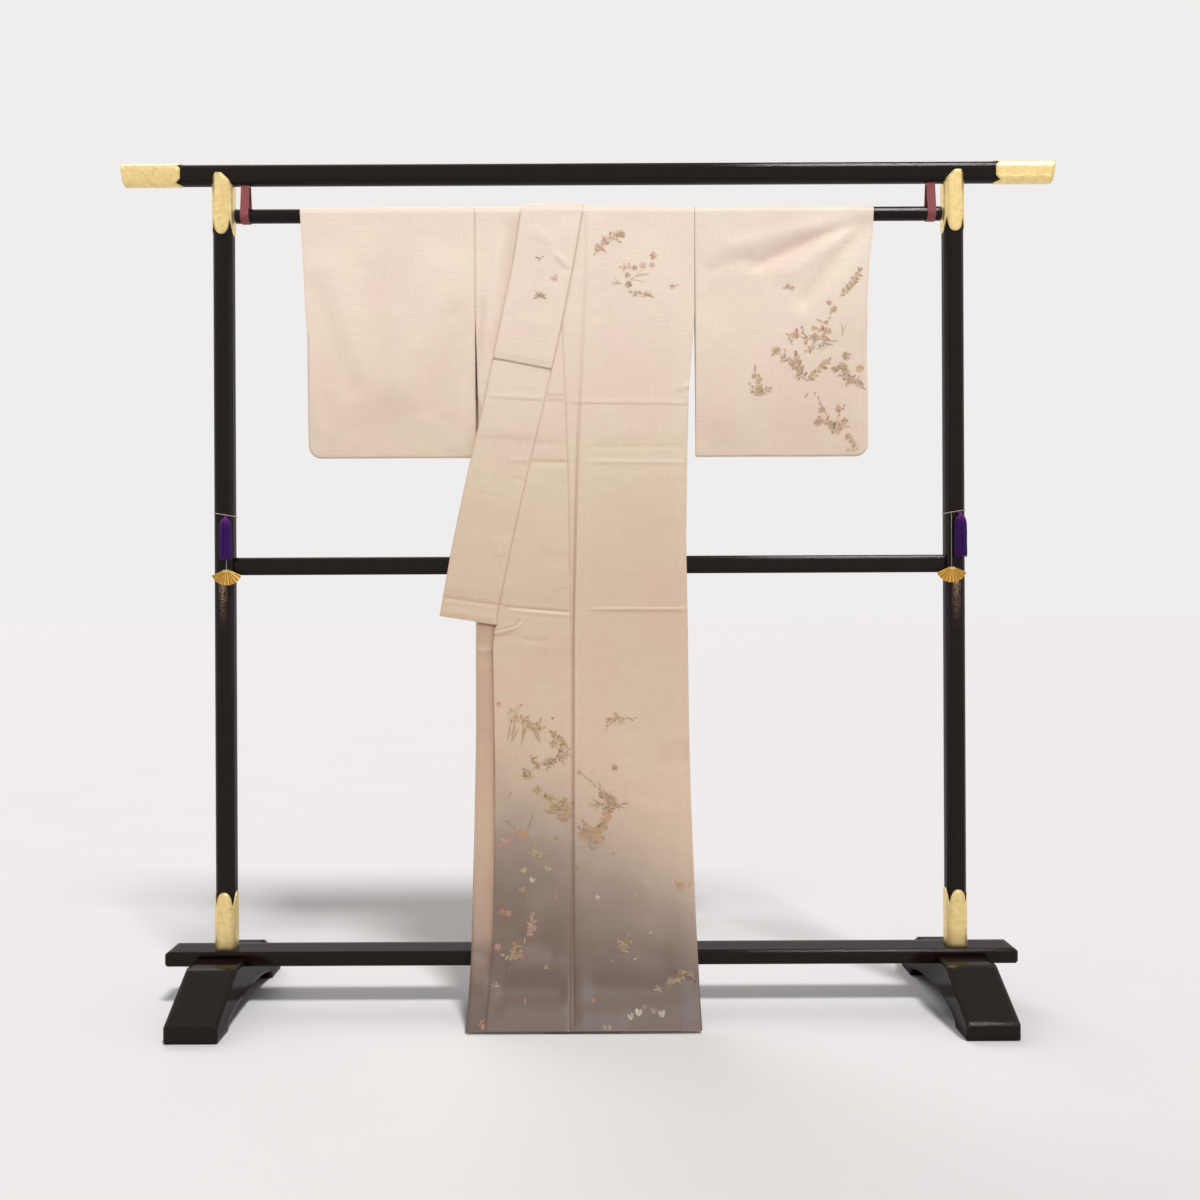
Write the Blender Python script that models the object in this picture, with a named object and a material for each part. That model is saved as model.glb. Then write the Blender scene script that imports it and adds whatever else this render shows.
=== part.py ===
"""A silk visiting kimono hung by its shoulders on a black lacquered kimono stand.

Frame: metres, +Z up, origin on the floor under the middle of the stand. X runs to the right
as one faces the garment's front, and the front faces -Y. The wearer's left side is at +X.

The cloth is worked out in layers. Every panel is a sheet of one wall thickness that follows the
same fall line: over the rod, down the front or the back, forward to the hem. A layer number says
how many sheets lie between the panel and the innermost one, so panels that cross never touch.
The neck is closed by a deep pleat down the centre back, as a kimono is hung flat for show.
"""

import math

import bmesh
import bpy
import numpy as np

# ---------------------------------------------------------------- driving sizes, stand
CLEAR = 0.0003              # gap between pieces that touch

POST_X = 0.710              # middle of each post from the middle of the stand
POST_WIDTH = 0.036
POST_DEPTH = 0.037
POST_CHAMFER = 0.007
POST_TOP = 1.612

BAR_BOTTOM = 1.593          # top bar
BAR_HEIGHT = 0.040
BAR_DEPTH = 0.028
BAR_CORNER = 0.011
BAR_HALF = 0.905
BAR_SLANT = 0.16            # how far the ends lean outwards, per metre of height

ROD_AXIS = 1.5335
ROD_RADIUS = 0.0135
ROD_HALF = 0.687

MID_BOTTOM, MID_TOP = 0.834, 0.868
MID_DEPTH = 0.024
MID_CHAMFER = 0.004

PLANK_HALF = 0.820
PLANK_DEPTH = 0.067
PLANK_BOTTOM, PLANK_TOP = 0.081, 0.108
PLANK_END_CHAMFER = 0.004

FOOT_WIDTH = 0.094
FOOT_HALF_LENGTH = 0.225
FOOT_TOP = 0.096
FOOT_FLAT_HALF = 0.098      # half length of the flat on which the plank is lapped
FOOT_TOE_HEIGHT = 0.030
FOOT_PAD = 0.070            # length of the pad at each end
FOOT_ARCH = 0.034           # rise of the arch between the pads

POST_TOP_INNER_FALL = 1.0   # the post's top slopes down from its middle to its inner side
POST_TOP_OUTER_FALL = 1.3   # and more steeply, from its chamfer, to its outer side

METAL_WALL = 0.0012         # gold sleeves
TONGUE = 0.029              # height of the rounded tongue on each face of a post's sleeve
TONGUE_HALF_SHARE = 0.76    # its half width, as a share of the post's half width
TONGUE_ROUNDNESS = 2.4
TOP_SLEEVE_LENGTH = 0.119
FOOT_SLEEVE_LENGTH = 0.111
END_SLEEVE_LENGTH = 0.117
END_SCALLOP = 0.014         # depth of the notches in a bar cap's inner edge
OUTLINE_STEP = 0.0019       # longest side of a scalloped sleeve's outline

BAND_X = 0.667              # cloth bands that hang the rod from the top bar
BAND_WIDTH = 0.016
BAND_WALL = 0.0016
BAND_ROOT = 0.006           # half distance between a band's two ends under the bar

TASSEL_TOP, TASSEL_BOTTOM = 0.947, 0.861
TASSEL_HEAD = 0.016         # length of the bound head
TASSEL_RADIUS = 0.0112
STRAND = 0.0018             # across a strand, corner to corner
STRAND_SPREAD = 1.12        # how much wider the skirt is at its foot than at its head
CORD_RADIUS = 0.0009
STRING_RADIUS = 0.0006
CORD_TILT = 0.006           # rise of the tie round the post, from its inner to its outer side
FAN_TOP, FAN_RADIUS = 0.845, 0.031
FAN_GATHER = 0.006          # radius at which the pleats are gathered
FAN_CAP = (0.0062, 0.0032, 0.0050)    # half width, half depth and height of the cap over the gather
FAN_SPREAD = math.radians(66)
FAN_PLEATS = 9
FAN_PLEAT_DEPTH = 0.07      # depth of a pleat as a share of the distance from the fan's pivot
FAN_WALL = 0.0011

# The ornament tied to each post: the fan hangs under the tassel's head, or from the tie beside it.
#  side of the stand, sign of x, tassel x, fan x
ORNAMENTS = (
    ("right", -1, -0.7015, -0.6995),
    ("left", 1, 0.7150, 0.6994),
)

# ---------------------------------------------------------------- driving sizes, cloth
WALL = 0.0014
LAYER = 0.0020              # from the middle of one sheet to the middle of the next
SEAM = 0.00015              # half the gap at a seam
HANG_X = -0.0045            # the kimono hangs this far from the middle of the stand
CREST_RADIUS = 0.0146       # innermost sheet round the rod, to the middle of its wall
CREST_STEPS = 12
TURN = 0.0032               # how far a side seam's rounded turn stands out
SEAM_START = 0.004          # height over which an edge draws in to the start of its seam
HEM, BACK_HEM = 0.004, 0.011
UNDERARM = 1.18             # where the side seams begin
BACK_NECK = ROD_AXIS - 0.004
CENTRE_BACK = -0.089        # centre back seam, at the bottom of the pleat's outer fold
PLEAT_FOLD = -0.0060        # inner fold of the pleat
NECK = -0.0035              # both neck points, brought together by the pleat

CUFF = 1.310                # lower end of the cuff opening
SLEEVE_HEM = 1.060
SLEEVE_CORNER = 0.020
LEFT_SLEEVE_INNER = 0.2112
RIGHT_SLEEVE_INNER = -0.2154

# The fall of the body's innermost front sheet, and the depth between front and back.
#  height,    y,       depth
BODY_FALL = (
    (1.5335, -0.0146, 0.0292),
    (1.4400, -0.0150, 0.0265),
    (1.3340, -0.0165, 0.0222),
    (1.1800, -0.0190, 0.0165),
    (1.0600, -0.0210, 0.0122),
    (0.8700, -0.0243, 0.0064),
    (0.6200, -0.0262, 0.0064),
    (0.4500, -0.0300, 0.0064),
    (0.3200, -0.0400, 0.0060),
    (0.2200, -0.0580, 0.0056),
    (0.1500, -0.0810, 0.0052),
    (0.1000, -0.1040, 0.0048),
    (0.0620, -0.1280, 0.0044),
    (0.0300, -0.1550, 0.0044),
    (0.0000, -0.1840, 0.0044),
)
# The same of a sleeve.
SLEEVE_FALL = (
    (1.5335, -0.0146, 0.0292),
    (1.4400, -0.0150, 0.0265),
    (1.3340, -0.0163, 0.0222),
    (1.1800, -0.0150, 0.0125),
    (1.0600, -0.0118, 0.0056),
)
FALL_Y, FALL_DEPTH = 1, 2

# Side edges of the hung body.
#  height, right side, left side
SIDES = (
    (1.557, -0.2150, 0.2108),
    (1.334, -0.2150, 0.2100),
    (1.265, -0.2125, 0.2045),
    (1.180, -0.2105, 0.1975),
    (1.030, -0.2100, 0.1934),
    (0.900, -0.2120, 0.1907),
    (0.720, -0.2154, 0.1930),
    (0.530, -0.2158, 0.1945),
    (0.400, -0.2180, 0.1970),
    (0.250, -0.2206, 0.2012),
    (0.110, -0.2206, 0.2034),
    (0.000, -0.2230, 0.2034),
)
RIGHT_SIDE, LEFT_SIDE = 1, 2

# Seams and free edges of the left front, which lies on top.
#  height, collar edge, collar seam, okumi seam, okumi edge
LEFT_FRONT = (
    (1.557, -0.1220, NECK, -0.0480, -0.1740),
    (1.442, -0.1396, -0.0233, -0.0480, -0.1740),
    (1.302, -0.1691, -0.0510, -0.0471, -0.1740),
    (1.163, -0.1986, -0.0825, -0.0412, -0.1740),
    (1.023, -0.2319, -0.1159, -0.0366, -0.1740),
    (0.884, -0.2612, -0.1473, -0.0342, -0.1740),
    (0.753, -0.2848, -0.1745, -0.0332, -0.1770),
    (0.690, -0.2848, -0.1745, -0.0328, -0.1828),
    (0.456, -0.2848, -0.1745, -0.0330, -0.1796),
    (0.250, -0.2848, -0.1745, -0.0337, -0.1800),
    (0.110, -0.2848, -0.1745, -0.0355, -0.1815),
    (0.000, -0.2848, -0.1745, -0.0350, -0.1865),
)
# The same lines of the right front, which lies under it with its collar folded narrower.
#  height, collar edge, collar seam, okumi seam, okumi edge
RIGHT_FRONT = (
    (1.557, 0.0540, NECK + 0.0005, 0.0400, 0.1560),
    (1.442, 0.0765, 0.0190, 0.0400, 0.1560),
    (1.302, 0.1005, 0.0430, 0.0387, 0.1560),
    (1.163, 0.1255, 0.0680, 0.0240, 0.1560),
    (1.023, 0.1535, 0.0960, 0.0176, 0.1560),
    (0.884, 0.1740, 0.1260, 0.0140, 0.1560),
    (0.753, 0.1760, 0.1530, 0.0120, 0.1560),
    (0.690, 0.1760, 0.1530, 0.0110, 0.1604),
    (0.456, 0.1760, 0.1530, 0.0120, 0.1586),
    (0.250, 0.1760, 0.1530, 0.0150, 0.1605),
    (0.110, 0.1760, 0.1530, 0.0155, 0.1636),
    (0.000, 0.1760, 0.1530, 0.0150, 0.1662),
)
COLLAR_EDGE, COLLAR_SEAM, OKUMI_SEAM, OKUMI_EDGE = 1, 2, 3, 4
OKUMI_TIP = 1.285
COLLAR_END = (0.7531, 0.7352)         # heights of its lower end, at its free edge and its seam
OVER_COLLAR_END = (1.2520, 1.2301)
OVER_COLLAR_INSET = 0.0008

# Outer edges of the sleeves.
#  height, right sleeve, left sleeve
CUFFS = (
    (1.557, -0.5555, 0.5590),
    (1.500, -0.5522, 0.5568),
    (1.440, -0.5480, 0.5487),
    (1.360, -0.5448, 0.5442),
    (1.300, -0.5409, 0.5446),
    (1.170, -0.5405, 0.5464),
    (1.060, -0.5395, 0.5457),
)

# Soft folds of the sleeves: a ridge along a line, in metres from the sleeve's inner top corner.
#  sleeve, out 1, down 1, out 2, down 2, half width, height
SLEEVE_FOLDS = (
    ("left", 0.05, 0.42, 0.31, 0.06, 0.055, 0.0050),
    ("left", 0.20, 0.47, 0.33, 0.25, 0.045, -0.0035),
    ("left", 0.03, 0.20, 0.20, 0.03, 0.050, -0.0030),
    ("right", 0.06, 0.08, 0.16, 0.36, 0.050, 0.0045),
    ("right", 0.31, 0.08, 0.20, 0.38, 0.055, 0.0040),
    ("right", 0.20, 0.10, 0.18, 0.45, 0.045, -0.0035),
)

# Heights of the rows of every panel of the body, below the rod.
BODY_ROWS = (
    1.5335, 1.490, 1.440, 1.387, 1.334, 1.285, 1.235, UNDERARM + SEAM_START, UNDERARM,
    1.110, 1.035, 0.960, 0.885,
    0.810, 0.7345, 0.722, 0.680, 0.610, 0.530, 0.450, 0.385, 0.320, 0.268, 0.220, 0.183, 0.150,
    0.122, 0.098, 0.076, 0.054, 0.034, 0.018, HEM,
)
SLEEVE_ROWS = (1.5335, 1.490, 1.440, 1.387, 1.334, CUFF + SEAM_START, CUFF, 1.245, 1.180, 1.115)
CORNER_ROWS = 4

COLOURS = {
    "silk": (0.78, 0.66, 0.55, 1.0),
    "lacquer": (0.012, 0.008, 0.008, 1.0),
    "gold": (0.86, 0.60, 0.20, 1.0),
    "band": (0.30, 0.04, 0.05, 1.0),
    "tassel": (0.06, 0.01, 0.18, 1.0),
    "cord": (0.55, 0.50, 0.45, 1.0),
}


# ---------------------------------------------------------------- scene and materials
def clear_scene():
    """Remove whatever the scene holds."""
    for obj in list(bpy.data.objects):
        bpy.data.objects.remove(obj, do_unlink=True)


def material(name, roughness, metallic=0.0):
    """A Principled material of one finish."""
    made = bpy.data.materials.new(name)
    made.use_nodes = True
    shader = made.node_tree.nodes["Principled BSDF"]
    shader.inputs["Base Color"].default_value = COLOURS[name]
    shader.inputs["Roughness"].default_value = roughness
    shader.inputs["Metallic"].default_value = metallic
    return made


def add_object(name, points, faces, finish, smooth=True):
    """A mesh object from points and faces, with its faces turned outwards."""
    mesh = bpy.data.meshes.new(name)
    mesh.from_pydata([tuple(map(float, point)) for point in points], [], [tuple(face) for face in faces])
    shape = bmesh.new()
    shape.from_mesh(mesh)
    bmesh.ops.recalc_face_normals(shape, faces=shape.faces)
    shape.to_mesh(mesh)
    shape.free()
    if smooth:
        mesh.shade_smooth()
        mesh.set_sharp_from_angle(angle=math.radians(35))
    obj = bpy.data.objects.new(name, mesh)
    obj.data.materials.append(finish)
    bpy.context.collection.objects.link(obj)
    return obj


def solidify(obj, wall):
    """Give a sheet its wall, half to each side."""
    shell = obj.modifiers.new("wall", "SOLIDIFY")
    shell.thickness = wall
    shell.offset = 0.0
    shell.use_even_offset = True
    shell.use_rim = True
    return obj


# ---------------------------------------------------------------- shape helpers, stand
def loft(loops, closed_ends=True):
    """Faces that join loops of equal length, one after another, with the two ends filled."""
    count = len(loops[0])
    points = [point for loop in loops for point in loop]
    faces = []
    for ring in range(len(loops) - 1):
        for i in range(count):
            j = (i + 1) % count
            faces.append((ring * count + i, ring * count + j, (ring + 1) * count + j, (ring + 1) * count + i))
    if closed_ends:
        faces.append(tuple(range(count))[::-1])
        faces.append(tuple(range((len(loops) - 1) * count, len(loops) * count)))
    return points, faces


def octagon(half_a, half_b, chamfer):
    """Corners of a rectangle with its corners cut off, counter-clockwise."""
    cut = chamfer
    return [
        (half_a, -half_b + cut), (half_a, half_b - cut), (half_a - cut, half_b), (-half_a + cut, half_b),
        (-half_a, half_b - cut), (-half_a, -half_b + cut), (-half_a + cut, -half_b), (half_a - cut, -half_b),
    ]


def rounded_rectangle(half_a, half_b, radius, steps=4):
    """Points of a rectangle with rounded corners, counter-clockwise."""
    points = []
    for corner, (sign_a, sign_b) in enumerate(((1, 1), (-1, 1), (-1, -1), (1, -1))):
        for step in range(steps + 1):
            turn = math.pi / 2 * (corner + step / steps)
            points.append((
                sign_a * (half_a - radius) + radius * math.cos(turn),
                sign_b * (half_b - radius) + radius * math.sin(turn),
            ))
    return points


def subdivided(loop, longest):
    """The closed loop with extra points, so that no side is longer than the given length."""
    points = []
    for i, first in enumerate(loop):
        second = loop[(i + 1) % len(loop)]
        parts = max(1, math.ceil(math.dist(first, second) / longest))
        points += [tuple(a + (b - a) * k / parts for a, b in zip(first, second)) for k in range(parts)]
    return points


def tube_between(outer, inner, cap=None):
    """A wall between two skins of two loops each. cap gives the faces that close the second end."""
    count = len(outer[0])
    points = [point for skin in (outer, inner) for loop in skin for point in loop]
    first_out, last_out, first_in, last_in = (k * count for k in range(4))
    faces = []
    for i in range(count):
        j = (i + 1) % count
        faces.append((first_out + i, first_out + j, last_out + j, last_out + i))
        faces.append((last_in + i, last_in + j, first_in + j, first_in + i))
        faces.append((first_out + j, first_out + i, first_in + i, first_in + j))
        if not cap:
            faces.append((last_out + i, last_out + j, last_in + j, last_in + i))
    if cap:
        faces += cap(last_out) + [face[::-1] for face in cap(last_in)]
    return points, faces


def flat_end(count):
    """A cap of one face, for tube_between."""
    def cap(first):
        return [tuple(range(first, first + count))]
    return cap


def box_cutter(name, low, high):
    """A hidden box that a Boolean cuts with."""
    points = [
        (x, y, z)
        for z in (low[2], high[2])
        for x, y in ((low[0], low[1]), (high[0], low[1]), (high[0], high[1]), (low[0], high[1]))
    ]
    faces = [(3, 2, 1, 0), (4, 5, 6, 7), (0, 1, 5, 4), (1, 2, 6, 5), (2, 3, 7, 6), (3, 0, 4, 7)]
    mesh = bpy.data.meshes.new(name)
    mesh.from_pydata(points, [], faces)
    cutter = bpy.data.objects.new(name, mesh)
    cutter.hide_render = True
    cutter.display_type = "WIRE"
    bpy.context.collection.objects.link(cutter)
    return cutter


def cut(obj, cutter, operation="DIFFERENCE"):
    """Cut an object with another, or join the other to it."""
    boolean = obj.modifiers.new("cut", "BOOLEAN")
    boolean.operation = operation
    boolean.solver = "EXACT"
    boolean.object = cutter


def tube_along(path, radius, sides):
    """Loops of a round tube along a closed path in space; each loop stands across the path."""
    loops = []
    count = len(path)
    for i in range(count):
        here = np.array(path[i])
        along = np.array(path[(i + 1) % count]) - np.array(path[i - 1])
        along /= np.linalg.norm(along)
        across = np.cross(along, (0.0, 0.0, 1.0))
        across /= np.linalg.norm(across)
        upward = np.cross(across, along)
        loops.append([
            here + radius * (math.cos(turn) * across + math.sin(turn) * upward)
            for turn in (2 * math.pi * k / sides for k in range(sides))
        ])
    return loops


# ---------------------------------------------------------------- stand
def post_roof(x):
    """Height of a post's top at x, measured outwards from its middle: flat between two slopes."""
    edge = POST_WIDTH / 2 - POST_CHAMFER
    return POST_TOP - POST_TOP_INNER_FALL * max(0.0, -x) - POST_TOP_OUTER_FALL * max(0.0, x - edge)


def roof_faces(outline, first):
    """One flat face for each slope of a post's top, over loop points numbered from first."""
    edge = POST_WIDTH / 2 - POST_CHAMFER
    near = 1e-6
    return [
        tuple(first + i for i, (x, _) in enumerate(outline) if low - near <= x <= high + near)
        for low, high in ((-POST_WIDTH, 0.0), (0.0, edge), (edge, POST_WIDTH))
    ]


def make_posts(lacquer, channel):
    """Two chamfered posts that stand on the plank; the top bar lies in a channel in their tops."""
    half_side = POST_WIDTH / 2 - POST_CHAMFER
    outline = subdivided(octagon(POST_WIDTH / 2, POST_DEPTH / 2, POST_CHAMFER), half_side)
    count = len(outline)
    for side, name in ((-1, "right_post"), (1, "left_post")):
        loops = [
            [(side * (POST_X + x), y, PLANK_TOP + CLEAR) for x, y in outline],
            [(side * (POST_X + x), y, post_roof(x)) for x, y in outline],
        ]
        points, faces = loft(loops, closed_ends=False)
        faces += [tuple(range(count))[::-1]] + roof_faces(outline, count)
        cut(add_object(name, points, faces, lacquer), channel)


def bar_section():
    """Outline of the top bar across its length, as (y, z)."""
    middle = BAR_BOTTOM + BAR_HEIGHT / 2
    return [(y, middle + z) for y, z in rounded_rectangle(BAR_DEPTH / 2, BAR_HEIGHT / 2, BAR_CORNER)]


def bar_end_x(half, z):
    """Distance of a bar end from the middle at a height: the ends lean outwards."""
    return half + BAR_SLANT * (z - BAR_BOTTOM - BAR_HEIGHT / 2)


def make_top_bar(lacquer):
    """The long bar across the top."""
    section = bar_section()
    loops = [
        [(side * bar_end_x(BAR_HALF - METAL_WALL - CLEAR, z), y, z) for y, z in section]
        for side in (-1, 1)
    ]
    add_object("top_bar", *loft(loops), lacquer)


def make_bar_ends(gold):
    """Gold caps on the bar's ends, with a pointed scallop on the inner edge of each face."""
    middle = BAR_BOTTOM + BAR_HEIGHT / 2
    grown = METAL_WALL + CLEAR
    for side, name in ((-1, "right_bar_cap"), (1, "left_bar_cap")):
        skins = []
        for out, cap in ((grown, 0.0), (CLEAR, METAL_WALL)):
            section = rounded_rectangle(
                BAR_DEPTH / 2 + out, BAR_HEIGHT / 2 + out, BAR_CORNER + out, steps=6
            )
            inner, outer = [], []
            for y, z in section:
                turn = math.atan2(z / BAR_HEIGHT, y / BAR_DEPTH)
                scallop = END_SCALLOP * (1 - abs(math.cos(2 * turn)) ** 0.7)
                inner.append((side * (BAR_HALF - END_SLEEVE_LENGTH + scallop), y, middle + z))
                outer.append((side * bar_end_x(BAR_HALF - cap, middle + z), y, middle + z))
            skins.append((inner, outer))
        add_object(name, *tube_between(*skins, cap=flat_end(len(section))), gold)


def tongue_at(x, y):
    """Reach of a sleeve's edge at a point: a rounded tongue on each face, notched at the corners."""
    across = x / (POST_WIDTH / 2) if abs(y) > POST_DEPTH / 2 - POST_CHAMFER / 2 else y / (POST_DEPTH / 2)
    missing = min(1.0, abs(across) / TONGUE_HALF_SHARE) ** TONGUE_ROUNDNESS
    return TONGUE * (1 - missing) ** (1 / TONGUE_ROUNDNESS)


def post_sleeve(name, side, gold, edges, roofed=False):
    """A gold tube round a post; edges gives its two ends' heights at a point of a skin's outline."""
    outline = subdivided(octagon(POST_WIDTH / 2, POST_DEPTH / 2, POST_CHAMFER), OUTLINE_STEP)

    def roof(first):
        return roof_faces(outline, first)

    skins = []
    for out in (METAL_WALL + CLEAR, CLEAR):
        grow_x = 1 + out / (POST_WIDTH / 2)
        grow_y = 1 + out / (POST_DEPTH / 2)
        loops = [
            [(side * (POST_X + x * grow_x), y * grow_y, edges(x, y, out)[end]) for x, y in outline]
            for end in (0, 1)
        ]
        skins.append(loops)
    return add_object(name, *tube_between(*skins, cap=roof if roofed else None), gold)


def make_post_sleeves(gold, channel):
    """Gold sleeves round the tops and the bottoms of the posts. Those at the top are closed."""
    top = POST_TOP + METAL_WALL + CLEAR
    bottom = PLANK_TOP + CLEAR

    def top_edges(x, y, out):
        return top - TOP_SLEEVE_LENGTH + TONGUE - tongue_at(x, y), post_roof(x) + out

    def foot_edges(x, y, _):
        return bottom + FOOT_SLEEVE_LENGTH - TONGUE + tongue_at(x, y), bottom

    for side, word in ((-1, "right"), (1, "left")):
        cut(post_sleeve(word + "_post_top_sleeve", side, gold, top_edges, roofed=True), channel)
        post_sleeve(word + "_post_foot_sleeve", side, gold, foot_edges)


def make_rod(lacquer):
    """The round rod that the kimono hangs on."""
    circle = [
        (ROD_RADIUS * math.cos(turn), ROD_AXIS + ROD_RADIUS * math.sin(turn))
        for turn in (2 * math.pi * k / 36 for k in range(36))
    ]
    loops = [[(x, y, z) for y, z in circle] for x in (-ROD_HALF, ROD_HALF)]
    add_object("hanging_rod", *loft(loops), lacquer)


def make_bands(band):
    """Two cloth bands, each a loop from the bar's underside round the rod."""
    radius = ROD_RADIUS + CLEAR + BAND_WALL / 2 + 0.0001
    root_z = BAR_BOTTOM - CLEAR
    lean = math.asin((radius - BAND_ROOT) / (root_z - ROD_AXIS))
    steps = 14
    path = [(-BAND_ROOT, root_z)]
    for step in range(steps + 1):
        turn = math.pi - lean + (math.pi + 2 * lean) * step / steps
        path.append((radius * math.cos(turn), ROD_AXIS + radius * math.sin(turn)))
    path.append((BAND_ROOT, root_z))
    for side, name in ((-1, "right_rod_band"), (1, "left_rod_band")):
        ends = [side * BAND_X - BAND_WIDTH / 2, side * BAND_X + BAND_WIDTH / 2]
        points = [(x, y, z) for y, z in path for x in ends]
        faces = [(2 * i, 2 * i + 1, 2 * i + 3, 2 * i + 2) for i in range(len(path) - 1)]
        solidify(add_object(name, points, faces, band), BAND_WALL)


def make_mid_bar(lacquer):
    """The bar between the posts at half height."""
    half = POST_X - POST_WIDTH / 2 - CLEAR
    middle = (MID_BOTTOM + MID_TOP) / 2
    section = octagon(MID_DEPTH / 2, (MID_TOP - MID_BOTTOM) / 2, MID_CHAMFER)
    loops = [[(x, y, middle + z) for y, z in section] for x in (-half, half)]
    add_object("mid_bar", *loft(loops), lacquer)


def make_plank(lacquer):
    """The plank across the bottom, lapped over the two feet."""
    lap = FOOT_WIDTH / 2 + CLEAR
    end = PLANK_HALF - PLANK_END_CHAMFER
    half_outline = [
        (POST_X - lap, PLANK_BOTTOM),
        (POST_X - lap, FOOT_TOP + CLEAR),
        (POST_X + lap, FOOT_TOP + CLEAR),
        (POST_X + lap, PLANK_BOTTOM),
        (end, PLANK_BOTTOM),
        (PLANK_HALF, PLANK_BOTTOM + PLANK_END_CHAMFER),
        (PLANK_HALF, PLANK_TOP - PLANK_END_CHAMFER),
        (end, PLANK_TOP),
    ]
    outline = half_outline + [(-x, z) for x, z in reversed(half_outline)]
    loops = [[(x, y, z) for x, z in outline] for y in (-PLANK_DEPTH / 2, PLANK_DEPTH / 2)]
    add_object("bottom_plank", *loft(loops), lacquer, smooth=False)


def make_feet(lacquer):
    """Two feet, sloped down to their toes and arched beneath."""
    arch_half = FOOT_HALF_LENGTH - FOOT_PAD
    steps = 12
    arch = [
        (arch_half * math.cos(math.pi * k / steps), FOOT_ARCH * math.sin(math.pi * k / steps) ** 0.8)
        for k in range(steps + 1)
    ]
    outline = arch + [
        (-FOOT_HALF_LENGTH + 0.004, 0.0),
        (-FOOT_HALF_LENGTH, 0.004),
        (-FOOT_HALF_LENGTH, FOOT_TOE_HEIGHT),
        (-FOOT_FLAT_HALF, FOOT_TOP),
        (FOOT_FLAT_HALF, FOOT_TOP),
        (FOOT_HALF_LENGTH, FOOT_TOE_HEIGHT),
        (FOOT_HALF_LENGTH, 0.004),
        (FOOT_HALF_LENGTH - 0.004, 0.0),
    ]
    for side, name in ((-1, "right_foot"), (1, "left_foot")):
        ends = (side * POST_X - FOOT_WIDTH / 2, side * POST_X + FOOT_WIDTH / 2)
        loops = [[(x, y, z) for y, z in outline] for x in ends]
        add_object(name, *loft(loops), lacquer, smooth=False)


def make_tie(word, side, cord):
    """A thin cord tied round a post, a little lower at the post's inner side."""
    out = CORD_RADIUS + CLEAR
    outline = octagon(POST_WIDTH / 2 + out, POST_DEPTH / 2 + out, POST_CHAMFER)
    path = [
        (side * (POST_X + x), y, TASSEL_TOP + CORD_RADIUS + CLEAR + CORD_TILT * (0.5 + x / POST_WIDTH))
        for x, y in subdivided(outline, 0.02)
    ]
    loops = tube_along(path, CORD_RADIUS, 6)
    points, faces = loft(loops + [loops[0]], closed_ends=False)
    count = len(loops) * 6
    faces = [tuple(index % count for index in face) for face in faces]
    add_object(word + "_post_tie", points[:count], faces, cord)


def ornament_y():
    """Where a tassel's middle hangs: its head touches the post's front."""
    return -(POST_DEPTH / 2 + CLEAR + TASSEL_RADIUS)


def make_tassel(word, x_mid, tassel):
    """A tassel: strands in two rings, fused into a round head that hangs against the post."""
    y_mid = ornament_y()
    head_profile = ((0.45, 0.0), (0.85, 0.0022), (1.0, 0.006), (0.94, 0.011), (1.0, TASSEL_HEAD))
    loops = [
        [
            (x_mid + share * TASSEL_RADIUS * math.cos(turn), y_mid + share * TASSEL_RADIUS * math.sin(turn),
             TASSEL_TOP - drop)
            for turn in (2 * math.pi * k / 16 for k in range(16))
        ]
        for share, drop in head_profile
    ]
    head = add_object(word + "_tassel", *loft(loops), tassel)
    points, faces = [], []
    for ring, count in ((0.45, 7), (0.86, 15)):
        for k in range(count):
            turn = 2 * math.pi * (k + 0.5 * ring) / count
            strand = []
            for spread, z in ((1.0, TASSEL_TOP - 0.6 * TASSEL_HEAD), (STRAND_SPREAD, TASSEL_BOTTOM)):
                x = x_mid + spread * ring * TASSEL_RADIUS * math.cos(turn)
                y = y_mid + min(spread * ring * math.sin(turn), 0.86) * TASSEL_RADIUS
                strand.append([
                    (x + STRAND * dx / 2, y + STRAND * dy / 2, z)
                    for dx, dy in ((1, 0), (0, 1), (-1, 0), (0, -1))
                ])
            more_points, more_faces = loft(strand)
            faces += [tuple(len(points) + index for index in face) for face in more_faces]
            points += more_points
    strands = add_object(word + "_strands", points, faces, tassel, smooth=False)
    strands.hide_render = True
    strands.display_type = "WIRE"
    cut(head, strands, "UNION")


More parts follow.
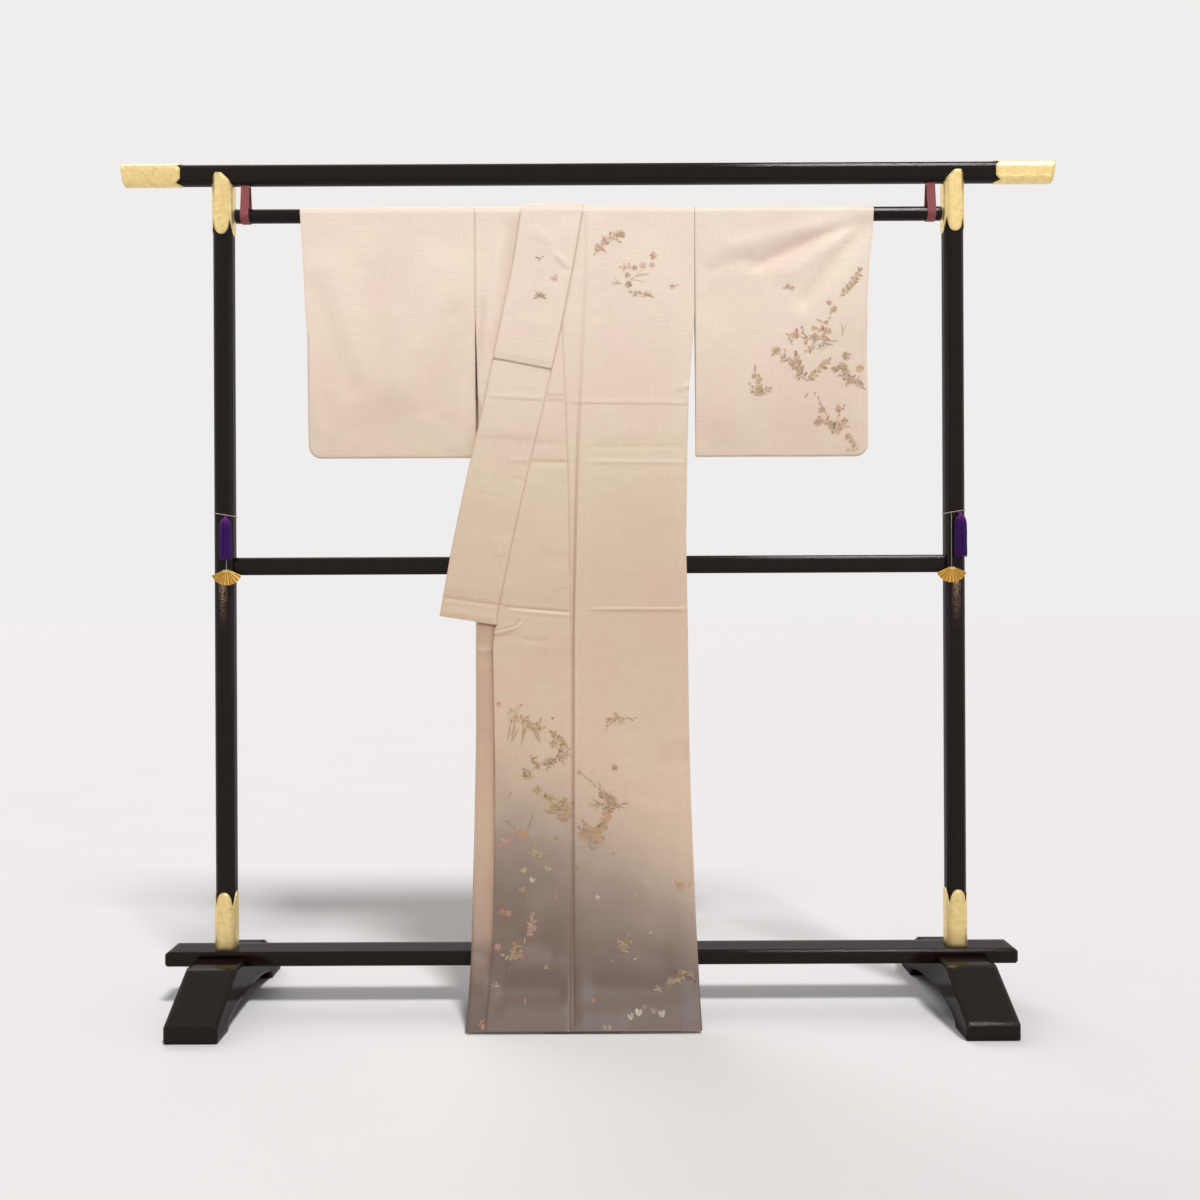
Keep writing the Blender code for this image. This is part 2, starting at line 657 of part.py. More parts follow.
def make_fan(word, x_mid, tassel_x, gold, cord):
    """A pleated metal fan, upside down, on a string from the tassel's head or from the tie."""
    under_head = abs(x_mid - tassel_x) < TASSEL_RADIUS / 2
    clear_of_post = POST_DEPTH / 2 + FAN_PLEAT_DEPTH * FAN_RADIUS + FAN_WALL + CLEAR
    y_mid = ornament_y() if under_head else -clear_of_post
    folds = 2 * FAN_PLEATS
    points, faces = [], []
    for radius in (FAN_GATHER, 0.55 * FAN_RADIUS, FAN_RADIUS):
        for k in range(folds + 1):
            turn = FAN_SPREAD * (2 * k / folds - 1)
            x, z = x_mid + radius * math.sin(turn), FAN_TOP - radius * math.cos(turn)
            points.append((x, y_mid + FAN_PLEAT_DEPTH * radius * (1 if k % 2 else -1), z))
    for ring in range(2):
        for k in range(folds):
            first = ring * (folds + 1) + k
            faces.append((first, first + 1, first + folds + 2, first + folds + 1))
    fan = solidify(add_object(word + "_fan", points, faces, gold, smooth=False), FAN_WALL)
    half_width, half_depth, height = FAN_CAP
    cap_top = FAN_TOP - FAN_GATHER * math.cos(FAN_SPREAD) + FAN_WALL
    section = rounded_rectangle(half_width, half_depth, half_depth / 2, steps=2)
    loops = [[(x_mid + x, y_mid + y, z) for x, y in section] for z in (cap_top - height, cap_top)]
    cap = add_object(word + "_fan_cap", *loft(loops), gold, smooth=False)
    cap.hide_render = True
    cap.display_type = "WIRE"
    cut(fan, cap, "UNION")

    top = TASSEL_TOP - TASSEL_HEAD if under_head else TASSEL_TOP
    loops = [
        [
            (x_mid + STRING_RADIUS * math.cos(turn), y_mid + STRING_RADIUS * math.sin(turn), z)
            for turn in (math.pi * k / 4 for k in range(8))
        ]
        for z in (cap_top + CLEAR, top - CLEAR)
    ]
    add_object(word + "_fan_string", *loft(loops), cord)


def make_stand(finishes):
    """The whole stand, with its metal fittings and its two hanging ornaments."""
    gap = BAR_DEPTH / 2 + CLEAR
    channel = box_cutter(
        "bar_channel", (-1.0, -gap, BAR_BOTTOM - CLEAR), (1.0, gap, BAR_BOTTOM + 2 * BAR_HEIGHT)
    )
    make_posts(finishes["lacquer"], channel)
    make_top_bar(finishes["lacquer"])
    make_bar_ends(finishes["gold"])
    make_post_sleeves(finishes["gold"], channel)
    make_rod(finishes["lacquer"])
    make_bands(finishes["band"])
    make_mid_bar(finishes["lacquer"])
    make_plank(finishes["lacquer"])
    make_feet(finishes["lacquer"])
    for word, side, tassel_x, fan_x in ORNAMENTS:
        make_tie(word, side, finishes["cord"])
        make_tassel(word, tassel_x, finishes["tassel"])
        make_fan(word, fan_x, tassel_x, finishes["gold"], finishes["cord"])


# ---------------------------------------------------------------- cloth: the fall line
def smooth_at(table, column, height):
    """A column of a table at a height, on a smooth curve through its rows."""
    rows = np.array(table)[::-1]
    heights, values = rows[:, 0], rows[:, column]
    slopes = np.gradient(values, heights)
    height = float(np.clip(height, heights[0], heights[-1]))
    i = int(np.clip(np.searchsorted(heights, height) - 1, 0, len(heights) - 2))
    span = heights[i + 1] - heights[i]
    t = (height - heights[i]) / span
    return float(
        (2 * t**3 - 3 * t**2 + 1) * values[i]
        + (t**3 - 2 * t**2 + t) * span * slopes[i]
        + (3 * t**2 - 2 * t**3) * values[i + 1]
        + (t**3 - t**2) * span * slopes[i + 1]
    )


def edge_at(table, column, height):
    """A column of a table at a height, on straight lines between its rows."""
    rows = np.array(table)[::-1]
    return float(np.interp(height, rows[:, 0], rows[:, column]))


class Station:
    """One row of a panel: an angle round the rod, or a height on the front or the back."""

    def __init__(self, angle=None, height=None, back=False):
        self.angle = angle
        self.back = back if angle is None else angle < 0
        if angle is None:
            self.height = height
        else:
            self.height = ROD_AXIS + (math.pi / 2 - abs(angle)) * CREST_RADIUS

    def turned_back(self):
        """0 on the front and the crest, 1 once the row lies on the back."""
        if self.angle is None:
            return 1.0 if self.back else 0.0
        return min(1.0, max(0.0, -self.angle / math.radians(75)))

    def point(self, x, layer, lift=0.0, height=None, sleeve=False):
        """The point of a sheet at x in this row; lift moves it forward."""
        x += HANG_X
        if self.angle is not None:
            radius = CREST_RADIUS + layer
            return (x, -radius * math.sin(self.angle), ROD_AXIS + radius * math.cos(self.angle))
        height = self.height if height is None else height
        fall = SLEEVE_FALL if sleeve else BODY_FALL
        step = 0.002
        y = smooth_at(fall, FALL_Y, height)
        slope = (smooth_at(fall, FALL_Y, height + step) - smooth_at(fall, FALL_Y, height - step)) / (2 * step)
        if height > ROD_AXIS - step:
            slope = 0.0
        size = math.hypot(1.0, slope)
        out = -(smooth_at(fall, FALL_DEPTH, height) + layer) if self.back else layer
        return (x, y - out / size - lift, height + out * slope / size)


def front_rows(heights):
    """Stations down the front."""
    return [Station(height=height) for height in heights]


def crest_rows():
    """Stations over the rod, from the front to the back, without the two end rows."""
    angles = np.linspace(math.pi / 2, -math.pi / 2, CREST_STEPS + 1)[1:-1]
    return [Station(angle=float(angle)) for angle in angles]


def back_rows(heights):
    """Stations down the back, whose hem ends a little higher than the front's."""
    return [Station(height=max(height, BACK_HEM), back=True) for height in heights]


class Sheet:
    """Points and faces of one piece of cloth, laid in the middle of its wall."""

    def __init__(self):
        self.points = []
        self.faces = []

    def grid(self, rows):
        """Add a grid of points and its faces. Returns the points' numbers, row by row."""
        ids = []
        for row in rows:
            ids.append(list(range(len(self.points), len(self.points) + len(row))))
            self.points += row
        for above, below in zip(ids, ids[1:]):
            self.join(above, below)
        return ids

    def join(self, first, second):
        """Faces between two lines of points."""
        for i in range(len(first) - 1):
            self.faces.append((first[i], first[i + 1], second[i + 1], second[i]))

    def turn(self, front, back, outward, bulge, steps=4):
        """A rounded turn from a line of front points to the matching back points."""
        lines = [front]
        for step in range(1, steps):
            turn = math.pi * step / steps
            line = []
            for f, b, out in zip(front, back, outward):
                start, end = np.array(self.points[f]), np.array(self.points[b])
                middle = start + (end - start) * (1 - math.cos(turn)) / 2
                line.append(tuple(middle + np.array(out) * bulge * math.sin(turn)))
            lines.append(list(range(len(self.points), len(self.points) + len(line))))
            self.points += line
        lines.append(back)
        for first, second in zip(lines, lines[1:]):
            self.join(first, second)

    def build(self, name, silk):
        """The object, with its wall."""
        return solidify(add_object(name, self.points, self.faces, silk), WALL)


def spaced(first, last, count):
    """Evenly spaced values, both ends included."""
    return [first + (last - first) * k / (count - 1) for k in range(count)]


# ---------------------------------------------------------------- cloth: body
def side_x(column, height):
    """Where a body panel's side column stands: at the edge, or inside the turn of the side seam."""
    edge = edge_at(SIDES, column, height)
    if height > UNDERARM + 1e-6:
        return edge
    inward = -1 if edge > 0 else 1
    return edge + inward * (TURN + WALL / 2)


def front_edge(table, height, sign):
    """Inner edge of a front panel: the collar seam above the okumi's tip, the okumi seam below it."""
    collar = edge_at(table, COLLAR_SEAM, height)
    okumi = edge_at(table, OKUMI_SEAM, height)
    return max(collar, okumi) + SEAM if sign > 0 else min(collar, okumi) - SEAM


def join_sides(sheet, front_ids, back_ids, heights, column, outward):
    """The side seam of a body, from the underarm to the hem."""
    below = [i for i, height in enumerate(heights) if height <= UNDERARM + 1e-6]
    front = [front_ids[i][column] for i in below]
    back = [back_ids[i][column] for i in below]
    sheet.turn(front, back, [(outward, 0.0, 0.0)] * len(front), TURN)


def make_left_body(silk):
    """Left front and left back in one length over the shoulder, with the outer half of the pleat."""
    sheet = Sheet()
    inner_steps, outer_steps = 6, 3

    def columns(station):
        height = station.height
        back = station.turned_back()
        under = max(
            edge_at(RIGHT_FRONT, COLLAR_EDGE, height) if height > COLLAR_END[1] - 0.005 else 0.0,
            edge_at(RIGHT_FRONT, OKUMI_EDGE, height) if height < OKUMI_TIP else 0.0,
        )
        reach = (1 - back) * (under + 0.002) + back * 0.060
        start = (1 - back) * front_edge(LEFT_FRONT, height, 1) + back * (NECK + SEAM)
        side = side_x(LEFT_SIDE, height)
        xs = spaced(start, reach, inner_steps + 1) + spaced(reach, side, outer_steps + 1)[1:]
        inner_layers = [LAYER * (1 + back * (1 - k / inner_steps)) for k in range(inner_steps + 1)]
        outer_layers = [LAYER * (1 - k / outer_steps) for k in range(1, outer_steps + 1)]
        return [station.point(x, layer) for x, layer in zip(xs, inner_layers + outer_layers)]

    heights = BODY_ROWS
    stations = front_rows(heights[::-1]) + crest_rows() + back_rows(heights)
    ids = sheet.grid([columns(station) for station in stations])
    front_ids = ids[:len(heights)][::-1]
    back_ids = ids[-len(heights):]
    join_sides(sheet, front_ids, back_ids, heights, -1, 1.0)

    pleat_steps = 3
    xs = spaced(NECK + SEAM, CENTRE_BACK, pleat_steps + 1)[1:]
    rows = back_rows((BACK_NECK,) + heights[1:])
    below_neck = sheet.grid([[station.point(x, 2 * LAYER) for x in xs] for station in rows])
    edge = [row[0] for row in back_ids]
    sheet.join(edge, [row[0] for row in below_neck])
    sheet.build("left_body", silk)


def make_right_body(silk):
    """Right front and right back in one length, with the inner half of the pleat folded under."""
    sheet = Sheet()
    steps = 6

    def columns(station):
        height = station.height
        back = station.turned_back()
        side = side_x(RIGHT_SIDE, height)
        end = (1 - back) * front_edge(RIGHT_FRONT, height, -1) + back * PLEAT_FOLD
        if station.angle is not None:
            end = NECK - SEAM - back * (NECK - PLEAT_FOLD)
        return [station.point(x, 0.0) for x in spaced(side, end, steps + 1)]

    heights = BODY_ROWS
    stations = front_rows(heights[::-1]) + crest_rows() + back_rows(heights)
    ids = sheet.grid([columns(station) for station in stations])
    front_ids = ids[:len(heights)][::-1]
    back_ids = ids[-len(heights):]
    join_sides(sheet, front_ids, back_ids, heights, 0, -1.0)

    pleat_steps = 3
    xs = spaced(PLEAT_FOLD, CENTRE_BACK, pleat_steps + 1)
    rows = back_rows((BACK_NECK,) + heights[1:])
    below_neck = sheet.grid([[station.point(x, LAYER) for x in xs] for station in rows])
    fold = [row[-1] for row in back_ids]
    sheet.turn(fold, [row[0] for row in below_neck], [(1.0, 0.0, 0.0)] * len(fold), LAYER / 2)
    sheet.build("right_body", silk)


def make_okumi(name, table, layer, sign, silk):
    """The narrow front panel between the front's edge and the open edge, from its tip to the hem."""
    sheet = Sheet()
    rows = []
    for station in front_rows([height for height in BODY_ROWS if height <= OKUMI_TIP]):
        height = station.height
        seam = edge_at(table, OKUMI_SEAM, height) - sign * SEAM
        free = edge_at(table, COLLAR_SEAM, height) + sign * SEAM
        if height < COLLAR_END[1] - 0.005:
            free = edge_at(table, OKUMI_EDGE, height)
        rows.append([station.point(x, layer) for x in spaced(seam, free, 5)])
    sheet.grid(rows)
    sheet.build(name, silk)


# ---------------------------------------------------------------- cloth: collars
def make_collar(name, table, layers, sign, ends, inset, silk):
    """A collar strip from the back, over the crest and down the front edge, with a slanted end."""
    sheet = Sheet()
    front_layer, back_layer = layers
    steps = 4
    rear_rows = ((BACK_NECK, 0.02), (BACK_NECK - 0.018, 0.25), (BACK_NECK - 0.034, 0.62))
    rows = []
    crest_height = ROD_AXIS + CREST_RADIUS * math.pi / 2
    crest_free = edge_at(table, COLLAR_EDGE, crest_height) + sign * inset
    crest_seam = edge_at(table, COLLAR_SEAM, crest_height) - sign * (SEAM + inset)
    middle = 0.62 * crest_free + 0.38 * crest_seam
    for height, narrowing in reversed(rear_rows):
        station = Station(height=height, back=True)
        free = crest_free + narrowing * 0.55 * (middle - crest_free)
        seam = crest_seam + narrowing * 0.80 * (middle - crest_seam)
        rows.append([station.point(x, back_layer) for x in spaced(free, seam, steps + 1)])
    heights = [height for height in BODY_ROWS if height > ends[0] + 0.008] + [None]
    for station in crest_rows()[::-1] + front_rows(heights):
        heights_across = [station.height] * (steps + 1)
        if station.height is None:
            heights_across = spaced(ends[0], ends[1], steps + 1)
        back = station.turned_back()
        layer = front_layer + back * (back_layer - front_layer)
        points = []
        for k, height in enumerate(heights_across):
            free = edge_at(table, COLLAR_EDGE, height) + sign * inset
            seam = edge_at(table, COLLAR_SEAM, height) - sign * (SEAM + inset)
            points.append(station.point(free + (seam - free) * k / steps, layer, height=height))
        rows.append(points)
    sheet.grid(rows)
    sheet.build(name, silk)


# ---------------------------------------------------------------- cloth: sleeves
def fold_lift(word, out, down):
    """How far the sleeve's soft folds lift its sheet at a point, from the table of ridges."""
    lift = 0.0
    here = np.array((out, down))
    for sleeve, out_1, down_1, out_2, down_2, half_width, height in SLEEVE_FOLDS:
        if sleeve != word:
            continue
        start, end = np.array((out_1, down_1)), np.array((out_2, down_2))
        along = float(np.clip(np.dot(here - start, end - start) / np.dot(end - start, end - start), 0, 1))
        distance = np.linalg.norm(here - start - along * (end - start))
        lift += height * math.exp(-((distance / half_width) ** 2))
    return lift


def make_sleeve(word, inner, column, silk):
    """A sleeve: one cloth folded over the rod, closed along its bottom and below the cuff."""
    sheet = Sheet()
    sign = 1.0 if inner > 0 else -1.0
    steps = 8
    arc = [
        SLEEVE_HEM + TURN + SLEEVE_CORNER * (1 - math.cos(math.pi / 2 * k / CORNER_ROWS))
        for k in range(CORNER_ROWS, -1, -1)
    ]
    heights = list(SLEEVE_ROWS) + arc
    top = ROD_AXIS

    def row(station):
        height = station.height
        outer = edge_at(CUFFS, column, height)
        if height <= CUFF + 1e-6:
            outer -= sign * (TURN + WALL / 2)
        rise = height - SLEEVE_HEM - TURN
        if rise < SLEEVE_CORNER:
            missing = SLEEVE_CORNER - math.sqrt(max(0.0, SLEEVE_CORNER**2 - (SLEEVE_CORNER - rise) ** 2))
            outer -= sign * missing
        points = []
        for x in spaced(inner, outer, steps + 1):
            out = abs(x - inner)
            fade = min(1.0, max(0.0, (top - height) / 0.12))
            fade *= min(1.0, out / 0.05)
            lift = fade * fold_lift(word, out, top - height)
            points.append(station.point(x, 0.0, lift=lift, sleeve=True))
        return points

    stations = front_rows(heights[::-1]) + crest_rows() + [
        Station(height=height, back=True) for height in heights
    ]
    ids = sheet.grid([row(station) for station in stations])
    front_ids = ids[:len(heights)][::-1]
    back_ids = ids[-len(heights):]
    seam_rows = [i for i, height in enumerate(heights) if height <= CUFF + 1e-6]
    edge = [(seam_rows_i, steps) for seam_rows_i in seam_rows]
    edge += [(len(heights) - 1, k) for k in range(steps - 1, -1, -1)]
    outward = []
    for i, k in edge:
        rise = (heights[i] - SLEEVE_HEM - TURN) / SLEEVE_CORNER
        angle = math.pi / 2 if rise >= 1 else math.asin(max(0.0, min(1.0, rise)))
        if k < steps:
            angle = 0.0
        outward.append((sign * math.sin(angle), 0.0, -math.cos(angle)))
    sheet.turn([front_ids[i][k] for i, k in edge], [back_ids[i][k] for i, k in edge], outward, TURN)
    sheet.build(word + "_sleeve", silk)


def make_kimono(silk):
    """All the pieces of the garment."""
    make_right_body(silk)
    make_left_body(silk)
    make_okumi("right_okumi", RIGHT_FRONT, 0.0, -1, silk)
    make_okumi("left_okumi", LEFT_FRONT, LAYER, 1, silk)
    make_collar("right_collar", RIGHT_FRONT, (0.0, 0.0), -1, COLLAR_END, 0.0, silk)
    make_collar("left_collar", LEFT_FRONT, (LAYER, 3 * LAYER), 1, COLLAR_END, 0.0, silk)
    make_collar(
        "over_collar", LEFT_FRONT, (2 * LAYER, 4 * LAYER), 1, OVER_COLLAR_END, OVER_COLLAR_INSET, silk
    )
    make_sleeve("right", RIGHT_SLEEVE_INNER, 1, silk)
    make_sleeve("left", LEFT_SLEEVE_INNER, 2, silk)


def main():
    """Build the stand and the kimono."""
    clear_scene()
    finishes = {
        "silk": material("silk", 0.55),
        "lacquer": material("lacquer", 0.12),
        "gold": material("gold", 0.28, metallic=1.0),
        "band": material("band", 0.8),
        "tassel": material("tassel", 0.5),
        "cord": material("cord", 0.8),
    }
    make_stand(finishes)
    make_kimono(finishes["silk"])


main()
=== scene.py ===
"""Looks of a silk visiting kimono hung on a black lacquered stand with gilt fittings.

Metres, +Z up, the garment's front towards -Y, the wearer's left at +X. Every panel of the kimono is a
surface over two parameters, across and along the cloth, that follows one fall line over the rod.
"""
import math
from functools import partial

import bmesh
import bpy
import numpy as np
from bpy.props import FloatProperty, FloatVectorProperty, IntProperty, PointerProperty
from mathutils import Color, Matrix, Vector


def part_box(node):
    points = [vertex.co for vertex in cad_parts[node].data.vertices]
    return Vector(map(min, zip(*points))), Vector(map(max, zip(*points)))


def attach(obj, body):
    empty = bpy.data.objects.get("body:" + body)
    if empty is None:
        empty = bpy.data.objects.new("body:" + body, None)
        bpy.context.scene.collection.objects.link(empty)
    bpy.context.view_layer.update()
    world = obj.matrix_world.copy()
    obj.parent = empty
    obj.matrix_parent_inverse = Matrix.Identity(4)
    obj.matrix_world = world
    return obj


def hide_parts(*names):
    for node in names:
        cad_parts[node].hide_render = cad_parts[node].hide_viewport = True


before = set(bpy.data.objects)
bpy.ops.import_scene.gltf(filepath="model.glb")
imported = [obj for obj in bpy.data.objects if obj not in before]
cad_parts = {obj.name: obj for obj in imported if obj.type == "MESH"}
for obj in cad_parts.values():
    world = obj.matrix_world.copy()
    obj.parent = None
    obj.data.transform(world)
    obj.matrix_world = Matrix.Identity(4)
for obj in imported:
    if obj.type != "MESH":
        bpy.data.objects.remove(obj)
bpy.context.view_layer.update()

bl_info = {
    "name": "Silk kimono on its stand",
    "version": (1, 0, 0),
    "blender": (4, 5, 0),
    "location": "3D View > Sidebar > Kimono",
    "description": "Builds the looks of a hung silk kimono and its lacquered stand, piece by piece",
    "category": "Object",
}

MM = 0.001

# ---------------------------------------------------------------- sizes shared with the solids
ROD_AXIS = 1.5335
CREST_RADIUS = 0.0146       # innermost sheet round the rod
LAYER = 0.0020              # from the middle of one sheet to the middle of the next
SEAM = 0.00015              # half the gap at a seam
HANG_X = -0.0045            # the kimono hangs this far from the middle of the stand
TURN = 0.0039               # how far a seam's rounded turn stands out
TURN_START = 0.018          # height over which that turn grows to its full size
HEM, BACK_HEM = 0.004, 0.011
UNDERARM = 1.18
BACK_NECK = ROD_AXIS - 0.004
CENTRE_BACK = -0.089
PLEAT_FOLD = -0.0060
NECK = -0.0035
CUFF = 1.310
SLEEVE_HEM = 1.060
SLEEVE_CORNER = 0.020
LEFT_SLEEVE_INNER, RIGHT_SLEEVE_INNER = 0.2112, -0.2154
OKUMI_TIP = 1.318
COLLAR_END = (0.7531, 0.7352)         # heights of its lower end, at its free edge and its seam
OVER_COLLAR_END = (1.2520, 1.2301)
POST_X, POST_DEPTH = 0.710, 0.037
TASSEL_TOP, TASSEL_BOTTOM, TASSEL_RADIUS = 0.947, 0.861, 0.0112

# The fall of the body's innermost front sheet, and the depth between front and back.
#  height,    y,       depth
BODY_FALL = (
    (1.5335, -0.0146, 0.0292),
    (1.4400, -0.0150, 0.0265),
    (1.3340, -0.0165, 0.0222),
    (1.1800, -0.0190, 0.0165),
    (1.0600, -0.0210, 0.0122),
    (0.8700, -0.0243, 0.0064),
    (0.6200, -0.0262, 0.0064),
    (0.4500, -0.0300, 0.0064),
    (0.3200, -0.0400, 0.0060),
    (0.2200, -0.0580, 0.0056),
    (0.1500, -0.0810, 0.0052),
    (0.1000, -0.1040, 0.0048),
    (0.0620, -0.1280, 0.0044),
    (0.0300, -0.1550, 0.0044),
    (0.0000, -0.1840, 0.0044),
)
# The same of a sleeve.
SLEEVE_FALL = (
    (1.5335, -0.0146, 0.0292),
    (1.4400, -0.0150, 0.0265),
    (1.3340, -0.0163, 0.0222),
    (1.1800, -0.0150, 0.0125),
    (1.0600, -0.0118, 0.0056),
)
FALL_Y, FALL_DEPTH = 1, 2

# Side edges of the hung body.
#  height, right side, left side
SIDES = (
    (1.557, -0.2150, 0.2108),
    (1.334, -0.2150, 0.2100),
    (1.265, -0.2125, 0.2045),
    (1.180, -0.2105, 0.1975),
    (1.030, -0.2100, 0.1934),
    (0.900, -0.2120, 0.1907),
    (0.720, -0.2154, 0.1930),
    (0.530, -0.2158, 0.1945),
    (0.400, -0.2180, 0.1970),
    (0.250, -0.2206, 0.2012),
    (0.110, -0.2206, 0.2034),
    (0.000, -0.2230, 0.2034),
)
RIGHT_SIDE, LEFT_SIDE = 1, 2

# Seams and free edges of the left front, which lies on top.
#  height, collar edge, collar seam, okumi seam, okumi edge
LEFT_FRONT = (
    (1.557, -0.1220, NECK, -0.0480, -0.1740),
    (1.442, -0.1396, -0.0233, -0.0480, -0.1740),
    (1.302, -0.1691, -0.0510, -0.0471, -0.1740),
    (1.163, -0.1986, -0.0825, -0.0412, -0.1740),
    (1.023, -0.2319, -0.1159, -0.0366, -0.1740),
    (0.884, -0.2612, -0.1473, -0.0342, -0.1740),
    (0.753, -0.2848, -0.1745, -0.0332, -0.1770),
    (0.690, -0.2848, -0.1745, -0.0328, -0.1828),
    (0.456, -0.2848, -0.1745, -0.0330, -0.1796),
    (0.250, -0.2848, -0.1745, -0.0337, -0.1800),
    (0.110, -0.2848, -0.1745, -0.0355, -0.1815),
    (0.000, -0.2848, -0.1745, -0.0350, -0.1865),
)
# The same lines of the right front, which lies under it with its collar folded narrower.
#  height, collar edge, collar seam, okumi seam, okumi edge
RIGHT_FRONT = (
    (1.557, 0.0540, NECK + 0.0005, 0.0400, 0.1560),
    (1.442, 0.0765, 0.0190, 0.0400, 0.1560),
    (1.302, 0.1005, 0.0430, 0.0387, 0.1560),
    (1.163, 0.1255, 0.0680, 0.0240, 0.1560),
    (1.023, 0.1535, 0.0960, 0.0176, 0.1560),
    (0.884, 0.1740, 0.1260, 0.0140, 0.1560),
    (0.753, 0.1760, 0.1530, 0.0120, 0.1560),
    (0.690, 0.1760, 0.1530, 0.0110, 0.1604),
    (0.456, 0.1760, 0.1530, 0.0120, 0.1586),
    (0.250, 0.1760, 0.1530, 0.0150, 0.1605),
    (0.110, 0.1760, 0.1530, 0.0155, 0.1636),
    (0.000, 0.1760, 0.1530, 0.0150, 0.1662),
)
COLLAR_EDGE, COLLAR_SEAM, OKUMI_SEAM, OKUMI_EDGE = 1, 2, 3, 4

# Outer edges of the sleeves.
#  height, right sleeve, left sleeve
CUFFS = (
    (1.557, -0.5555, 0.5590),
    (1.500, -0.5522, 0.5568),
    (1.440, -0.5480, 0.5487),
    (1.360, -0.5448, 0.5442),
    (1.300, -0.5409, 0.5446),
    (1.170, -0.5405, 0.5464),
    (1.060, -0.5395, 0.5457),
)
RIGHT_CUFF, LEFT_CUFF = 1, 2

# How far from its inner edge the left front lies on the right front before it comes down beside it.
#  height, x
LAID_OVER = (
    (1.557, 0.060), (1.450, 0.084), (1.360, 0.158), (1.100, 0.160), (0.950, 0.172),
    (0.860, 0.180), (0.720, 0.180), (0.640, 0.168), (0.000, 0.172),
)

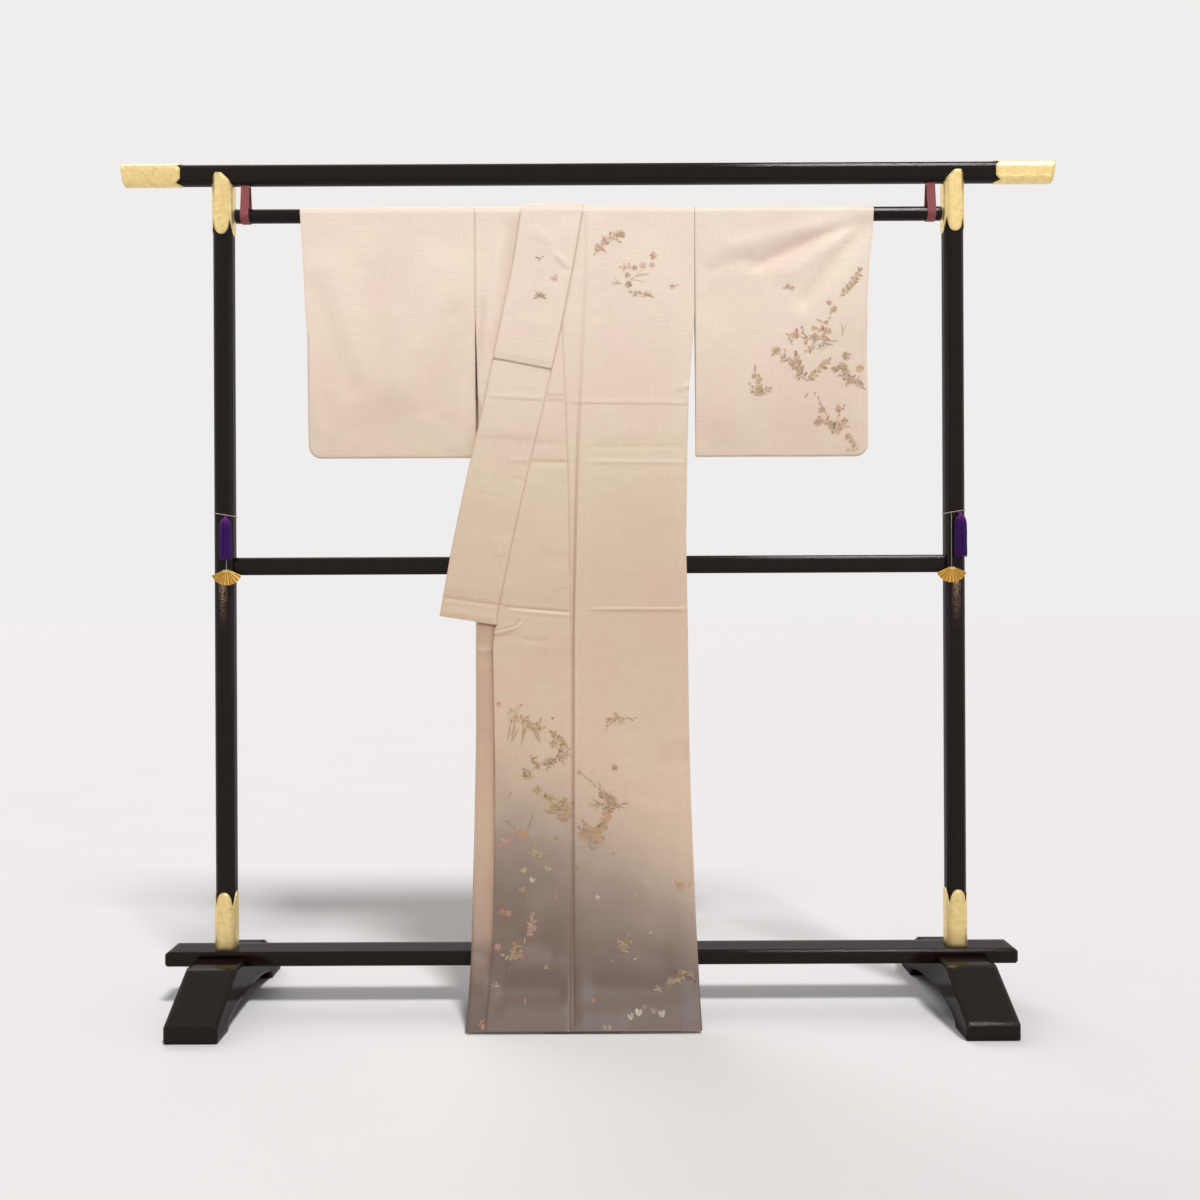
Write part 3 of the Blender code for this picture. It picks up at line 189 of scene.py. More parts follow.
# ---------------------------------------------------------------- creases
# Creases of the front: a line from one point to another, its half width and how far it lifts the cloth.
#  x 1,   z 1,    x 2,    z 2,   half width, lift
FRONT_CREASES = (
    # the tuck seam across the front at the hip, with the cloth standing up above it
    (-0.0340, 1.1630, 0.2100, 1.1590, 0.0016, -0.0004),
    (-0.0340, 1.1690, 0.2100, 1.1650, 0.0050, 0.0004),
    # folds from lying in a drawer
    (0.0000, 1.0815, 0.1960, 1.0795, 0.0032, -0.0004),
    (0.0040, 1.0740, 0.1900, 1.0735, 0.0045, 0.0003),
    (-0.0040, 1.0510, 0.2000, 1.0487, 0.0040, 0.0007),
    (0.0100, 1.0430, 0.1950, 1.0415, 0.0050, -0.0004),
    (0.1300, 1.0100, 0.1960, 1.0150, 0.0050, -0.0004),
    (0.0060, 0.7660, 0.1940, 0.7652, 0.0032, 0.0012),
    (0.0120, 0.7590, 0.1900, 0.7580, 0.0040, -0.0005),
    (0.0200, 0.9300, 0.1200, 0.9340, 0.0120, 0.0004),
    (0.1650, 1.1920, 0.2050, 1.2080, 0.0045, 0.0007),
    (0.1720, 1.1830, 0.2050, 1.1950, 0.0035, -0.0005),
    (0.1820, 0.8850, 0.1960, 0.8900, 0.0040, 0.0005),
    (0.1760, 0.8200, 0.1940, 0.8230, 0.0040, -0.0004),
    (0.1500, 0.5100, 0.1970, 0.5220, 0.0120, 0.0016),
    (0.1400, 0.4700, 0.1960, 0.4780, 0.0140, -0.0014),
    (0.0700, 0.3900, 0.1500, 0.3700, 0.0200, 0.0012),
    # the okumi and the collar under the hip
    (-0.1040, 1.0870, -0.0400, 1.0865, 0.0030, -0.0005),
    (-0.1040, 1.0790, -0.0440, 1.0785, 0.0050, 0.0005),
    (-0.1100, 1.0515, -0.0380, 1.0495, 0.0046, -0.0008),
    (-0.1080, 1.0400, -0.0400, 1.0390, 0.0055, 0.0006),
    (-0.1920, 1.1750, -0.0840, 1.1685, 0.0024, -0.0004),
    (-0.1880, 1.1800, -0.0860, 1.1745, 0.0040, 0.0004),
    (-0.1420, 1.1930, -0.1000, 1.1900, 0.0030, -0.0003),
    (-0.0760, 1.1800, -0.0440, 1.1800, 0.0030, -0.0004),
    (-0.0760, 1.1695, -0.0440, 1.1690, 0.0026, -0.0004),
    (-0.2050, 1.0960, -0.1120, 1.0925, 0.0040, -0.0004),
    (-0.1550, 1.0480, -0.1120, 1.0480, 0.0040, -0.0005),
    (-0.1500, 1.0560, -0.1140, 1.0555, 0.0040, 0.0004),
    (-0.1440, 1.0200, -0.1180, 1.0130, 0.0036, -0.0006),
    (-0.1400, 1.0120, -0.1200, 1.0060, 0.0036, 0.0005),
    (-0.2280, 0.9930, -0.1660, 0.9840, 0.0060, -0.0004),
    (-0.0720, 1.0180, -0.0440, 1.0120, 0.0060, -0.0003),
    (-0.1840, 0.9000, -0.1500, 0.9020, 0.0034, 0.0006),
    (-0.1840, 0.8700, -0.1600, 0.8650, 0.0034, -0.0004),
    (-0.1840, 0.8330, -0.1660, 0.8270, 0.0034, 0.0007),
    (-0.1200, 0.9400, -0.0400, 0.9380, 0.0050, 0.0002),
    (-0.0920, 0.8760, -0.0380, 0.8700, 0.0040, -0.0003),
    (-0.0820, 0.8480, -0.0380, 0.8440, 0.0040, 0.0003),
    (-0.0700, 0.8050, -0.0360, 0.8020, 0.0040, -0.0003),
    # the sharp fold across the end of the collar and the okumi
    (-0.2900, 0.7915, -0.2270, 0.7837, 0.0032, -0.0010),
    (-0.2270, 0.7837, -0.1650, 0.7745, 0.0032, -0.0009),
    (-0.2900, 0.7840, -0.2270, 0.7765, 0.0050, 0.0010),
    (-0.2270, 0.7765, -0.1650, 0.7670, 0.0050, 0.0008),
    (-0.1600, 0.7720, -0.1150, 0.7668, 0.0030, -0.0007),
    (-0.1150, 0.7668, -0.0340, 0.7605, 0.0030, -0.0009),
    (-0.1500, 0.7650, -0.1150, 0.7600, 0.0040, 0.0007),
    (-0.1150, 0.7600, -0.0340, 0.7540, 0.0040, 0.0014),
    (-0.1300, 0.6960, -0.0600, 0.6940, 0.0080, 0.0008),
    (-0.1260, 0.7080, -0.0800, 0.7040, 0.0060, -0.0008),
    # the right front where it shows beside the left one
    (-0.1450, 1.5200, -0.1660, 1.3900, 0.0120, -0.0017),
    (-0.1680, 1.4850, -0.1940, 1.3000, 0.0110, 0.0020),
    (-0.2030, 1.3700, -0.2080, 1.2300, 0.0060, -0.0012),
    (-0.2160, 0.6900, -0.1840, 0.6880, 0.0034, 0.0008),
    (-0.2160, 0.6800, -0.1840, 0.6790, 0.0040, -0.0006),
    (-0.2160, 0.6500, -0.1860, 0.6560, 0.0080, 0.0008),
    (-0.2160, 0.5300, -0.1840, 0.5280, 0.0050, -0.0005),
    (-0.2180, 0.4100, -0.1840, 0.4080, 0.0050, 0.0005),
    (-0.2200, 0.1250, -0.1840, 0.1130, 0.0100, -0.0018),
    (-0.2220, 0.0750, -0.1880, 0.0700, 0.0120, 0.0020),
    # slack over the flare of the skirt, down to the hem
    (-0.1500, 0.0960, -0.0500, 0.1010, 0.0180, 0.0014),
    (-0.1680, 0.0620, -0.0440, 0.0590, 0.0140, -0.0022),
    (-0.1600, 0.0340, -0.0400, 0.0330, 0.0130, 0.0014),
    (0.0000, 0.0640, 0.0900, 0.0560, 0.0170, -0.0020),
    (-0.0180, 0.0260, 0.0660, 0.0240, 0.0120, 0.0012),
    (0.0900, 0.0560, 0.1900, 0.0640, 0.0150, -0.0016),
    (0.1500, 0.0820, 0.1980, 0.0770, 0.0080, -0.0016),
    (-0.1400, 0.1500, -0.0600, 0.1250, 0.0200, -0.0022),
    (0.0200, 0.1400, 0.1500, 0.1150, 0.0220, -0.0020),
)

# The curled corner of the left okumi.
OKUMI_CURL = (
    (-0.1830, 0.7188, -0.1633, 0.7232, 0.0026, 0.0019),
    (-0.1633, 0.7232, -0.1400, 0.7292, 0.0026, 0.0021),
    (-0.1400, 0.7292, -0.1270, 0.7385, 0.0024, 0.0019),
    (-0.1270, 0.7385, -0.1190, 0.7500, 0.0022, 0.0012),
    (-0.1750, 0.7120, -0.1350, 0.7200, 0.0050, -0.0006),
)

# A long soft fold down the left front beside the okumi seam: a valley with a ridge on its outer side.
#  height, x, depth
LONG_FOLD = (
    (1.5335, 0.0004, 0.0003),
    (1.3640, -0.0042, 0.0006),
    (1.1890, -0.0127, 0.0010),
    (1.0810, -0.0185, 0.0016),
    (0.9080, -0.0236, 0.0019),
    (0.7250, -0.0275, 0.0019),
    (0.5900, -0.0282, 0.0016),
    (0.3980, -0.0288, 0.0014),
    (0.2130, -0.0290, 0.0014),
    (0.0000, -0.0290, 0.0008),
)
FOLD_WIDTH, FOLD_RIDGE = 0.0034, 0.010
FOLD_HIGHLIGHT = 0.0060        # from the valley to the painted highlight along the ridge
# Painted shade in that fold.
#  height, depth of shade, half width
FOLD_SHADE = (
    (1.5335, 0.05, 0.0040), (1.3600, 0.09, 0.0040), (1.1890, 0.15, 0.0038), (1.0810, 0.26, 0.0036),
    (0.9000, 0.42, 0.0030), (0.7000, 0.60, 0.0025), (0.3000, 0.62, 0.0024), (0.1600, 0.48, 0.0022),
    (0.0900, 0.20, 0.0022), (0.0000, 0.10, 0.0022),
)

# Sharp folds too fine for the cloth's grid, painted instead: dark lines of painted shade, and pale lines of
# painted highlight where an edge meets the light.
#  x 1,   z 1,    x 2,    z 2,   half width, depth of shade
FRONT_LINES = (
    (-0.036, 1.1628, 0.206, 1.1590, 0.0012, 0.15),
    (-0.192, 1.1740, -0.086, 1.1676, 0.0011, 0.12),
    (-0.078, 1.1690, -0.042, 1.1688, 0.0012, 0.15),
    (-0.076, 1.1790, -0.042, 1.1795, 0.0014, 0.09),
    # the curled corner of the okumi, lit along its fold and dark behind it
    (-0.1810, 0.7245, -0.1600, 0.7285, 0.0018, 0.34),
    (-0.1600, 0.7285, -0.1400, 0.7345, 0.0018, 0.30),
    (-0.1400, 0.7345, -0.1290, 0.7460, 0.0016, 0.24),
    (-0.1790, 0.7195, -0.1600, 0.7235, 0.0018, -0.08),
    (-0.1600, 0.7235, -0.1370, 0.7300, 0.0018, -0.08),
    (-0.1370, 0.7300, -0.1240, 0.7440, 0.0016, -0.08),
    (-0.1800, 0.7130, -0.1450, 0.7190, 0.0030, 0.14),
    # the fold across the collar's end and the okumi
    (-0.288, 0.7905, -0.165, 0.7740, 0.0013, 0.20),
    (-0.158, 0.7715, -0.034, 0.7600, 0.0013, 0.22),
    (-0.148, 0.7660, -0.036, 0.7555, 0.0016, -0.16),
    # across the left body at 0.77 m, and across the okumi and the left body at 1.05 m
    (0.008, 0.7672, 0.194, 0.7664, 0.0014, -0.14),
    (0.006, 0.7705, 0.194, 0.7698, 0.0014, 0.10),
    (-0.108, 1.0530, -0.038, 1.0508, 0.0014, 0.16),
    (0.020, 1.0530, 0.198, 1.0508, 0.0016, -0.04),
    # short puckers beside the collar's seam and at the left side
    (-0.132, 0.8870, -0.124, 0.8860, 0.0012, -0.20),
    (-0.158, 0.8230, -0.150, 0.8190, 0.0012, -0.26),
    (0.186, 1.1960, 0.204, 1.2030, 0.0016, -0.22),
    (0.180, 1.1880, 0.203, 1.1930, 0.0016, 0.22),
    (-0.216, 0.6890, -0.186, 0.6875, 0.0024, -0.16),
    # the end of the collar, turned up to the light below its fold
    (-0.2840, 0.7700, -0.1760, 0.7540, 0.0090, -0.07),
    # soft shade of the cloth's slow swells
    (0.0300, 0.9900, 0.1700, 0.9100, 0.0500, 0.035),
    (-0.2200, 1.1050, -0.0500, 1.0900, 0.0090, 0.05),
    (-0.2500, 0.9600, -0.1000, 0.9300, 0.0300, 0.035),
    (-0.2700, 0.8000, -0.0400, 0.7850, 0.0100, 0.060),
    (0.0100, 1.0950, 0.1950, 1.0930, 0.0100, 0.040),
    (-0.1000, 0.6900, -0.0400, 0.6600, 0.0300, 0.03),
    # the hem turns down a little, then flares to the light
    (-0.2150, 0.0860, 0.1950, 0.0800, 0.0280, 0.09),
    (-0.2150, 0.0180, 0.1950, 0.0160, 0.0180, -0.07),
    (0.0200, 0.1150, 0.1900, 0.0600, 0.0450, 0.11),
)

# Creases of the back, which lay in the same drawer.
BACK_CREASES = (
    (-0.205, 1.1700, 0.200, 1.1660, 0.0016, -0.0006),
    (-0.205, 1.1760, 0.200, 1.1720, 0.0050, 0.0006),
    (-0.210, 1.0780, 0.195, 1.0820, 0.0034, -0.0007),
    (-0.120, 1.0490, 0.190, 1.0520, 0.0042, 0.0010),
    (-0.210, 0.7640, -0.020, 0.7660, 0.0034, 0.0012),
    (0.030, 0.7570, 0.195, 0.7560, 0.0040, -0.0006),
    (-0.190, 0.6900, -0.080, 0.7040, 0.0090, 0.0014),
    (0.040, 0.9050, 0.150, 0.9200, 0.0110, -0.0012),
    (-0.180, 1.4300, -0.060, 1.3300, 0.0150, 0.0030),
    (0.170, 1.4400, 0.060, 1.3200, 0.0160, 0.0032),
    (0.120, 1.4900, 0.190, 1.3600, 0.0130, -0.0024),
    (-0.100, 1.4800, -0.190, 1.3500, 0.0120, -0.0022),
    (-0.150, 0.4200, -0.020, 0.3900, 0.0180, 0.0014),
    (0.050, 0.4500, 0.170, 0.4350, 0.0140, -0.0012),
    (-0.170, 0.1450, 0.050, 0.1250, 0.0200, 0.0018),
    (0.080, 0.0900, 0.195, 0.1100, 0.0150, -0.0016),
)

# Soft folds of the sleeves, in metres outwards and down from a sleeve's inner top corner.
#  out 1, down 1, out 2, down 2, half width, lift
LEFT_SLEEVE_FOLDS = (
    (0.050, 0.420, 0.310, 0.060, 0.0550, 0.0050),
    (0.200, 0.470, 0.330, 0.250, 0.0450, -0.0030),
    (0.030, 0.200, 0.200, 0.030, 0.0500, -0.0026),
    (0.110, 0.105, 0.345, 0.004, 0.0150, -0.0070),
    (0.060, 0.070, 0.300, 0.006, 0.0170, 0.0036),
    (0.200, 0.184, 0.340, 0.012, 0.0160, -0.0062),
    (0.170, 0.130, 0.338, 0.010, 0.0150, 0.0044),
    (0.262, 0.170, 0.342, 0.030, 0.0160, 0.0014),
    (0.015, 0.115, 0.110, 0.085, 0.0140, -0.0026),
    (0.003, 0.160, 0.020, 0.150, 0.0040, 0.0014),
    (0.006, 0.205, 0.026, 0.190, 0.0040, -0.0012),
    (0.322, 0.190, 0.326, 0.440, 0.0060, -0.0009),
)
RIGHT_SLEEVE_FOLDS = (
    (0.060, 0.080, 0.160, 0.360, 0.0500, 0.0040),
    (0.310, 0.080, 0.200, 0.380, 0.0550, 0.0034),
    (0.200, 0.100, 0.180, 0.450, 0.0450, -0.0020),
    (0.312, 0.130, 0.235, 0.350, 0.0250, -0.0034),
    (0.036, 0.180, 0.092, 0.390, 0.0260, -0.0034),
    (0.240, 0.405, 0.085, 0.430, 0.0300, -0.0010),
    (0.020, 0.330, 0.040, 0.460, 0.0180, 0.0018),
    (0.330, 0.230, 0.300, 0.430, 0.0160, 0.0016),
    (0.150, 0.180, 0.160, 0.330, 0.0350, 0.0016),
)
SLEEVE_FADE_TOP, SLEEVE_FADE_INNER = 0.05, 0.03
# Each sleeve's inner edge, the column of its cuff and its folds, and how far its rear shows past that edge.
SLEEVES = {
    "left": (LEFT_SLEEVE_INNER, LEFT_CUFF, LEFT_SLEEVE_FOLDS),
    "right": (RIGHT_SLEEVE_INNER, RIGHT_CUFF, RIGHT_SLEEVE_FOLDS),
}
SLEEVE_REAR_SHOWS = {"left": 0.0, "right": 0.0043}

# Where the ground colour starts to shade to the hem's grey, and where it has turned.
#  x, start height, full height
SHADE_OVER = (
    (-0.186, 0.625, 0.115), (-0.036, 0.580, 0.095), (-0.018, 0.545, 0.080), (0.060, 0.510, 0.055),
    (0.204, 0.425, 0.015),
)
SHADE_UNDER = ((-0.223, 0.415, -0.080), (0.160, 0.420, -0.060))
SHADE_BACK = ((-0.223, 0.420, 0.020), (-0.050, 0.480, 0.080), (0.204, 0.390, 0.010))
# Shares of the hem's grey at which the middle tone is reached and the hem's own tone begins.
MIDDLE_REACHED, HEM_BEGINS = 0.55, 0.50


# ---------------------------------------------------------------- curves through tables
def along(table, column, at):
    """A table's column on straight lines between its rows."""
    rows = np.array(table)
    rows = rows[np.argsort(rows[:, 0])]
    return np.interp(at, rows[:, 0], rows[:, column])


def smooth_along(table, column, at):
    """A table's column on a smooth curve: cubic pieces whose slope at a row is the mean on its two sides."""
    rows = np.array(table)[::-1]
    places, values = rows[:, 0], rows[:, column]
    slopes = np.gradient(values, places)
    at = np.clip(at, places[0], places[-1])
    i = np.clip(np.searchsorted(places, at) - 1, 0, len(places) - 2)
    span = places[i + 1] - places[i]
    t = (at - places[i]) / span
    return (
        (2 * t**3 - 3 * t**2 + 1) * values[i]
        + (t**3 - 2 * t**2 + t) * span * slopes[i]
        + (3 * t**2 - 2 * t**3) * values[i + 1]
        + (t**3 - t**2) * span * slopes[i + 1]
    )


def ease(t):
    """0 below 0, 1 above 1, and a smooth S between them."""
    t = np.clip(t, 0.0, 1.0)
    return t * t * (3 - 2 * t)


# ---------------------------------------------------------------- the fall of the cloth
def hang(x, height, out, rear=False, fall=BODY_FALL, sway=0.0):
    """Points of a sheet below the rod.

    The fall line gives y at a height and its slope; the sheet stands off it by out along its normal,
    to the front, or to the rear by the garment's depth and out. sway moves front and rear forward.
    """
    x, height, out, sway = np.broadcast_arrays(x, height, out, sway)
    step = 0.002
    slope = smooth_along(fall, FALL_Y, height + step) - smooth_along(fall, FALL_Y, height - step)
    slope = np.where(height > ROD_AXIS - step, 0.0, slope / (2 * step))
    size = np.hypot(1.0, slope)
    stand = -(smooth_along(fall, FALL_DEPTH, height) + out) if rear else out
    y = smooth_along(fall, FALL_Y, height) - stand / size - sway
    return np.stack([x + HANG_X, y, height + stand * slope / size], axis=-1)


def over_rod(x, angle, out):
    """Points of a sheet round the rod: an arc of the crest's radius plus out, from front to rear."""
    x, angle, out = np.broadcast_arrays(x, angle, out)
    radius = CREST_RADIUS + out
    return np.stack([x + HANG_X, -radius * np.sin(angle), ROD_AXIS + radius * np.cos(angle)], axis=-1)


def crest_height(angle):
    """The height at which the tables are read for an angle round the rod."""
    return ROD_AXIS + (math.pi / 2 - np.abs(angle)) * CREST_RADIUS


def crest_run(angle):
    """The same place as a length along the cloth, which goes on growing down the back."""
    return ROD_AXIS + CREST_RADIUS * (math.pi / 2 - angle)


def turned_back(angle):
    """0 on the front of the crest, 1 once the sheet lies on the back."""
    return np.clip(-angle / math.radians(75), 0.0, 1.0)


def bells(table, x, z):
    """Each crease as its half width, its lift and a bell across its line, faded in over its two ends."""
    for x_1, z_1, x_2, z_2, half_width, lift in table:
        length = math.hypot(x_2 - x_1, z_2 - z_1)
        along_x, along_z = (x_2 - x_1) / length, (z_2 - z_1) / length
        run = (x - x_1) * along_x + (z - z_1) * along_z
        across = (z - z_1) * along_x - (x - x_1) * along_z
        fade = max(0.2 * length, 1.2 * half_width)
        ends = ease(0.5 + run / fade) * ease(0.5 + (length - run) / fade)
        yield half_width, lift, ends * np.exp(-((across / half_width) ** 2))


def creased(table, x, z):
    """How far creases lift a sheet, or lines shade it: the sum of their bells."""
    return sum((lift * bell for _, lift, bell in bells(table, x, z)), np.zeros(np.broadcast(x, z).shape))


def crease_shading(table, x, z, most=0.15):
    """Painted shade in a table's creases, less where they are broad; ridges get a little painted highlight.
    """
    total = np.zeros(np.broadcast(x, z).shape)
    for half_width, lift, bell in bells(table, x, z):
        depth = min(max(-0.8 * lift / half_width, -0.06), most)
        total += depth * min(1.0, 0.004 / half_width) ** 1.3 * bell
    return total


def line_of_shade(distance, half_width, depth):
    """Painted shade along a seam, an edge or a fold: a bell of the distance from it."""
    return depth * np.exp(-((distance / half_width) ** 2))


def front_shading(x, z):
    """Painted shade in the creases and the long fold that all front sheets share, a painted highlight beside
    the fold, and the painted lines.
    """
    fold_x = smooth_along(LONG_FOLD, 1, z)
    depth = along(FOLD_SHADE, 1, z)
    fold = line_of_shade(x - fold_x, along(FOLD_SHADE, 2, z), depth)
    highlit = line_of_shade(x - fold_x - FOLD_HIGHLIGHT, 0.0040, 0.13 * depth)
    return crease_shading(FRONT_CREASES, x, z) + fold - highlit + creased(FRONT_LINES, x, z)


def slack(x, z):
    """Broad shallow waves of hanging silk: three crossed sines about a millimetre high."""
    return 0.0005 * (
        np.sin(21.0 * x + 5.0 * z + 0.4) + np.sin(34.0 * x - 9.0 * z + 1.9) * 0.7
        + np.sin(11.0 * z + 13.0 * x + 2.6) * 0.8
    )


def front_lift(x, z):
    """Lift of every front sheet at a place, the same for the sheets that lie on each other there."""
    fold_x = smooth_along(LONG_FOLD, 1, z)
    depth = along(LONG_FOLD, 2, z)
    fold = -depth * np.exp(-(((x - fold_x) / FOLD_WIDTH) ** 2))
    fold += 0.6 * depth * np.exp(-(((x - fold_x - 1.6 * FOLD_RIDGE) / FOLD_RIDGE) ** 2))
    near_rod = ease((ROD_AXIS - z) / 0.03)
    near_hem = ease((z - HEM) / 0.02 + 0.25)
    return (creased(FRONT_CREASES, x, z) + fold + slack(x, z)) * near_rod * near_hem


def back_lift(x, z):
    """Lift of every back sheet at a place."""
    near_rod = ease((ROD_AXIS - z) / 0.03)
    near_hem = ease((z - BACK_HEM) / 0.02 + 0.25)
    return (creased(BACK_CREASES, x, z) + slack(-x, z + 0.3)) * near_rod * near_hem


def hem_shade(table, x, z):
    """Share of the hem's grey at a place, from 0 to 1."""
    start, full = along(table, 1, x), along(table, 2, x)
    return ease((start - z) / (start - full)) ** 1.2


# ---------------------------------------------------------------- meshes from grids
def spread(first, last, step):
    """Evenly spaced values from first to last, about a step apart."""
    count = max(2, int(round(abs(last - first) / step)) + 1)
    return np.linspace(first, last, count)


def patch(points, across, down, shade=0.0, lining=False, painted_shading=0.0):
    """A grid of points with its place on the flat cloth, its share of the hem's grey, side and painted shade.
    """
    shape = points.shape[:2]
    flat = np.stack(np.broadcast_arrays(across, down), axis=-1)
    return {
        "points": points,
        "flat": np.broadcast_to(flat, shape + (2,)),
        "shade": np.broadcast_to(shade, shape),
        "painted_shading": np.broadcast_to(painted_shading, shape),
        "lining": np.broadcast_to(lining, (shape[0] - 1, shape[1] - 1)),
    }


def turn_patch(front, back, outward, bulge, like, steps=6, painted_shading=0.0):
    """A rounded turn between two edges: half an ellipse from each front point to its back point."""
    turn = np.linspace(0.0, math.pi, steps + 1)[:, None, None]
    points = front + (back - front) * (1 - np.cos(turn)) / 2 + outward * bulge * np.sin(turn)
    across, shade = like
    return patch(points, across + 0.001 * np.arange(steps + 1)[:, None], front[:, 2], shade, painted_shading=painted_shading)


def grid_faces(rows, columns, first=0):
    """Corner numbers of a grid's faces."""
    ids = first + np.arange(rows * columns).reshape(rows, columns)
    return np.stack([ids[:-1, :-1], ids[:-1, 1:], ids[1:, 1:], ids[1:, :-1]], axis=-1).reshape(-1, 4)


SMOOTH_ANGLE, ORNAMENT_ANGLE = 50.0, 60.0    # degrees between faces above which an edge stays sharp


def add_piece(name, points, faces, materials, smooth_angle=SMOOTH_ANGLE, turned=False):
    """A mesh object that rides on the part and takes its finish from a slot; turned faces look outwards."""
    mesh = bpy.data.meshes.new(name)
    mesh.from_pydata(points.reshape(-1, 3), [], faces)
    if turned:
        turn_one_way(mesh)
    else:
        mesh.validate()
    for made in materials:
        mesh.materials.append(made)
    mesh.shade_smooth()
    mesh.set_sharp_from_angle(angle=math.radians(smooth_angle))
    obj = bpy.data.objects.new(name, mesh)
    bpy.context.collection.objects.link(obj)
    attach(obj, "root")
    return obj


def applied(obj):
    """The object with its modifiers made part of its mesh."""
    bpy.context.view_layer.update()
    graph = bpy.context.evaluated_depsgraph_get()
    mesh = bpy.data.meshes.new_from_object(obj.evaluated_get(graph), depsgraph=graph)
    old = obj.data
    obj.modifiers.clear()
    obj.data = mesh
    mesh.name = obj.name
    bpy.data.meshes.remove(old)
    mesh.shade_smooth()
    mesh.set_sharp_from_angle(angle=math.radians(SMOOTH_ANGLE))


def sew(name, patches, materials, wall, replaced):
    """One piece of cloth from patches that share edges: points that coincide are made one."""
    points, flat = (
        np.concatenate([p[key].reshape(-1, size) for p in patches])
        for key, size in (("points", 3), ("flat", 2))
    )
    shade, painted_shading, lining = (
        np.concatenate([p[key].reshape(-1) for p in patches]) for key in ("shade", "painted_shading", "lining")
    )
    faces, first = [], 0
    for p in patches:
        rows, columns = p["points"].shape[:2]
        faces.append(grid_faces(rows, columns, first))
        first += rows * columns
    faces = np.concatenate(faces)
    _, kept, number = np.unique(
        np.round(points * 2e5).astype(np.int64), axis=0, return_index=True, return_inverse=True
    )
    faces = number.reshape(-1)[faces]
    whole = np.ones(len(faces), bool)
    for i in range(4):
        whole &= faces[:, i] != faces[:, (i + 1) % 4]
    faces, lining = faces[whole], lining[whole]
    obj = add_piece(name, points[kept], faces.tolist(), materials)
    mesh = obj.data
    mesh.attributes.new("hem_shade", "FLOAT", "POINT").data.foreach_set("value", shade[kept])
    # Painted shade in seams, folds and under edges, and painted highlights on ridges, stored as a colour that
    # multiplies the silk's.
    shading_to = mesh.attributes.new("painted_shading", "FLOAT_COLOR", "POINT")
    shading_to.data.foreach_set("color", painted_shading_tone(painted_shading[kept]).reshape(-1))
    mesh.polygons.foreach_set("material_index", lining.astype(np.int32))
    lay_flat(mesh, flat[kept])
    turn_one_way(mesh)
    shell = obj.modifiers.new("wall", "SOLIDIFY")
    shell.thickness = wall
    shell.offset = 0.0
    shell.use_even_offset = True
    applied(obj)
    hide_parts(*replaced)
    return obj


def lay_flat(mesh, flat):
    """Write each point's place on the flat cloth, in metres, as the mesh's UV map."""
    corners = np.empty(len(mesh.loops), np.int32)
    mesh.loops.foreach_get("vertex_index", corners)
    mesh.uv_layers.new(name="cloth").data.foreach_set("uv", flat[corners].reshape(-1))


def painted_shading_tone(painted_shading):
    """What the silk's colour is multiplied by for painted shade: e to minus its depth, a little browner as it
    gets deeper; a negative depth paints a highlight.
    """
    tone = np.exp(-painted_shading[..., None] * np.array([0.68, 1.05, 1.20]))
    return np.concatenate([tone, np.ones_like(painted_shading)[..., None]], axis=-1)


def turn_one_way(mesh):
    """Turn all faces of a sheet to the same side."""
    shape = bmesh.new()
    shape.from_mesh(mesh)
    bmesh.ops.recalc_face_normals(shape, faces=shape.faces)
    shape.to_mesh(mesh)
    shape.free()


# ---------------------------------------------------------------- body panels
def front_edge(table, z, sign):
    """Inner edge of a front: the collar seam above the okumi's tip, the okumi seam below it."""
    collar, okumi = along(table, COLLAR_SEAM, z), along(table, OKUMI_SEAM, z)
    return np.maximum(collar, okumi) + SEAM if sign > 0 else np.minimum(collar, okumi) - SEAM


def side_edge(column, z):
    """Side of a body panel, which draws in below the underarm to make room for the seam's turn."""
    edge = along(SIDES, column, z)
    inward = -1.0 if column == LEFT_SIDE else 1.0
    return edge + inward * TURN * ease((UNDERARM - z) / TURN_START)


def left_layer(x, z, back=0.0):
    """Stand-off of the left body: over the right front, and on the back over the centre pleat."""
    start = (1 - back) * front_edge(LEFT_FRONT, z, 1) + back * (NECK + SEAM)
    reach = (1 - back) * along(LAID_OVER, 1, z) + back * 0.060
    side = side_edge(LEFT_SIDE, z)
    inner = np.clip((x - start) / (reach - start), 0.0, 1.0)
    outer = ease((x - reach) / (side - reach))
    return LAYER * (1 + back * (1 - inner)) * (1 - outer)


def seam_dip(distance):
    """A sheet is drawn in by nearly a millimetre at a seam."""
    return -0.0008 * np.exp(-((distance / 0.0024) ** 2))


def left_front_shading(x, z):
    """Painted shade on the left body's front: in its creases, along the seam at its inner edge and along its
    side.
    """
    seam = line_of_shade(x - front_edge(LEFT_FRONT, z, 1), 0.0014, 0.10 + 0.16 * ease((z - 1.30) / 0.06))
    side = line_of_shade(side_edge(LEFT_SIDE, z) - x, 0.0012, 0.04 + 0.10 * ease((z - 1.20) / 0.05))
    return front_shading(x, z) + seam + side


def left_okumi_shading(x, z):
    """Painted shade on the left okumi: in its creases and curled corner, along its seam, beside the collar
    and along its free edge.
    """
    seam = line_of_shade(along(LEFT_FRONT, OKUMI_SEAM, z) - x, 0.0014, 0.10 + 0.12 * ease((z - 0.75) / 0.2))
    by_collar = line_of_shade(x - along(LEFT_FRONT, COLLAR_SEAM, z), 0.0013, 0.30) * (z > COLLAR_END[1])
    free = line_of_shade(x - along(LEFT_FRONT, OKUMI_EDGE, z), 0.0014, 0.16)
    return front_shading(x, z) + seam + by_collar + free + crease_shading(OKUMI_CURL, x, z)


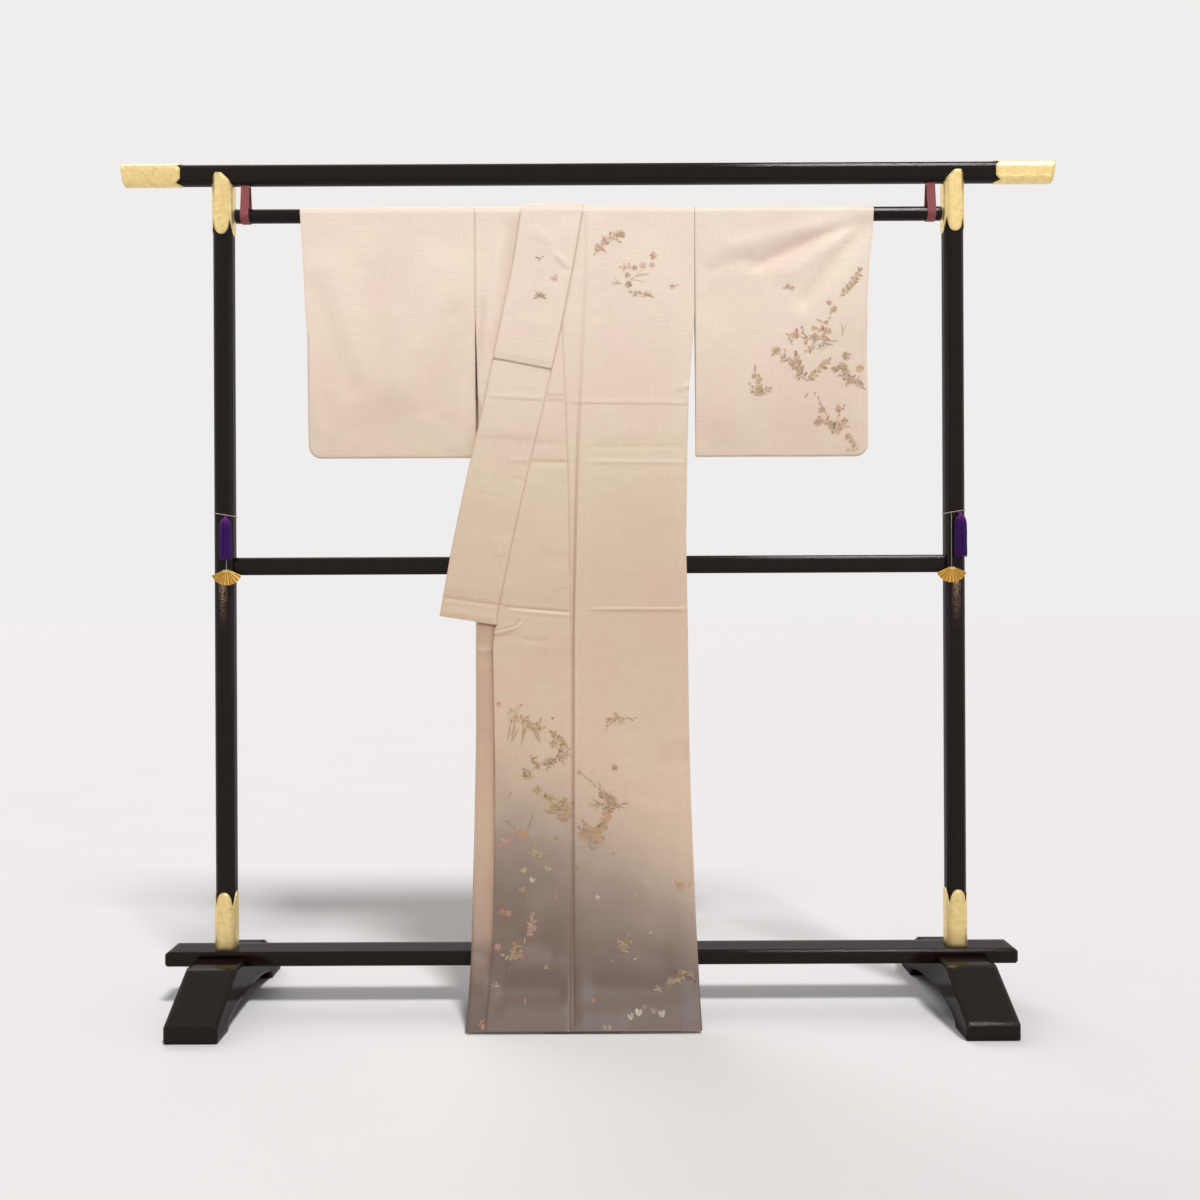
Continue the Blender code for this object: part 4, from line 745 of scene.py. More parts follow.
def right_front_shading(x, z):
    """Painted shade on the right front: in its creases, beside the collar and okumi that lie on it, below the
    collar's end and over its lower part.
    """
    collar = along(LEFT_FRONT, COLLAR_EDGE, z) - x
    okumi = along(LEFT_FRONT, OKUMI_EDGE, z) - x
    upper, lower = ease((z - 0.76) / 0.01), ease((0.745 - z) / 0.01)
    near_neck = ease((z - 1.33) / 0.07) * ease((1.535 - z) / 0.04)
    beside = line_of_shade(collar, 0.0020, 0.26) + line_of_shade(collar, 0.020, 0.03 + 0.06 * near_neck)
    below = line_of_shade(okumi, 0.0022, 0.55) + line_of_shade(okumi, 0.0090, 0.14)
    # Painted shadow below the collar's end, and painted shade over the right front below 0.9 m, where it lies
    # under the left front.
    under_end = 0.45 * lower * np.exp(-(np.maximum(0.740 - z, 0.0) / 0.012))
    side = line_of_shade(x - side_edge(RIGHT_SIDE, z), 0.0012, 0.06 + 0.10 * ease((z - 1.10) / 0.05))
    strip = 0.22 * ease((0.90 - z) / 0.2)
    return front_shading(x, z) + beside * upper + below * lower + under_end + side + strip


def left_front_out(x, z):
    """Stand-off of the left body's front."""
    return left_layer(x, z) + front_lift(x, z) + seam_dip(x - front_edge(LEFT_FRONT, z, 1))


def left_okumi_out(x, z):
    """Stand-off of the left okumi: drawn in at its seam, with a curled ridge at its upper free corner."""
    curl = creased(OKUMI_CURL, x, z)
    return LAYER + front_lift(x, z) + seam_dip(along(LEFT_FRONT, OKUMI_SEAM, z) - x) + curl


# Bands of height with sharp creases, where the rows lie closer together.
FINE_BANDS = ((0.702, 0.774), (1.042, 1.056), (1.152, 1.172))
# Places of the columns across the left front: close together at both edges and about the long fold.
FRONT_COLUMNS = np.concatenate([
    [0.0, 0.006, 0.014, 0.026], np.linspace(0.045, 0.25, 14), np.linspace(0.25, 0.97, 40)[1:],
    [0.982, 0.991, 1.0],
])[None, :]
FOLD_SHARE = 0.25           # the long fold lies just inside this share of the columns
PANEL_COLUMNS = np.concatenate([
    [0.0, 0.010, 0.025, 0.045], np.linspace(0.075, 0.50, 12)[:-1], np.linspace(0.50, 0.97, 26), [0.985, 1.0],
])[None, :]


def body_rows(step, hem):
    """Heights from a hem up to the rod, closer together where the skirt flares and at sharp creases."""
    rows = np.concatenate([
        [hem, hem + 0.0026], spread(hem + 0.006, 0.12, 0.0045)[:-1], spread(0.12, ROD_AXIS, step),
    ])
    for low, high in FINE_BANDS:
        rows = np.concatenate([rows[rows < low - 0.0009], np.arange(low, high, 0.0018), rows[rows > high]])
    return rows


def crest_angles():
    """Angles round the rod, from the front to the rear."""
    return np.linspace(math.pi / 2, -math.pi / 2, 25)[:, None]


def side_turn(column, front, back, front_x, rows):
    """The side seam below the underarm, from the front patch's edge to the back patch's."""
    outward = np.array([1.0 if column == LEFT_SIDE else -1.0, 0.0, 0.0])
    bulge = TURN * ease((UNDERARM - rows) / TURN_START)[:, None]
    return turn_patch(front, back, outward, bulge, (front_x, hem_shade(SHADE_BACK, front_x, rows)))


def make_left_body(cloth, materials):
    """Left front and back in one length over the shoulder, with the outer half of the back's pleat."""
    inner = np.minimum(FRONT_COLUMNS / FOLD_SHARE, 1.0)
    outer = np.maximum((FRONT_COLUMNS - FOLD_SHARE) / (1 - FOLD_SHARE), 0.0)

    def columns(z, back):
        start = (1 - back) * front_edge(LEFT_FRONT, z, 1) + back * (NECK + SEAM)
        side = side_edge(LEFT_SIDE, z)
        by_fold = np.maximum(smooth_along(LONG_FOLD, 1, z) + 0.006, start + 0.004)
        middle = (1 - back) * by_fold + back * (start + FOLD_SHARE * (side - start))
        return start + (middle - start) * inner + (side - middle) * outer

    z = body_rows(0.0062, HEM)[:, None]
    x = columns(z, 0.0)
    front = hang(x, z, left_front_out(x, z))
    red = (z[:-1] < HEM + 0.002) & (x[:-1, :-1] > 0.012)
    patches = [patch(front, x, z, hem_shade(SHADE_OVER, x, z), red, left_front_shading(x, z))]

    angle = crest_angles()
    back = turned_back(angle)
    x_top = columns(crest_height(angle), back)
    patches.append(patch(
        over_rod(x_top, angle, left_layer(x_top, crest_height(angle), back)),
        x_top, crest_run(angle),
    ))

    z_back = np.maximum(z, BACK_HEM + (z - HEM) * 0.6)
    z_back[-1] = ROD_AXIS
    x_back = columns(z_back, 1.0)
    out = left_layer(x_back, z_back, 1.0) + back_lift(x_back, z_back)
    rear = hang(x_back, z_back, out, rear=True)
    # The back takes painted shade in its creases.
    patches.append(patch(
        rear, x_back, 2 * ROD_AXIS - z_back, hem_shade(SHADE_BACK, x_back, z_back),
        painted_shading=crease_shading(BACK_CREASES, x_back, z_back),
    ))

    below = z[:, 0] <= UNDERARM
    rows = z[below, 0]
    patches.append(side_turn(LEFT_SIDE, front[below, -1], rear[below, -1], x[below, -1], rows))

    below = z_back[:, 0] <= BACK_NECK
    z_pleat = z_back[below]
    x_pleat = NECK + SEAM + (CENTRE_BACK - NECK - SEAM) * np.linspace(0.0, 1.0, 20)[None, :]
    dip = -0.0005 * np.exp(-(((x_pleat - CENTRE_BACK) / 0.0022) ** 2))
    pleat = hang(x_pleat, z_pleat, 2 * LAYER + back_lift(x_pleat, z_pleat) + dip, rear=True)
    # The pleat takes painted shade in the back's creases and along its fold at the centre back.
    patches.append(patch(
        pleat, x_pleat, 2 * ROD_AXIS - z_pleat, hem_shade(SHADE_BACK, x_pleat, z_pleat),
        painted_shading=crease_shading(BACK_CREASES, x_pleat, z_pleat) + line_of_shade(x_pleat - CENTRE_BACK, 0.0016, 0.7),
    ))
    return sew("silk_left_body", patches, materials, cloth.wall, ["left_body"])


def make_right_body(cloth, materials):
    """Right front and back in one length, with the inner half of the pleat folded under."""
    across = np.linspace(0.0, 1.0, 50)[None, :]

    def columns(z, inner):
        side = side_edge(RIGHT_SIDE, z)
        return side + (inner - side) * across

    z = body_rows(0.0060, HEM)[:, None]
    x = columns(z, front_edge(RIGHT_FRONT, z, -1))
    front = hang(x, z, front_lift(x, z))
    patches = [patch(front, x, z, hem_shade(SHADE_UNDER, x, z), painted_shading=right_front_shading(x, z))]

    angle = crest_angles()
    back = turned_back(angle)
    x_top = columns(crest_height(angle), NECK - SEAM - back * (NECK - PLEAT_FOLD))
    x_top[0] = x[-1]
    patches.append(patch(over_rod(x_top, angle, 0.0), x_top, crest_run(angle)))

    z_back = np.maximum(z, BACK_HEM + (z - HEM) * 0.6)
    z_back[-1] = ROD_AXIS
    x_back = columns(z_back, PLEAT_FOLD)
    rear = hang(x_back, z_back, back_lift(x_back, z_back), rear=True)
    x_top[-1] = x_back[-1]
    patches[-1]["points"][-1] = rear[-1]
    # The back takes painted shade in its creases and along the centre back.
    patches.append(patch(
        rear, x_back, 2 * ROD_AXIS - z_back, hem_shade(SHADE_BACK, x_back, z_back),
        painted_shading=crease_shading(BACK_CREASES, x_back, z_back) + line_of_shade(x_back - CENTRE_BACK, 0.0016, 0.7),
    ))

    below = z[:, 0] <= UNDERARM
    patches.append(side_turn(RIGHT_SIDE, front[below, 0], rear[below, 0], x[below, 0], z[below, 0]))

    below = z_back[:, 0] <= BACK_NECK
    z_pleat = z_back[below]
    x_pleat = PLEAT_FOLD + (CENTRE_BACK - PLEAT_FOLD) * np.linspace(0.0, 1.0, 14)[None, :]
    pleat = hang(x_pleat, z_pleat, LAYER + back_lift(x_pleat, z_pleat), rear=True)
    shade = hem_shade(SHADE_BACK, x_pleat, z_pleat)
    patches.append(patch(pleat, x_pleat, 2 * ROD_AXIS - z_pleat, shade))
    inner_edge = rear[below, -1]
    patches.append(turn_patch(
        inner_edge, pleat[:, 0], np.array([1.0, 0.0, 0.0]), LAYER / 2, (PLEAT_FOLD, shade[:, 0])
    ))
    return sew("silk_right_body", patches, materials, cloth.wall, ["right_body"])


def make_okumi(name, node, table, sign, out_at, shading_at, shades, steps, cloth, materials):
    """The narrow front panel between the front's seam and the open edge, from its tip to the hem."""
    z = body_rows(steps[1], HEM)
    tip = OKUMI_TIP if sign > 0 else 1.285
    z = np.append(z[z < tip - 0.002], tip)[:, None]
    seam = along(table, OKUMI_SEAM, z) - sign * SEAM
    by_collar = along(table, COLLAR_SEAM, z) + sign * SEAM
    open_edge = along(table, OKUMI_EDGE, z)
    free = by_collar + (open_edge - by_collar) * ease((COLLAR_END[1] - z) / 0.008)
    free = np.minimum(free, seam - 0.0002) if sign > 0 else np.maximum(free, seam + 0.0002)
    x = seam + (free - seam) * (PANEL_COLUMNS if sign > 0 else np.linspace(0.0, 1.0, steps[0])[None, :])
    points = hang(x, z, out_at(x, z))
    red = (z[:-1] < HEM + 0.002) & (x[:-1, :-1] > -0.060) & (sign > 0)
    patches = [patch(points, x, z, hem_shade(shades, x, z), red, shading_at(x, z))]
    return sew(name, patches, materials, cloth.wall, [node])


# ---------------------------------------------------------------- collars
COLLAR_PUFF = 0.0009        # how far a collar's two layers stand up between its edges
COLLAR_FOLD = 0.0008        # radius of the fold at its free edge
COLLAR_UNDER = 0.009        # how much of the layer folded under is built
OVER_COLLAR_BASE = 0.0018   # the over collar lies on the collar's two layers

# Creases of the over collar alone.
OVER_COLLAR_CREASES = (
    (-0.066, 1.4560, -0.028, 1.4270, 0.0055, 0.0009),
    (-0.062, 1.4420, -0.034, 1.4180, 0.0045, -0.0007),
    (-0.100, 1.5000, -0.060, 1.4700, 0.0100, 0.0010),
    (-0.135, 1.3300, -0.085, 1.3150, 0.0120, 0.0008),
)


def pressed(height):
    """How far a collar's fullness shows: pressed flat over the rod, full 50 mm below it."""
    return 1 - 0.62 * (1 - ease((ROD_AXIS - height) / 0.05))


def collar_height(u, v, ends):
    """Height on a collar: from the rod at v = 0 down to its slanted end at v = 1."""
    end = ends[0] + (ends[1] - ends[0]) * u
    return ROD_AXIS + (end - ROD_AXIS) * v


def collar_profile(count):
    """Cross-section of a collar as (u, out, lift): flat under, round its free edge, over to its seam.

    u runs from the free edge to the seam, out is metres past the free edge, lift is above the sheet.
    """
    under = np.linspace(COLLAR_UNDER, 0.0, 4)[:-1]
    turn = np.linspace(-math.pi / 2, math.pi / 2, 7)
    over = np.concatenate([np.linspace(0.0, 0.955, count - 4), [0.970, 0.982, 0.992, 1.0]])[1:]
    u = np.concatenate([np.zeros(3), np.zeros(7), over])
    inward = np.concatenate([under + COLLAR_FOLD, COLLAR_FOLD * (1 - np.cos(turn)), np.zeros(count - 1)])
    lift = np.concatenate([
        np.zeros(3), COLLAR_FOLD * (1 + np.sin(turn)), np.full(count - 1, 2 * COLLAR_FOLD),
    ])
    crown = COLLAR_PUFF * (1 - np.abs(2 * u - 1) ** 5) * (u > 0)
    sink = (2 * COLLAR_FOLD + 0.0004) * ease((u - 0.972) / 0.028)
    return u[None, :], inward[None, :], (lift + crown - sink)[None, :]


def no_shade(x, z):
    """No shade from what lies above."""
    return 0.0 * x


def under_over_collar(x, z):
    """Shade on the collar just below the over collar's slanted end."""
    free, seam = along(LEFT_FRONT, COLLAR_EDGE, z), along(LEFT_FRONT, COLLAR_SEAM, z)
    end = OVER_COLLAR_END[0] + (OVER_COLLAR_END[1] - OVER_COLLAR_END[0]) * (x - free) / (seam - free)
    below = np.maximum(end - z, 0.0)
    near = line_of_shade(below, 0.0022, 0.04) * (z < end + 0.004)
    return near + line_of_shade(below, 0.012, 0.04)


def make_collar(name, node, table, layers, sign, ends, base, creases, counts, shade_at, cloth, materials):
    """A folded collar strip: up the rear of the neck, over the rod and down the front to its end."""
    u, inward, lift = collar_profile(counts[0])
    front_layer, back_layer = layers

    def columns(z):
        free, seam = along(table, COLLAR_EDGE, z), along(table, COLLAR_SEAM, z) - sign * SEAM
        return free + sign * inward + (seam - free - sign * inward) * u

    v = np.linspace(1.0, 0.0, counts[1])[:, None]
    z = collar_height(u, v, ends)
    x = columns(z)
    own = creased(creases, x, z)
    near_end = ease((1 - v) * (ROD_AXIS - ends[0]) / 0.012)
    full = pressed(z) * (0.35 + 0.65 * near_end)
    front = hang(x, z, front_layer + base * pressed(z) + lift * full + front_lift(x, z) + own)
    seam_x = along(table, COLLAR_SEAM, z)
    # Painted shade along the collar's seam, its free edge and its lower end, under what lies on it and in its
    # creases.
    dust_and_shade = line_of_shade(x - seam_x, 0.0014, 0.26)
    dust_and_shade = dust_and_shade + line_of_shade(x - along(table, COLLAR_EDGE, z), 0.0011, 0.10)
    dust_and_shade = dust_and_shade + line_of_shade((1 - v) * (ROD_AXIS - ends[0]), 0.0013, 0.12)
    dust_and_shade = dust_and_shade + shade_at(x, z) + crease_shading(creases, x, z)
    patches = [patch(front, x, z, painted_shading=dust_and_shade + front_shading(x, z))]

    angle = crest_angles()
    back = turned_back(angle)
    layer = front_layer + back * (back_layer - front_layer)
    x_top = columns(crest_height(angle))
    flat_out = (base + lift) * pressed(ROD_AXIS)
    patches.append(patch(over_rod(x_top, angle, layer + flat_out), x_top, crest_height(angle)))

    drop = np.linspace(0.0, 0.038, 12)[:, None]
    edge = columns(np.full((1, 1), ROD_AXIS))
    centre = 0.62 * edge[0, 0] + 0.38 * edge[0, -1]
    narrowing = 1 - 0.62 * ease(drop / 0.038) ** 1.3
    x_rear = centre + (edge - centre) * narrowing
    rear = hang(x_rear, ROD_AXIS - drop, back_layer + flat_out, rear=True)
    patches.append(patch(rear, x_rear, 2 * ROD_AXIS + drop))
    patches[1]["points"][-1] = rear[0]
    return sew(name, patches, materials, cloth.wall, [node])


# ---------------------------------------------------------------- sleeves
def sleeve_sway(folds, out, down):
    """How far the soft folds move a sleeve's front and rear forward together."""
    fade = ease(down / SLEEVE_FADE_TOP) * (0.25 + 0.75 * ease(out / SLEEVE_FADE_INNER))
    return creased(folds, out, down) * fade


def sleeve_front(word, x, z, extra=0.0):
    """Points on a sleeve's front sheet."""
    inner, folds = SLEEVES[word][0], SLEEVES[word][2]
    sway = sleeve_sway(folds, np.abs(x - inner), ROD_AXIS - z)
    return hang(x, z, extra, fall=SLEEVE_FALL, sway=sway)


def sleeve_shading(word, x, z):
    """Painted shade on a sleeve: in its folds, along its inner edge, at its cuff and beside its lower seam;
    painted highlights on its fold ridges.
    """
    inner, column, folds = SLEEVES[word]
    out = np.abs(x - inner)
    cuff = np.abs(along(CUFFS, column, z)) - np.abs(x)
    edges = line_of_shade(out, 0.0013, 0.13) + line_of_shade(cuff, 0.0014, 0.10)
    edges = edges + line_of_shade(z - SLEEVE_HEM, 0.005, 0.07)
    return edges + sum(
        (min(max(-lift * 9, -0.025), 0.05) * bell for _, lift, bell in bells(folds, out, ROD_AXIS - z)),
        0.0 * x,
    )


def make_sleeve(word, cloth, materials):
    """A sleeve: one cloth folded over the rod, closed along its bottom and below the cuff opening."""
    inner, column, folds = SLEEVES[word]
    sign = 1.0 if inner > 0 else -1.0
    across = np.linspace(0.0, 1.0, 76)[None, :]
    bottom = SLEEVE_HEM + TURN
    arc = bottom + SLEEVE_CORNER * (1 - np.cos(np.linspace(0.0, math.pi / 2, 10)))
    z = np.concatenate([arc[:-1], spread(arc[-1], ROD_AXIS, 0.0055)])[:, None]
    rise = np.clip((z - bottom) / SLEEVE_CORNER, 0.0, 1.0)
    missing = SLEEVE_CORNER * (1 - np.sqrt(1 - (1 - rise) ** 2))
    drawn_in = TURN * ease((CUFF - z) / TURN_START) + missing
    outer = along(CUFFS, column, z) - sign * drawn_in
    x = inner + (outer - inner) * across
    front = sleeve_front(word, x, z)
    # The rear of the right sleeve shows past its open inner edge.
    inner_rear = inner - sign * SLEEVE_REAR_SHOWS[word] * ease((1.31 - z) / 0.06)
    x_rear = inner_rear + (outer - inner_rear) * across
    rear = hang(x_rear, z, 0.0, True, SLEEVE_FALL, sleeve_sway(folds, np.abs(x_rear - inner), ROD_AXIS - z))
    angle = crest_angles()
    x_top = inner + (along(CUFFS, column, crest_height(angle)) - inner) * across
    dust_and_shade = sleeve_shading(word, x, z)
    # The rear sheet takes more painted shade where it shows past the inner edge.
    patches = [
        patch(front, x, z, painted_shading=dust_and_shade),
        patch(over_rod(x_top, angle, 0.0), x_top, crest_run(angle), painted_shading=dust_and_shade[-1]),
        patch(rear, x_rear, 2 * ROD_AXIS - z, painted_shading=dust_and_shade + 0.25 * (np.abs(x_rear) < abs(inner) - 0.0002)),
    ]
    side = np.nonzero(z[:, 0] <= CUFF)[0][::-1]
    lean = np.arcsin(rise[side, 0])
    lean[rise[side, 0] >= 1] = math.pi / 2
    floor_out = np.tile([0.0, 0.0, -1.0], (x.shape[1] - 1, 1))
    outward = np.concatenate([
        np.stack([sign * np.sin(lean), 0 * lean, -np.cos(lean)], axis=-1), floor_out,
    ])
    edge_front = np.concatenate([front[side, -1], front[0, -2::-1]])
    edge_rear = np.concatenate([rear[side, -1], rear[0, -2::-1]])
    opening = np.concatenate([ease((CUFF - z[side, 0]) / TURN_START), np.ones(x.shape[1] - 1)])
    flat_x = np.concatenate([x[side, -1], x[0, -2::-1]])
    patches.append(turn_patch(edge_front, edge_rear, outward, TURN * opening[:, None], (flat_x, 0.0)))
    return sew("silk_" + word + "_sleeve", patches, materials, cloth.wall, [word + "_sleeve"])


# ---------------------------------------------------------------- dyed sprigs
# Dye colours of the sprigs, by name.
DYES = {
    "rose": "BF8D7E", "rust": "BE845C", "blush": "D09F8B", "olive": "A88052", "sage": "AC8A60",
    "bark": "8E6A4A", "cream": "DED3B8", "straw": "C2B284", "slate": "AA8E74", "ochre": "BE9860",
}
DYE_NAMES = list(DYES)

